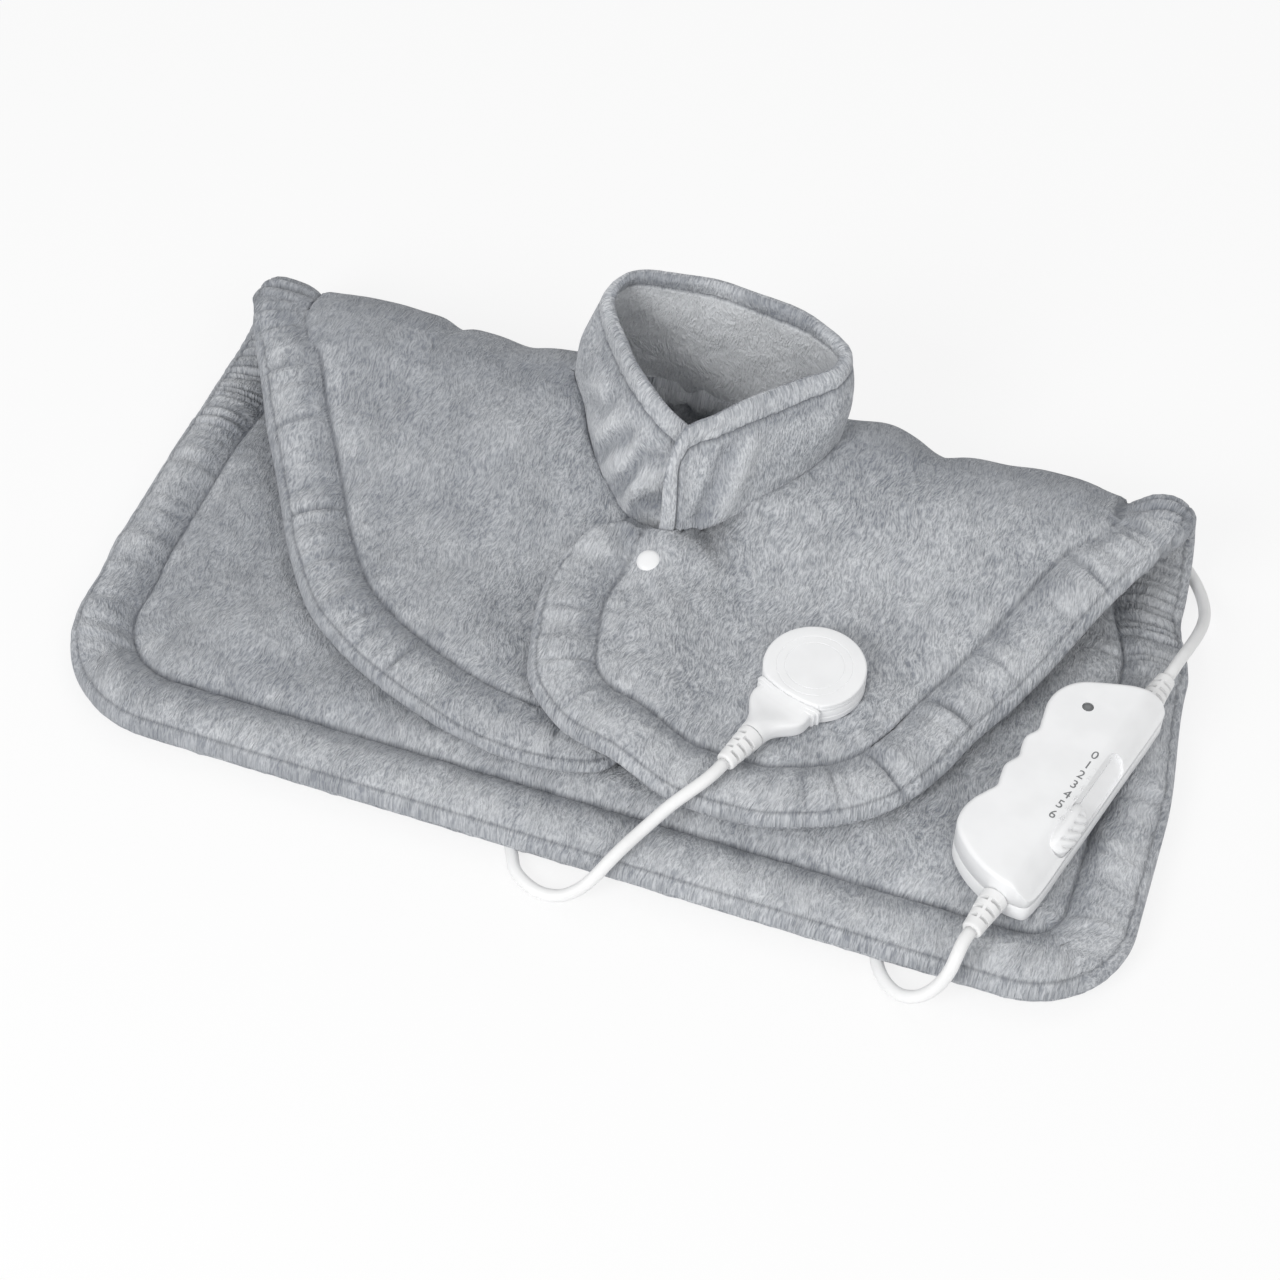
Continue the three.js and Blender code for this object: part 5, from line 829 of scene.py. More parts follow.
class Cape:
    """Where each point of the cape's pattern lies."""

    def __init__(self):
        s = part("cape")
        self.s = s
        self.half_width, self.half_depth = s.width / 2, s.depth / 2
        self.fold_radius = s.fold_height / 2
        self.fold_mid = (s.fold_height - s.fold_thickness) / 2
        self.fold_y = self.half_depth - self.fold_radius
        self.flat = self.half_depth + self.fold_y
        self.length = self.flat + HALF_TURN * self.fold_mid
        self.top_level = s.fold_height - s.fold_thickness / 2
        self.flap_level = s.flap_rest + s.flap_hem_height / 2

    def hem_profile(self, edge, hem, panel):
        """Thickness at a distance from the free edge: the stuffed hem, its seam, then the panel."""
        s = self.s
        half = s.hem_width / 2
        tube = hem * np.sqrt(np.maximum(0, 1 - (1 - edge / half) ** 2))
        tube = np.where(edge < half, tube, np.maximum(tube, s.seam_thickness))
        filled = mix(s.seam_thickness, panel, np.sqrt(np.clip((edge - s.hem_width) / s.seam_reach, 0, 1)))
        thick = np.where(edge >= s.hem_width, filled, tube)
        notch = 2 * s.seam_notch
        return thick - notch * bump(edge - s.hem_width, s.seam_width) * (thick > notch)

    def round_corner(self, x, run):
        """Bends the square near corners of the pattern round."""
        radius = np.where(x < 0, self.s.left_corner, self.s.right_corner)
        side, down = round_corner(self.half_width - np.abs(x), run, radius)
        return np.sign(x) * (self.half_width - side), down

    def fold_share(self, run):
        return eased(run, self.flat - self.s.fold_lead, self.s.fold_lead)

    def spread_hem(self, x, share):
        """Lets the hem spread inwards where it turns over the fold."""
        s = self.s
        side = self.half_width - np.abs(x)
        fade = eased(side, 3 * s.hem_width, -2 * s.hem_width)
        spread = s.fold_spread * share * fade * np.minimum(side / s.hem_width, 1)
        return np.sign(x) * (self.half_width - side - spread)

    def back_half(self, x, run):
        s = self.s
        edge = np.minimum(self.half_width - np.abs(x), run)
        share = self.fold_share(run)
        hem = mix(s.hem_height, s.fold_thickness, share)
        panel = mix(s.panel_thickness, s.fold_thickness, share)
        thick = self.hem_profile(edge, hem, panel)
        close = rounded((self.back_end(x) - run) / s.rim_round)
        return thick * np.where(self.neck_share(x) > 0, close, 1) / 2

    def neck_share(self, x):
        s = self.s
        return smooth_step((1 - np.abs(x - s.gap_x) / (s.gap_width / 2)) / 0.3)

    def back_end(self, x):
        return self.flat + HALF_TURN * self.fold_mid * (1 - self.s.neck_cut * self.neck_share(x))

    def back_place(self, x, run, rise):
        s = self.s
        edge = np.minimum(self.half_width - np.abs(x), run)
        across, down = self.round_corner(x, run)
        share = down / self.length
        across = self.spread_hem(across, self.fold_share(run))
        reach = np.where(across < 0, along(LEFT_REACH_SHARES, share), along(RIGHT_REACH_SHARES, share))
        panel = s.panel_lift + s.panel_thickness / 2
        level = mix(s.hem_height / 2, panel, eased(edge, s.lift_start, s.hem_width))
        level = mix(level, self.fold_radius - self.fold_mid, self.fold_share(run))
        turn = np.maximum(down - self.flat, 0) / self.fold_mid
        radius = self.fold_mid - rise
        y = np.where(down <= self.flat, down - self.half_depth, self.fold_y + radius * np.sin(turn))
        z = np.where(down <= self.flat, level + rise, self.fold_radius - radius * np.cos(turn))
        return np.stack([across * reach, y, np.maximum(z, 0)], axis=1)

    def climb(self, y):
        return smooth_step((y + 0.01) / (self.fold_y + 0.01)) ** 0.85

    def flap_middle(self, x, y, right):
        """Height of the middle of a flap."""
        s = self.s
        level = mix(self.flap_level, self.top_level, self.climb(y))
        if right:
            return level + s.lap_rise * (1 - eased(x, s.lap_start, s.lap_ramp))
        return level - self.pressed(x) * (s.flap_hem_height - s.pressed_thickness) / 2

    def pressed(self, x):
        """How much of the right flap's weight presses the left one."""
        return eased(x, self.s.pressed_start - self.s.pressed_ramp, self.s.pressed_ramp)

    def flap_half(self, x, y, edge, neck, right):
        """Half the thickness of a flap, at its distances from the free edge and from the neck."""
        s = self.s
        pressed = 0 if right else self.pressed(x)
        climb = self.climb(y)
        hem = mix(mix(s.flap_hem_height, s.pressed_thickness, pressed), s.fold_thickness, climb)
        panel = mix(mix(s.flap_thickness, s.pressed_thickness, pressed), s.fold_thickness, climb)
        return self.hem_profile(edge, hem, panel) * rounded(neck / s.rim_round) / 2

    def neck_place(self, share):
        s = self.s
        return [s.neck_x + share[0] * s.neck_width / 2, s.neck_y + share[1] * s.neck_depth]

    def outline_place(self, share):
        return [share[0] * self.half_width, share[1] * self.half_depth]


def hem_steps(width, rings=12):
    """Distances from a free edge, closer where the hem turns under and at the seam beside the edge."""
    seam, half = part("cape").edge_seam, part("cape").seam_width / 2
    turned = [width / 2 * (1 - math.cos(HALF_TURN * k / rings)) for k in range(rings + 1)]
    clear = [stop for stop in turned if abs(stop - seam) > half * 2]
    return sorted([*clear, seam - half, seam, seam + half])


def grid_stops(start, end, step):
    return list(np.linspace(start, end, max(2, round((end - start) / step) + 1)))


def distance_to(points, line):
    """Each point's distance to a line of points, and how far along the line that is."""
    line = np.array(line, float)
    a, b = line[:-1], line[1:]
    d = b - a
    long = np.maximum((d * d).sum(1), TINY**2)
    run = np.concatenate([[0], np.cumsum(np.sqrt(long))])
    best = np.full(len(points), np.inf)
    where = np.zeros(len(points))
    for k in range(len(a)):
        t = np.clip(((points - a[k]) @ d[k]) / long[k], 0, 1)
        far = np.linalg.norm(points - a[k] - t[:, None] * d[k], axis=1)
        nearer = far < best
        best[nearer] = far[nearer]
        where[nearer] = run[k] + t[nearer] * math.sqrt(long[k])
    return best, where


def inside_outline(points, outline):
    """Whether each point lies inside a closed outline."""
    x, y = points[:, 0], points[:, 1]
    inside = np.zeros(len(points), bool)
    for (x0, y0), (x1, y1) in zip(outline, np.roll(outline, -1, axis=0)):
        crosses = (y0 > y) != (y1 > y)
        inside ^= crosses & (x < (x1 - x0) * (y - y0) / (y1 - y0 if y1 != y0 else TINY) + x0)
    return inside


class ClothNet:
    """Collects the cape's points with their pattern places, and its faces."""

    def __init__(self):
        self.places, self.pattern, self.edges, self.runs = [], [], [], []
        self.faces, self.count = [], 0

    def add(self, places, pattern, edge, run):
        first = self.count
        self.places.append(places)
        self.pattern.append(pattern)
        self.edges.append(edge)
        self.runs.append(run)
        self.count += len(places)
        return np.arange(first, self.count)


def back_net(net, cape):
    s, step = cape.s, part("cape").mesh_step
    hem = hem_steps(s.hem_width)
    beside = [s.hem_width + d for d in SEAM_STEPS]
    inner = grid_stops(beside[-1] + step, cape.half_width, step)
    right = sorted({round(cape.half_width - e, 7) for e in [*hem, *beside, *inner]})
    columns = np.array(sorted({*[-x for x in right], *right}))
    gathers = cape.half_depth + s.gather_start
    plain = grid_stops(beside[-1] + step, gathers, step)
    rows = np.array([*hem, *beside, *plain, *grid_stops(gathers, cape.flat, s.gather_step)[1:]])
    fold = np.array(grid_stops(cape.flat, cape.length, s.gather_step)[1:])
    x, run = np.meshgrid(columns, np.concatenate([rows, fold]))
    stretch = (cape.back_end(x) - cape.flat) / (cape.length - cape.flat)
    bend = np.where(run > cape.flat, cape.flat + (run - cape.flat) * stretch, run)
    x, bend = x.ravel(), bend.ravel()
    half = cape.back_half(x, bend)
    shape = (len(rows) + len(fold), len(columns))
    pattern = np.stack([x, bend], axis=1)
    side = cape.half_width - np.abs(x)
    edge = np.minimum(side, bend)
    starts = np.where(x > 0, RUN_STARTS["right side"], RUN_STARTS["left side"])
    around = np.where(side < bend, bend + starts, x + RUN_STARTS["near side"])
    top = net.add(cape.back_place(x, bend, half), pattern, edge, around).reshape(shape)
    low = net.add(cape.back_place(x, bend, -half), pattern + UNDERSIDE, edge, around).reshape(shape)
    net.faces.extend([*grid_faces(top), *grid_faces(low, True)])
    return columns


def rim_line(outline, closed):
    """The ways in from each point of an edge, square to it."""
    if closed:
        ways = np.roll(outline, -1, axis=0) - np.roll(outline, 1, axis=0)
    else:
        ways = np.gradient(outline, axis=0)
    ways = ways / np.linalg.norm(ways, axis=1)[:, None]
    return np.stack([-ways[:, 1], ways[:, 0]], axis=1)


def fine_net(outline, free, rest, rings, step):
    """Triangles inside an outline: rings that follow its free edge, then an even field.

    Returns the places, the triangles, and which outline point each place is (or -1).
    """
    closed = rest is None
    inward = rim_line(free, closed)
    middle = len(free) // 2
    if not inside_outline((free[middle] + inward[middle] * rings[2])[None], outline)[0]:
        inward = -inward
    free_line = np.concatenate([free, free[:1]]) if closed else free
    loose = [free + inward * ring for ring in rings]
    low, high = outline.min(0), outline.max(0)
    for k, y in enumerate(np.arange(low[1], high[1], step * 0.87)):
        xs = np.arange(low[0] + (k % 2) * step / 2, high[0], step)
        loose.append(np.stack([xs, np.full(len(xs), y)], axis=1))
    loose = np.concatenate(loose)
    kind = np.full(len(loose), -1.0)
    kind[: len(rings) * len(free)] = np.repeat(rings, len(free))
    edge, _ = distance_to(loose, free_line)
    keep = inside_outline(loose, outline)
    keep &= np.where(kind >= 0, np.abs(edge - kind) < rings[0] / 2 + 0.00002, edge > rings[-1] + step * 0.6)
    if not closed:
        other, _ = distance_to(loose, rest)
        keep &= other > step * 0.45
    count = len(outline)
    flat = np.concatenate([outline, loose[keep]])
    answer = delaunay_2d_cdt([Vector(p) for p in flat], [], [list(range(count))], 1, 1e-7)
    where = np.array([tuple(v) for v in answer[0]], float)
    origin = np.array([sources[0] if sources and sources[0] < count else -1 for sources in answer[3]])
    return where, answer[2], origin


def split_edge(free, neck_line, cape):
    """The hemmed stretch of the right flap's edge, led on past its top, and the plain rest of its rim."""
    top = np.array(cape.outline_place(HEM_TOP_SHARES))
    last = int(np.argmin(np.linalg.norm(free - top, axis=1)))
    beyond = np.array(cape.outline_place(HEM_LEAD_SHARES))
    return np.concatenate([free[: last + 1], [beyond]]), np.concatenate([free[last + 3 :], neck_line[::-1]])


def flap_net(net, cape, right, columns):
    s, step = cape.s, cape.s.mesh_step
    shares = RIGHT_EDGE_SHARES if right else LEFT_EDGE_SHARES
    reach = (RIGHT_REACH_SHARES if right else LEFT_REACH_SHARES)[-1][1]
    edge_stops = [cape.outline_place(p) for p in shares]
    edge_stops[0] = [math.copysign(cape.half_width * reach, 1 if right else -1), cape.fold_y]
    neck_end = cape.neck_place(RIGHT_NECK_END_SHARES if right else LEFT_NECK_END_SHARES)
    if right:
        edge_line = curve_points([*edge_stops, neck_end], 400)
    else:
        edge_line = np.concatenate([curve_points(edge_stops, 400), [neck_end]])
    free = spaced(edge_line, round(run_length(edge_line) / step) + 1)
    welded = columns[(columns > 0) == right]
    welded = cape.spread_hem(welded[cape.neck_share(welded) <= 0], 1) * reach
    fold_line = np.stack([welded, np.full(len(welded), cape.fold_y)], axis=1)
    if right:
        fold_line = fold_line[::-1]
    base = [cape.neck_place(stop[0]) for stop in COLLAR_SHARES]
    neck_stops = [fold_line[-1], *(base[13:18] if right else base[5:0:-1]), neck_end]
    neck_line = curve_points(neck_stops, 90)
    neck = spaced(neck_line, round(run_length(neck_line) / step) + 1)
    outline = np.concatenate([fold_line, neck[1:], free[::-1][1:-1]])
    rings = [*hem_steps(s.hem_width)[1:], *[s.hem_width + d for d in SEAM_STEPS]]
    where, faces, origin = fine_net(outline, free, np.concatenate([fold_line, neck]), rings, step)
    x, y = where[:, 0], where[:, 1]
    hemmed, closed_line = split_edge(free, neck_line, cape) if right else (free, neck_line)
    edge, run = distance_to(where, hemmed)
    plain = np.linspace(0, cape.half_width, 400)
    back_edge = cape.half_width - np.interp(np.abs(x) / reach, cape.spread_hem(plain, 1), plain)
    edge = mix(edge, back_edge, smooth_step(1 - (cape.fold_y - y) / 0.03))
    far_neck, _ = distance_to(where, closed_line)
    half = cape.flap_half(x, y, edge, far_neck, right)
    half[origin >= len(fold_line)] = 0
    middle = cape.flap_middle(x, y, right)
    pattern = np.stack([x, cape.length + cape.fold_y - y], axis=1)
    run = run + RUN_STARTS["right flap" if right else "left flap"]
    top = net.add(np.stack([x, y, middle + half], axis=1), pattern, edge, run)
    low = net.add(np.stack([x, y, middle - half], axis=1), pattern + UNDERSIDE, edge, run)
    for face in faces:
        net.faces.append([int(top[k]) for k in face])
        net.faces.append([int(low[k]) for k in reversed(face)])


def build_cape():
    cape, net = Cape(), ClothNet()
    columns = back_net(net, cape)
    flap_net(net, cape, False, columns)
    flap_net(net, cape, True, columns)
    made = new_object("cape", np.concatenate(net.places), net.faces, "plush")
    add_pattern(made, np.concatenate(net.pattern))
    edge = np.concatenate(net.edges)
    # Distance to the seams, for the painted shade in their creases
    beside_edge = np.abs(edge - cape.s.edge_seam) + cape.s.edge_seam_fade
    add_values(made, "edge", edge)
    add_values(made, "run", np.concatenate(net.runs))
    add_values(made, "seam", np.minimum(np.abs(edge - cape.s.hem_width), beside_edge))
    tidy(made)
    crumple(made, cape)
    return made


def add_pattern(made, pattern):
    """Gives each point of the mesh its place on the flat cloth, as a map."""
    layer = made.data.uv_layers.new(name="Pattern")
    loops = np.zeros(len(made.data.loops), int)
    made.data.loops.foreach_get("vertex_index", loops)
    layer.data.foreach_set("uv", pattern[loops].astype(np.float32).ravel())


def add_values(made, name, values):
    made.data.attributes.new(name, "FLOAT", "POINT").data.foreach_set("value", values.astype(np.float32))


def point_values(made, name):
    values = np.zeros(len(made.data.vertices), np.float32)
    made.data.attributes[name].data.foreach_get("value", values)
    return values.astype(float)


def points_of(made):
    places = np.zeros(len(made.data.vertices) * 3)
    made.data.vertices.foreach_get("co", places)
    return places.reshape(-1, 3)


def move_points(made, places):
    made.data.vertices.foreach_set("co", places.ravel())
    made.data.update()


def normals_of(made):
    normals = np.zeros(len(made.data.vertices) * 3, np.float32)
    made.data.vertex_normals.foreach_get("vector", normals)
    return normals.reshape(-1, 3).astype(float)


class Crumple:
    """The cape's soft relief: how far each point rises, and the painted light and shade on its pile."""

    def __init__(self, cape, places, normals, edge, run):
        s = cape.s
        self.cape, self.s, self.edge, self.run = cape, s, edge, run
        self.x, self.y, self.z = places.T
        self.in_hem = np.clip(np.sin(np.clip(edge / s.hem_width, 0, 1) * HALF_TURN), 0, 1) ** 0.7
        self.upper = self.z > cape.flap_level
        over_fold = eased(self.y, cape.fold_y - 0.035, 0.045)
        self.top_of_fold = eased(self.z, s.fold_height * 0.55, 0.02) * over_fold
        x, y, reach = NECK_CLOTH
        self.in_neck = bump(np.hypot(self.x - x, self.y - y), reach) * (normals[:, 1] < 0.3)
        self.pleats, self.crossed = self.fold_pleats(), self.hem_creases()

    def fold_pleats(self):
        """Close pleats where the hem turns over the fold."""
        s, run = self.s, self.run
        at_end = eased(np.abs(self.x) / self.cape.half_width, 0.72, 0.12)
        uneven = 0.35 * noise_wave("pleats", run) + 0.2 * noise_field("pleat field", self.edge, run)
        waves = np.abs(np.sin(HALF_TURN * (run / s.gather_pitch + uneven))) ** 0.8 - 0.6
        return self.in_hem * eased(self.y, s.gather_start, 0.03) * at_end * waves

    def hem_creases(self):
        """Creases across the flaps' hems, fainter at the middle and none beside the snap."""
        x = self.x
        creases = np.maximum(noise_wave("hem creases", self.run) - 0.2, 0) ** 2
        creases *= 1.5 - 0.9 * eased(x, -0.09, 0.03) * eased(x, 0.12, -0.03)
        creases *= 1 - eased(self.y, -0.015, 0.012) * eased(np.abs(x), 0.1, -0.02)
        return self.in_hem * eased(self.z, self.s.flap_rest, 0.006) * creases

    def hem_rise(self):
        """The hem's gathers, pleats and creases, and what its seams do to the cloth beside them."""
        s, edge, run = self.s, self.edge, self.run
        uneven = noise_wave("hem", run) + 0.6 * noise_field("hem field", self.x, self.y)
        rise = s.gather * self.in_hem * uneven
        rise += s.fold_gather * self.pleats - s.cross_pucker * self.crossed
        rise -= s.seam_notch * 0.4 * bump(edge - s.edge_seam, s.seam_width / 3)
        near = eased(self.y, -0.085, -0.02) * eased(self.z, s.panel_lift, 0.004)
        beyond = edge - s.hem_width
        rise += s.ridge * near * bump(beyond - 0.012 - 0.002 * noise_wave("ridge", self.x), 0.006)
        beside = smooth_step(beyond / 0.003) * np.exp(-np.maximum(beyond, 0) / 0.011)
        return rise + s.pucker * beside * noise_wave("puckers", run)

    def panel_rise(self):
        """Soft waves in the panels, over the fold and inside the neck, and dents in the fold's line."""
        s, x, y = self.s, self.x, self.y
        waves = noise_field("panels", x, y) + 0.35 * noise_field("panel detail", x, y)
        rise = s.swell * eased(self.edge, s.hem_width + 0.006, 0.03) * waves
        rise += s.swell * 0.9 * self.top_of_fold * noise_field("fold", x, y * 0.4)
        rise += s.neck_swell * self.in_neck * noise_field("neck", x, y)
        for place, width, depth in FOLD_DENTS:
            rise -= depth * bump(x - place, width) * self.top_of_fold
        return rise

    def socket_puff(self):
        """The cloth swells up round the socket, but not on the plug's side."""
        plug = part("plug")
        x, y = self.x - plug.x, self.y - plug.y
        far = np.hypot(x, y)
        ahead = (x * math.cos(plug.turn) + y * math.sin(plug.turn)) / np.maximum(far, TINY)
        off = far - plug.disc / 2
        puff = smooth_step(off / 0.002) * np.exp(-np.maximum(off, 0) / 0.013)
        return self.s.disc_puff * puff * eased(ahead, 0.55, -0.4)

    def snap_pull(self):
        """The snap's dent, and the creases that run from it."""
        snap = part("snap")
        x, y = self.x - snap.x, self.y - snap.y
        rise = -self.s.snap_dent * bump(np.hypot(x, y), 0.014)
        for heading, length, width, height in SNAP_CREASES:
            way = (math.cos(heading), math.sin(heading))
            on, off = x * way[0] + y * way[1], y * way[0] - x * way[1]
            fade = eased(on, 0.006, 0.008) * eased(on, length, -0.6 * length)
            rise += height * fade * (bump(off, width) - 0.7 * bump(np.abs(off) - 1.7 * width, width))
        return rise

    def lean(self):
        """Painted light and shade on the pile: above 0 a painted highlight, below 0 painted shade."""
        across = self.edge / self.s.hem_width
        # Painted highlights on the hem's crest and beside the seam, painted shade towards the seam and at the
        # very edge
        lean = 0.8 * bump(across - 0.36, 0.26) - 0.9 * bump(across - 0.86, 0.15) - 0.5 * bump(across, 0.12)
        lean += 0.75 * bump(across - 1.17, 0.14) * smooth_step(0.6 + noise_wave("seam painted light", self.run))
        lean *= 0.75 + 0.4 * noise_wave("hem painted light", self.run)
        # Painted shade in the creases, on top of the fold and to the left; painted highlights on the pleats'
        # crests and inside the neck, against its shadow
        shaded = 0.9 * self.crossed + 1.1 * self.top_of_fold + 0.6 * eased(self.x, 0.02, -0.14)
        return lean + 1.3 * self.pleats - shaded + 2.4 * self.in_neck


def crumple(made, cape):
    """Gives the cape its gathers, puckers, waves and dents, and paints light and shade on its pile."""
    places, normals = points_of(made), normals_of(made)
    cloth = Crumple(cape, places, normals, point_values(made, "edge"), point_values(made, "run"))
    rise = cloth.hem_rise() + cloth.panel_rise() + cloth.upper * (cloth.socket_puff() + cloth.snap_pull())
    moved = places + normals * rise[:, None]
    moved[:, 2] = np.maximum(moved[:, 2], TABLE_GAP)
    move_points(made, moved)
    add_values(made, "lean", cloth.lean())


# Collar: a band of two layers, its edge and front corner topstitched


class Collar:
    """Where each point of the collar lies, by its run along the band and its height."""

    def __init__(self):
        s = part("collar")
        self.s, cape = s, Cape()
        stops = [
            [*cape.neck_place(foot), *cape.neck_place(top), s.foot + share * s.height]
            for foot, top, share in COLLAR_SHARES
        ]
        line = curve_points(stops, 500)
        self.foot, self.top, self.rise = line[:, :2], line[:, 2:4], line[:, 4]
        x, y = self.foot.T
        count = len(line)
        right = np.arange(count) > count * 0.5
        level = np.where(right, cape.flap_middle(x, y, True), cape.flap_middle(x, y, False))
        level += cape.s.flap_thickness / 2
        beyond = np.clip(y - cape.fold_y, 0, cape.fold_radius)
        over = cape.fold_radius + np.sqrt(cape.fold_radius**2 - beyond**2)
        self.low = np.where(y > cape.fold_y, over, level) - s.sink
        self.low_places = np.column_stack([self.foot, self.low])
        self.high_places = np.column_stack([self.top, self.rise])
        middle = (self.low_places + self.high_places) / 2
        self.run = np.concatenate([[0], np.cumsum(np.linalg.norm(np.diff(middle, axis=0), axis=1))])
        self.length = self.run[-1]
        self.tall = np.linalg.norm(self.high_places - self.low_places, axis=1)
        out = rim_line(middle[:, :2], False)
        self.out = out if out[0] @ (middle[0, :2] - middle[:, :2].mean(0)) > 0 else -out

    def at(self, values, run):
        return np.stack([np.interp(run, self.run, column) for column in np.atleast_2d(values.T)], axis=-1)

    def thickness(self, edge):
        s = self.s
        puffed = 1 + 0.14 * bump(edge - s.edge_band * 0.48, s.edge_band * 0.3)
        groove = 1 - 0.5 * bump(edge - s.edge_band, 0.0008)
        return s.thickness * rounded(edge / (s.thickness / 2)) * puffed * groove

    def sway(self, run, down, edge):
        """How far the whole band stands out of its plain shape, and the painted highlights and shade on its
        creases and dent.
        """
        s = self.s
        tall = self.at(self.tall[:, None], run)[..., 0]
        share = np.clip(1 - down / tall, 0, 1)
        out = s.bulge * np.sin(HALF_TURN * share)
        out += s.ripple * bump(edge - s.edge_band, 0.006) * noise_wave("topstitch", run)
        out += s.billow * noise_field("billows", run, down) * share ** 0.5
        bend = self.length - run - mix(0.023, 0.041, share)
        fade = eased(down, s.edge_band, 0.012) * eased(share, -0.1, 0.25)
        dented = fade * (0.5 * bump(bend - 0.0095, 0.007) - bump(bend, 0.0062))
        window = eased(run, s.crease_reach, -0.05) * eased(share, 0.85, -0.4)
        turns = (run + 0.72 * (tall - down)) / s.crease_pitch
        creases = window * np.sin(turns * TURN - 2 + 0.8 * noise_wave("collar creases", run))
        out += s.dent * dented + s.crease * creases * eased(share, 0.05, 0.2)
        return out * eased(share, -0.05, 0.15), 1.5 * creases + 2 * dented

    def place(self, run, down, side):
        corner, square = self.s.corner, self.length - run
        end, drop = round_corner(square, down, corner)
        in_corner = (square < corner) & (down < corner)
        edge = np.where(in_corner, np.minimum(square, down), np.minimum(np.minimum(end, drop), run))
        here = self.length - end
        tall = self.at(self.tall[:, None], here)[..., 0]
        share = (1 - drop / tall)[..., None]
        middle = mix(self.at(self.low_places, here), self.at(self.high_places, here), share)
        out = self.at(self.out, here)
        out = out / np.linalg.norm(out, axis=-1, keepdims=True)
        swayed, lean = self.sway(here, drop, edge)
        push = side * self.thickness(edge) / 2 + swayed
        middle[..., :2] += out * push[..., None]
        past = edge / self.s.edge_band
        # Painted highlight on the band above the topstitch, painted shade just below it
        lean = lean + 0.5 * bump(past - 0.45, 0.4) - 0.6 * bump(past - 1.25, 0.4)
        if side < 0:
            # On the lining: painted light all over against the shade inside the collar, varied at random, and
            # painted shade near the edge
            lean = 0.4 + 1.1 * noise_field("lining painted light", here, drop) - 1.3 * eased(past, 1.15, -0.3)
        return middle, np.stack([here, tall - drop], axis=-1), np.abs(edge - self.s.edge_band), lean


def build_collar():
    collar = Collar()
    s = collar.s
    rim = quarter_steps(s.thickness / 2, 5)
    near = [*rim, *[s.edge_band + d for d in BAND_STEPS]]
    ends = [collar.length - d for d in near]
    middle = grid_stops(rim[-1] + s.mesh_step, ends[-1] - s.mesh_step, s.mesh_step)
    runs = np.array(sorted([*rim, *middle, *ends]))
    body = np.linspace(0, 1, 26)[1:]
    tall = collar.at(collar.tall[:, None], runs)[:, 0]
    down = np.array([[*near, *(near[-1] + body * (t - near[-1]))] for t in tall])
    run = np.repeat(runs[:, None], down.shape[1], axis=1)
    outer, pattern, seam, lean = collar.place(run, down, 1)
    inner, _, _, inner_painted_light = collar.place(run, down, -1)
    count = run.size
    index = np.arange(count).reshape(run.shape)
    faces = [*grid_faces(index), *grid_faces(index + count, True)]
    foot = index[:, -1]
    faces.extend((int(a), int(b), int(b + count), int(a + count)) for a, b in zip(foot, foot[1:]))
    places = np.concatenate([outer.reshape(-1, 3), inner.reshape(-1, 3)])
    made = new_object("collar", places, faces, "collar_plush")
    flat = pattern.reshape(-1, 2)
    add_pattern(made, np.concatenate([flat, flat + LINING_SIDE]))
    # Distance to the topstitch, for the painted shade in its groove
    add_values(made, "seam", np.tile(seam.ravel(), 2))
    add_values(made, "lean", np.concatenate([lean.ravel(), inner_painted_light.ravel()]))
    # Paler lining: partly its own paler pile, partly painted light against the shade inside the collar
    lining = s.inner_pale * smooth_step((down - s.edge_band) / 0.002)
    add_values(made, "pale", np.concatenate([np.zeros(count), lining.ravel()]))
    return tidy(made, 1e-6), collar


def collar_stitches(collar):
    """The topstitch, on both sides of the band."""
    s = collar.s
    stitches, turns = [], []
    tall = float(collar.tall[-1])
    along_edge = [(run, s.edge_band) for run in np.arange(0.01, collar.length - s.corner, s.stitch_pitch)]
    end = collar.length - s.edge_band
    along_end = [(end, down) for down in np.arange(s.corner, tall - 0.004, s.stitch_pitch)]
    for stops, step in ((along_edge, (0.001, 0)), (along_end, (0, 0.001))):
        run, down = np.array(stops).T
        for side in (-1, 1):
            here = collar.place(run, down, side)[0]
            there = collar.place(run + step[0], down + step[1], side)[0]
            stitches.extend(here)
            turns.extend(Vector(way).to_track_quat("X", "Z").to_euler() for way in there - here)
    thread = (s.stitch_length, 0.0006, 0.0006)
    return repeated("collar_stitches", stitches, [tuple(t) for t in turns], thread, "collar_plush")


# Cords


def coil_turns(s):
    """The turns of the coil: in along the lower layer, up, and out along the upper one."""
    turns = []
    total = 2 * s.coil_layer_turns + 0.5
    for t in np.linspace(0, total, round(total * 48) + 1):
        beyond = max(s.coil_layer_turns - t, t - s.coil_layer_turns - 0.5, 0)
        climb = min(max((t - s.coil_layer_turns) / 0.5, 0), 1)
        radius = s.coil_inner + s.coil_pitch * beyond - 0.002 * math.sin(HALF_TURN * climb)
        heading = -QUARTER_TURN - TURN * t
        height = mix(MAINS_CORD_ROUTE[-1][2], TAIL_CORD_ROUTE[0][2], smooth_step(climb))
        x, y = s.coil_x + radius * math.cos(heading), s.coil_y + radius * math.sin(heading)
        turns.append((x, y, float(height)))
    return turns


def tube(name, line, radius, finish, sides=14):
    """A round tube along a line of points, closed at both ends."""
    ways = np.gradient(line, axis=0)
    ways /= np.linalg.norm(ways, axis=1)[:, None]
    side = np.cross(ways[0], [0, 0, 1])
    turns = TURN * np.arange(sides) / sides
    rings = []
    for place, way in zip(line, ways):
        side = side - way * (side @ way)
        side /= np.linalg.norm(side)
        up = np.cross(side, way)
        rings.append([place + radius * (side * math.cos(t) + up * math.sin(t)) for t in turns])
    return loft(name, rings, finish=finish, sharp=None)


# Socket and plug, in a frame whose +X runs from the socket to the cord


def plug_frame():
    s = part("plug")
    return standing(s.x, s.y, s.z, s.turn)


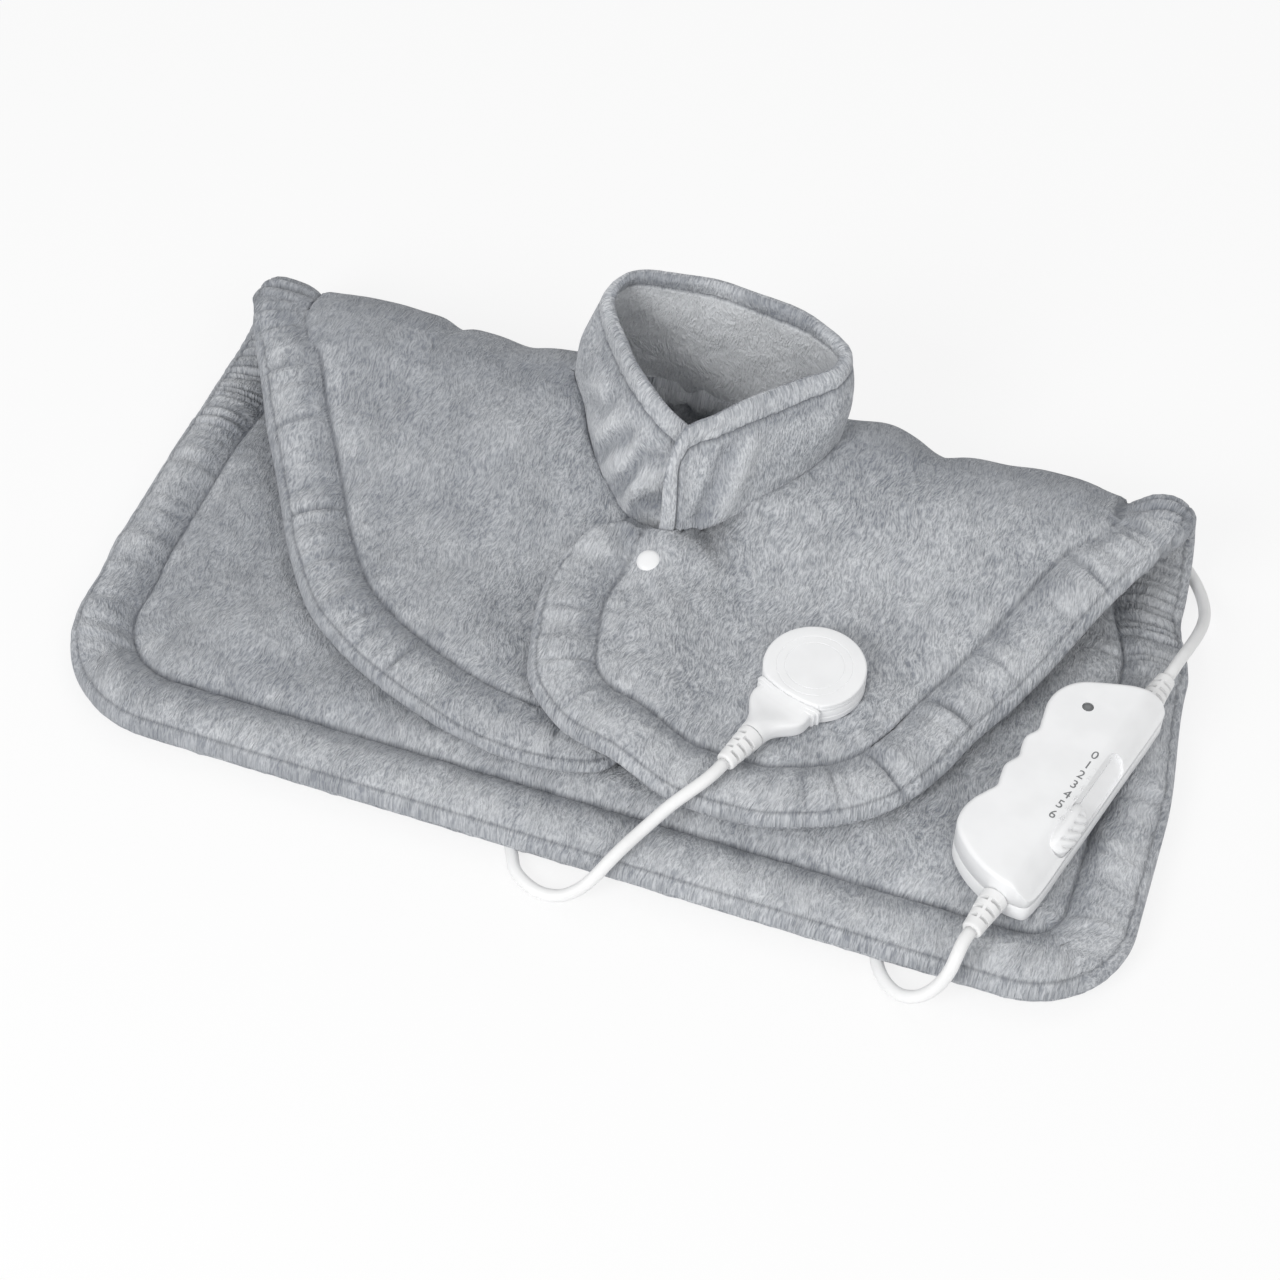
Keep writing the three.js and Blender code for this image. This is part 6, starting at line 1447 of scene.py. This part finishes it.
def disc_reach(turn):
    """The socket's outline: a circle whose front is a flatter arc with a notch at each end."""
    s = part("plug")
    radius = s.disc / 2
    half = math.sqrt(radius**2 - s.chord**2)
    arc = (half**2 + s.bow**2) / (2 * s.bow)
    back = arc - s.chord - s.bow
    across = back * np.cos(turn)
    front = -across + np.sqrt(across**2 + arc**2 - back**2)
    corner = math.atan2(half, s.chord)
    reach = np.where(np.abs(turn) < corner, np.minimum(front, radius), radius)
    return reach - 0.0006 * bump(np.abs(turn) - corner - 0.012, 0.02)


def disc_body(name, profile, circles):
    """A body of the socket's outline from inset and height pairs, then plain circles up to its middle."""
    turn = (np.arange(288) / 288 * 2 - 1) * HALF_TURN
    reach = disc_reach(turn)
    rings = [(reach - inset, z) for inset, z in profile]
    rings += [(np.full_like(turn, radius), z) for radius, z in circles]
    rings = [np.stack([r * np.cos(turn), r * np.sin(turn), np.full_like(turn, z)], axis=1) for r, z in rings]
    return loft(name, rings, plug_frame())


def build_socket():
    s = part("plug")
    body, lid, radius = s.body, s.lid, s.disc / 2
    groove = 0.00035
    housing = disc_body("socket_housing", [
        (0.0006, 0), (0, 0.0005), (0, body * 0.42), (groove, body * 0.45), (groove, body * 0.49),
        (0, body * 0.52), (0, body - 0.0003), (0.0002, body),
    ], [])
    half, foot = s.mouth_width / 2, s.mouth_floor
    low, high = (s.chord - s.mouth_depth, -half, foot), (s.chord + 0.01, half, foot + s.mouth_height)
    cut(housing, block(low, high, plug_frame()))
    seat = body + FIT
    top = seat + lid
    circles = [(radius * LID_RIM, top)]
    for share in LID_RINGS:
        circles += [(radius * share + step, top - depth) for step, depth in RING_SECTION]
    circles.append((radius * LID_MIDDLE, top))
    cover = disc_body("socket_lid", [
        (0.0002, seat), (0, seat + 0.0002), (0, seat + lid * 0.34), (0.0002, seat + lid * 0.38),
        (0.0002, seat + lid * 0.42), (0, seat + lid * 0.46), (0, top - 0.001), (0.00015, top - 0.0005),
        (0.0005, top - 0.00012), (0.001, top),
    ], circles)
    return housing, cover


def build_plug():
    """The plug's body, its front hollowed to the socket's bow, with the tongue that goes into the mouth."""
    s = part("plug")
    half_mouth = math.sqrt((s.disc / 2) ** 2 - s.chord**2)
    turn = np.arange(96) / 96 * TURN
    rings = []
    start = s.chord + FIT
    stops = np.array(PLUG_SHARES)
    places = np.concatenate([stops[:6, 0], np.linspace(stops[6, 0], 1, 26)])
    widths = np.concatenate([stops[:6, 1], curve_heights(stops[5:], places[6:])])
    for share, width in zip(places, widths):
        tail = eased(share, 0.35, 0.6)
        square = mix(PLUG_SQUARE, PLUG_ROUND, eased(share, 0.12, 0.75))
        high_share = min([1, *(height for place, height in PLUG_LEDGES if share > place)])
        up = mix(s.height / 2 * high_share, part("relief").base / 2, tail)
        middle = mix(s.height / 2 + FIT, s.axis, tail)
        c, d = np.cos(turn), np.sin(turn)
        across = width * s.shoulder * np.sign(c) * np.abs(c) ** (2 / square)
        high = middle + up * np.sign(d) * np.abs(d) ** (2 / square)
        bow = s.bow * np.clip(1 - (across / half_mouth) ** 2, 0, 1) * (1 - smooth_step(share / 0.4))
        rings.append(np.stack([start + share * s.length + bow, across, high], axis=1))
    lead = rings[0].copy()
    lead[:, 1:] = mix(np.array([0, s.height / 2]), lead[:, 1:], 0.94)
    body = loft("plug_body", [lead, *rings], plug_frame())
    low = s.mouth_floor + s.clearance
    high = s.mouth_floor + s.mouth_height - s.clearance
    half = s.mouth_width / 2 - s.clearance
    tongue = block((s.chord - s.tongue, -half, low), (start + s.bow + 0.001, half, high), plug_frame())
    bores = []
    for k in (-1, 0, 1):
        place = plug_frame() @ Matrix.Translation((s.chord - s.tongue - 0.001, k * s.pitch, (low + high) / 2))
        turned = place @ Matrix.Rotation(QUARTER_TURN, 4, "Y")
        bores.append(rod(s.contact / 2 + 0.0001, s.tongue, turned, 20))
    cut(tongue, *bores)
    return joined("plug_body", [body, tongue])


def curve_heights(stops, places):
    """Values at the places along a smooth curve through place and value pairs."""
    line = curve_points(stops, 400)
    return np.interp(places, line[:, 0], line[:, 1])


def joined(name, pieces):
    """Several bodies as one mesh."""
    cage = bmesh.new()
    for piece in pieces:
        cage.from_mesh(piece.data)
    made = new_object(name, [], [])
    made.data.materials.append(pieces[0].data.materials[0])
    cage.to_mesh(made.data)
    cage.free()
    for piece in pieces:
        bpy.data.objects.remove(piece)
    return made


def sleeve_ring(x, radius, around):
    """A ring about the X axis."""
    return np.stack([np.full(len(around), x), radius * np.cos(around), radius * np.sin(around)], axis=1)


def build_relief(name, place, length, stagger=0.0, width_share=1.0):
    """A tapered rubber sleeve along +X with four columns of slots."""
    s = part("relief")
    around = TURN * np.arange(SLEEVE_SIDES) / SLEEVE_SIDES
    pitch = length / (s.slots + 1.35)
    rings = [sleeve_ring(0, s.neck, around)]
    tip = length - np.array([0.0009, 0.0005, 0.0002, 0])
    for x in [0, 0.0002, *np.arange(0.0004, length - 0.0012, SLEEVE_STEP), *tip]:
        taper = smooth_step(x / length * 0.85 + 0.05)
        radius = np.full(SLEEVE_SIDES, mix(s.base, s.tip, taper) / 2)
        radius -= 0.0005 * (1 - rounded(x / 0.0005))
        radius -= 0.0009 * (1 - rounded((length - x) / 0.0012))
        for column in range(SLEEVE_COLUMNS):
            middle = (column + 0.5) * TURN / SLEEVE_COLUMNS
            off = np.abs((around - middle + HALF_TURN) % TURN - HALF_TURN)
            reach = smooth_step((s.slot_half * width_share - off) / 0.09 + 0.5)
            shift = stagger * pitch * (0.25 if column in (0, 3) else -0.25)
            for k in range(s.slots):
                away = abs(x - shift - (k + 1.15) * pitch)
                radius -= s.slot_depth * reach * smooth_step((s.slot_width / 2 - away) / 0.0003 + 0.5)
        rings.append(sleeve_ring(x, radius, around))
    rings.append(sleeve_ring(length, part("cords").diameter / 2, around))
    return loft(name, rings, place, "white_rubber")


# Controller, in a frame whose +X runs to the mains end and whose +Y runs to the grip side


def case_frame():
    s = part("controller")
    return standing(s.x, s.y, s.z, s.turn)


def slope_frame():
    """The slope's own frame: +X along the case, +Z square out of the slope."""
    s = part("controller")
    middle = (0, s.slope / 2, s.height - s.slope / 2)
    return case_frame() @ Matrix.Translation(middle) @ Matrix.Rotation(QUARTER_TURN / 2, 4, "X")


def case_body(name, inset, low, top, slope_drop=None):
    """A closed body inside the case's outline, flat at low and rounded at top."""
    s = part("controller")
    step, sides, edge_steps = CASE_NET
    outline = curve_points(np.array(CASE_SHARES) * [s.length, s.width], sides, closed=True)
    inward = rim_line(outline, True)
    if not inside_outline((outline[0] + inward[0] * 0.002)[None], outline)[0]:
        inward = -inward
    outline = outline + inward * inset
    radius = max(s.edge - inset, 0.001)
    where, faces, origin = fine_net(outline, outline, None, quarter_steps(radius, edge_steps)[1:], step)
    edge, _ = distance_to(where, outline)
    order = np.zeros(len(outline), int)
    for k, source in enumerate(origin):
        if source >= 0:
            order[source] = k
    edge[order] = 0
    up = 1 if top > low else -1
    height = top - up * radius * (1 - rounded(edge / radius))
    if slope_drop is not None:
        slope = s.height - s.slope - slope_drop * math.sqrt(2) + where[:, 1]
        slope -= 0.0011 * np.clip(1 - (where[:, 1] - inset) / 0.0024, 0, 1) ** 2
        height = -s.soft * np.logaddexp(-height / s.soft, -slope / s.soft)
        height = np.maximum(height, low + 0.0008)
    cap = np.column_stack([where, height])
    wall = []
    for level, back in ((0.0004, 0), (0, 0.0003)):
        wall.append(np.column_stack([outline + inward * back, np.full(len(outline), low + up * level)]))
    points = np.concatenate([cap, *wall])
    rows = [order, len(cap) + np.arange(sides), len(cap) + sides + np.arange(sides)]
    net = [tuple(face) for face in faces]
    for a, b in zip(rows, rows[1:]):
        net += [(a[k], a[(k + 1) % sides], b[(k + 1) % sides], b[k]) for k in range(sides)]
    net.append(tuple(rows[-1]))
    made = new_object(name, points, net, "white_shell")
    made.data.transform(case_frame())
    return tidy(made, 1e-6, SHARP)


def stadium(start, end, half, low, high, shift=0.0):
    """A long slot's shape with round ends in the slope's frame, used to cut."""
    turns = np.linspace(-QUARTER_TURN, QUARTER_TURN, 25)
    right = [(end - half + half * math.cos(t), half * math.sin(t) + shift) for t in turns]
    left = [(start + half - half * math.cos(t), -half * math.sin(t) + shift) for t in turns]
    rings = [[(x, y, z) for x, y in [*right, *left]] for z in (low, high)]
    return loft("cutter", rings, slope_frame())


def build_case():
    """Both shells of the controller, with the slider's recess and slot and the lamp's hole."""
    s = part("controller")
    gap = 0.00015
    upper = case_body("controller_upper", 0, s.parting + gap, s.height, 0)
    hollow = case_body("cutter", s.wall, s.parting - 0.003, s.height - s.wall, s.recess_depth + s.slot_floor)
    open_side = s.slope / math.sqrt(2) + s.recess_half
    half = (s.recess_half + open_side) / 2
    recess = stadium(s.recess_start, s.recess_end, half, -s.recess_depth, 0.01, s.recess_half - half)
    start, end = s.recess_start + 0.003, s.recess_end - 0.003
    groove = stadium(start, end, s.groove_half, -s.recess_depth - s.groove_depth, 0)
    lamp_place = case_frame() @ Matrix.Translation((s.led_x, s.led_y, s.height - 0.006))
    cut(upper, hollow, recess, groove, rod(s.led / 2 + 0.0002, 0.03, lamp_place), *relief_bores())
    lower = case_body("controller_lower", 0, s.parting - gap, 0)
    cut(lower, case_body("cutter", s.wall, s.parting + 0.003, s.wall), *relief_bores())
    return upper, lower


def relief_bores():
    """The holes for the necks of both strain reliefs."""
    s = part("controller")
    bores = []
    for side, place in ((-1, s.pad_side), (1, s.mains_side)):
        start = case_frame() @ Matrix.Translation((side * s.length * 0.44, place, s.parting))
        turned = start @ Matrix.Rotation(side * QUARTER_TURN, 4, "Y")
        bores.append(rod(part("relief").neck + 0.0002, s.length * 0.1, turned, 40))
    return bores


def build_knob():
    """The slider's knob: a rounded pod with slanting grooves on its outer half."""
    s = part("controller")
    sides, rows = 120, 26
    turn = np.arange(sides) / sides * TURN
    base = -s.recess_depth + 0.0003
    c, d = np.cos(turn), np.sin(turn)
    x = s.knob_length / 2 * np.sign(c) * np.abs(c) ** 0.72
    y = s.knob_width / 2 * np.sign(d) * np.abs(d) ** 0.8
    y = np.where(y < 0, y * (1 + 2 * s.knob_overhang / s.knob_width), y)
    rings = [np.stack([x * 0.94, y * 0.92, np.full(sides, base)], axis=1)]
    rings.append(np.stack([x, y, np.full(sides, base + 0.0003)], axis=1))
    for k in range(rows):
        rise = (k + 1) / (rows + 1) * QUARTER_TURN
        share = math.cos(rise) ** 0.75
        u, v = x * share, y * share
        z = np.full(sides, base + 0.0012 + (s.knob_height - 0.0012) * math.sin(rise) ** 0.9)
        outer = eased(v, 0.0012, -0.0016) * eased(np.abs(u), s.knob_length * 0.4, -0.002)
        across = ((u + v * 0.9) / s.ridge_pitch) % 1 - 0.5
        z -= s.ridge * outer * bump(across, 0.17) * math.sin(rise) ** 0.5
        rings.append(np.stack([u, v, z], axis=1))
    place = slope_frame() @ Matrix.Translation((s.last_setting, 0, 0))
    return loft("slider_knob", rings, place, sharp=math.radians(60))


def build_lens():
    s = part("controller")
    radius = s.led / 2
    profile = [(radius * 0.9, -0.004), (radius, -0.0036), (radius, -0.0004), (radius * 0.94, -0.0001)]
    for t in np.linspace(0.1, 1.5, 8):
        profile.append((radius * 0.9 * math.cos(t), -0.0001 + 0.0006 * math.sin(t)))
    place = case_frame() @ Matrix.Translation((s.led_x, s.led_y, s.height - 0.0002))
    return lathe("led_lens", profile, place, "lamp_grey")


def digit_frame(k):
    """The frame of the printed number k: its right is the slider's side, its up the mains end."""
    s = part("controller")
    x = s.last_setting + (s.settings - 1 - k) * s.setting_pitch
    place = case_frame() @ Matrix.Translation((x, s.digit_y, s.height))
    return place @ Matrix.Rotation(-QUARTER_TURN, 4, "Z")


def build_numbers():
    """The printed numbers 0 to 6, as thin flat shapes."""
    s = part("controller")
    made = []
    for k in range(s.settings):
        text = bpy.data.curves.new("number", "FONT")
        text.body = str(k)
        text.align_x = "CENTER"
        text.align_y = "CENTER"
        text.extrude = 0.008
        text.resolution_u = 4
        letter = bpy.data.objects.new("number", text)
        bpy.context.scene.collection.objects.link(letter)
        flat = new_object("number", [], [])
        flat.data = settled(letter)
        flat.data.materials.clear()
        flat.data.materials.append(material("ink"))
        places = points_of(flat)
        low, high = places.min(0), places.max(0)
        scale = s.digit / (high[1] - low[1])
        middle = (low + high) / 2
        flat.data.transform(digit_frame(k) @ Matrix.Scale(scale, 4) @ Matrix.Translation(-Vector(middle)))
        bpy.data.objects.remove(letter)
        made.append(flat)
    return joined("numbers", made)


def build_dots():
    """The raised dots beside the numbers, one for each step of heat."""
    s = part("controller")
    places = []
    for k in range(1, s.settings):
        for n in range(k):
            column, row = divmod(n, 2)
            place = (s.digit * 0.75 + column * s.dot_pitch, (row - 0.5) * s.dot_pitch, -0.0001)
            places.append(digit_frame(k) @ Vector(place))
    ball = (s.dot, s.dot, s.dot * 0.9)
    return repeated("raised_dots", places, [(0, 0, 0)] * len(places), ball, "white_shell")


def build_snap():
    s = part("snap")
    radius, high = s.diameter / 2, s.height
    profile = [(radius * 0.9, -high), (radius, -high * 0.8)]
    for t in np.linspace(0, 1.5, 14):
        profile.append((radius * math.cos(t) ** 0.7, -high * 0.55 + high * 0.55 * math.sin(t)))
    place = Matrix.Translation((s.x, s.y, s.top)) @ Matrix.Rotation(s.tilt, 4, "X")
    return lathe("snap_cap", profile, place)


def dress(made, body, finish_slot, *nodes):
    """Hangs a piece on the body that it rides on and hides the CAD nodes that it stands for; finish_slot is
    not used.
    """
    if nodes:
        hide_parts(*nodes)
    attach(made, body)


class PADHEAT_OT_cords(bpy.types.Operator):
    """Lays the pad's cord and the mains cord with its coil"""

    bl_idname = "padheat.cords"
    bl_label = "Cords"

    def execute(self, context):
        s = part("cords")
        step = s.diameter * 0.4
        stops = [*PAD_CORD_ROUTE, *UNDER_CORD_ROUTE]
        line = curve_points(stops, round(run_length(stops) / step))
        pad_cord = tube("pad_cord", line, s.diameter / 2, "white_rubber")
        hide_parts("pad_cord_1", "pad_cord_2")
        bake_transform(pad_cord)
        lead = curve_points(MAINS_CORD_ROUTE, round(run_length(MAINS_CORD_ROUTE) / step))
        tail = curve_points(TAIL_CORD_ROUTE, round(run_length(TAIL_CORD_ROUTE) / step))
        turns = coil_turns(s)
        line = np.concatenate([lead[:-1], spaced(turns, round(run_length(turns) / step)), tail[1:]])
        mains_cord = tube("mains_cord", line, s.diameter / 2, "white_rubber")
        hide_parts("mains_cord_run", "mains_cord_coil", "mains_cord_tail")
        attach(mains_cord, "pad")
        return {"FINISHED"}


class PADHEAT_OT_cape(bpy.types.Operator):
    """Sews the plush cape: back panel, fold and both flaps with their stuffed hems"""

    bl_idname = "padheat.cape"
    bl_label = "Cape"

    def execute(self, context):
        cape = build_cape()
        panels = ("back", "left_flap", "right_flap")
        covers = [panel + "_cover_" + layer for panel in panels for layer in ("lower", "upper")]
        dress(cape, "pad", "plush", *covers)
        return {"FINISHED"}


class PADHEAT_OT_collar(bpy.types.Operator):
    """Sews the stand-up collar with its topstitch, and sets the snap's cap"""

    bl_idname = "padheat.collar"
    bl_label = "Collar and snap"

    def execute(self, context):
        made, collar = build_collar()
        dress(made, "pad", "plush", "collar_outer", "collar_lining")
        dress(collar_stitches(collar), "pad", "plush")
        dress(build_snap(), "pad", "white_shell", "snap_cap")
        return {"FINISHED"}


class PADHEAT_OT_plug(bpy.types.Operator):
    """Makes the socket, the plug with its tongue, and the plug's strain relief"""

    bl_idname = "padheat.plug"
    bl_label = "Socket and plug"

    def execute(self, context):
        s = part("plug")
        housing, cover = build_socket()
        dress(housing, "pad", "white_shell", "socket_housing")
        dress(cover, "pad", "white_shell", "socket_lid")
        dress(build_plug(), "connector_plug", "white_shell", "plug_lower_shell", "plug_upper_shell")
        place = plug_frame() @ Matrix.Translation((s.chord + s.length + 0.0006, 0, s.axis))
        relief = build_relief("plug_relief", place, s.relief, 1, 1.15)
        dress(relief, "connector_plug", "white_rubber", "plug_strain_relief")
        return {"FINISHED"}


class PADHEAT_OT_controller(bpy.types.Operator):
    """Makes the hand controller: shells, knob, lamp lens, numbers, raised dots and strain reliefs"""

    bl_idname = "padheat.controller"
    bl_label = "Controller"

    def execute(self, context):
        s = part("controller")
        upper, lower = build_case()
        dress(upper, "pad", "white_shell", "controller_upper_shell")
        dress(lower, "pad", "white_shell", "controller_lower_shell")
        dress(build_knob(), "slider", "white_shell", "slider_knob")
        dress(build_lens(), "pad", "lamp_grey", "led_lens")
        dress(build_numbers(), "pad", "dark_plastic")
        dress(build_dots(), "pad", "white_shell")
        reliefs = (("pad_side_relief", -1, s.pad_side), ("mains_side_relief", 1, s.mains_side))
        for name, side, across in reliefs:
            place = case_frame() @ Matrix.Translation((side * (s.length / 2 + FIT), across, s.parting))
            if side < 0:
                place = place @ Matrix.Rotation(HALF_TURN, 4, "Z")
            dress(build_relief(name + "_sleeve", place, s.relief), "pad", "white_rubber", name)
        return {"FINISHED"}


class PADHEAT_OT_inside(bpy.types.Operator):
    """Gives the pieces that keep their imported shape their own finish"""

    bl_idname = "padheat.inside"
    bl_label = "Inner pieces"

    def execute(self, context):
        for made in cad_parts.values():
            if made.hide_render:
                continue
            finish = made.data.materials[0].name.split(".")[0]
            made.data.materials.clear()
            made.data.materials.append(material("lining" if finish == "plush" else finish))
        return {"FINISHED"}


class PADHEAT_OT_stage(bpy.types.Operator):
    """Sets the camera, the pale floor and the soft studio light"""

    bl_idname = "padheat.stage"
    bl_label = "Stage"

    def execute(self, context):
        s = part("stage")
        scene = context.scene
        azimuth, elevation = math.radians(s.azimuth), math.radians(s.elevation)
        target = Vector((s.look_x, s.look_y, s.look_z))
        level = math.cos(elevation)
        back = Vector((math.sin(azimuth) * level, -math.cos(azimuth) * level, math.sin(elevation)))
        camera = bpy.data.objects.new("camera", bpy.data.cameras.new("camera"))
        scene.collection.objects.link(camera)
        camera.location = target + back * s.distance
        camera.rotation_euler = (-back).to_track_quat("-Z", "Y").to_euler()
        camera.data.lens = s.focal
        camera.data.sensor_width = 36
        camera.data.clip_start = 0.05
        camera.data.clip_end = 50
        scene.camera = camera
        scene.view_settings.view_transform = "Standard"
        reach = 6
        corners = [(-reach, -reach, 0), (reach, -reach, 0), (reach, reach, 0), (-reach, reach, 0)]
        floor = new_object("floor", corners, [(0, 1, 2, 3)], smooth=False)
        floor.data.materials.append(self.floor_material())
        world = bpy.data.worlds.new("studio")
        scene.world = world
        world.use_nodes = True
        self.world_light(world.node_tree)
        for name, (place, width, power) in LAMPS.items():
            self.lamp(name, place, width, power)
        return {"FINISHED"}

    def floor_material(self):
        """White where the camera, or a reflection, sees the bare floor, with the object's shadow."""
        n = Nodes("floor")
        rays = n.add("ShaderNodeLightPath").outputs
        seen = rays["Is Camera Ray"]
        for other in ("Is Glossy Ray", "Is Transmission Ray"):
            seen = n.add("ShaderNodeMath", {0: seen, 1: rays[other]}, operation="MAXIMUM").outputs[0]
        plain = n.add("ShaderNodeBsdfDiffuse", Color=(0.9, 0.9, 0.9, 1)).outputs[0]
        glow = n.add("ShaderNodeEmission", Color=(1, 1, 1, 1)).outputs[0]
        lift = n.add("ShaderNodeMixShader", {1: plain, 2: glow}, Fac=FLOOR_GLOW).outputs[0]
        shown = n.add("ShaderNodeMixShader", {0: seen, 1: plain, 2: lift}).outputs[0]
        n.tree.links.new(shown, n.tree.nodes["Material Output"].inputs["Surface"])
        n.tree.nodes.remove(n.shader)
        return n.material

    def world_light(self, tree):
        """A dim white light all round, and plain white where the camera sees the backdrop."""
        tree.nodes.clear()
        seen = add_node(tree, "ShaderNodeLightPath").outputs["Is Camera Ray"]
        dim, white = (
            add_node(tree, "ShaderNodeBackground", Color=(1, 1, 1, 1), Strength=strength).outputs[0]
            for strength in WORLD_STRENGTHS
        )
        blend = add_node(tree, "ShaderNodeMixShader", {0: seen, 1: dim, 2: white})
        add_node(tree, "ShaderNodeOutputWorld", {0: blend.outputs[0]})

    def lamp(self, name, place, width, power):
        light = bpy.data.lights.new(name, "AREA")
        light.size = width
        light.energy = power
        made = bpy.data.objects.new(name, light)
        bpy.context.scene.collection.objects.link(made)
        made.location = place
        made.rotation_euler = (-Vector(place)).to_track_quat("-Z", "Y").to_euler()


class PADHEAT_PT_panel(bpy.types.Panel):
    """Lists the pieces of the heating pad"""

    bl_idname = "PADHEAT_PT_panel"
    bl_label = "Heating pad"
    bl_space_type = "VIEW_3D"
    bl_region_type = "UI"
    bl_category = "Heating pad"

    def draw(self, context):
        for name in STEPS:
            self.layout.operator("padheat." + name)
        for name in GROUPS:
            box = self.layout.box()
            settings = part(name)
            for key in settings.__annotations__:
                box.prop(settings, key)


STEPS = ["stage", "cords", "cape", "collar", "plug", "controller", "inside"]
GROUPS = {
    "cape": CapeSizes, "collar": CollarSizes, "snap": SnapSizes, "cords": CordSizes, "plug": PlugSizes,
    "relief": ReliefSizes, "controller": ControllerSizes, "finish": Finish, "stage": StageSettings,
}
CLASSES = [
    *GROUPS.values(), PADHEAT_OT_stage, PADHEAT_OT_cords, PADHEAT_OT_cape, PADHEAT_OT_collar,
    PADHEAT_OT_plug, PADHEAT_OT_controller, PADHEAT_OT_inside, PADHEAT_PT_panel,
]


def register():
    for kind in CLASSES:
        bpy.utils.register_class(kind)
    for name, kind in GROUPS.items():
        setattr(bpy.types.Scene, "heating_pad_" + name, PointerProperty(type=kind))


def unregister():
    for name in GROUPS:
        delattr(bpy.types.Scene, "heating_pad_" + name)
    for kind in reversed(CLASSES):
        bpy.utils.unregister_class(kind)


def main():
    register()
    for name in STEPS:
        getattr(bpy.ops.padheat, name)()


if __name__ == "__main__":
    main()
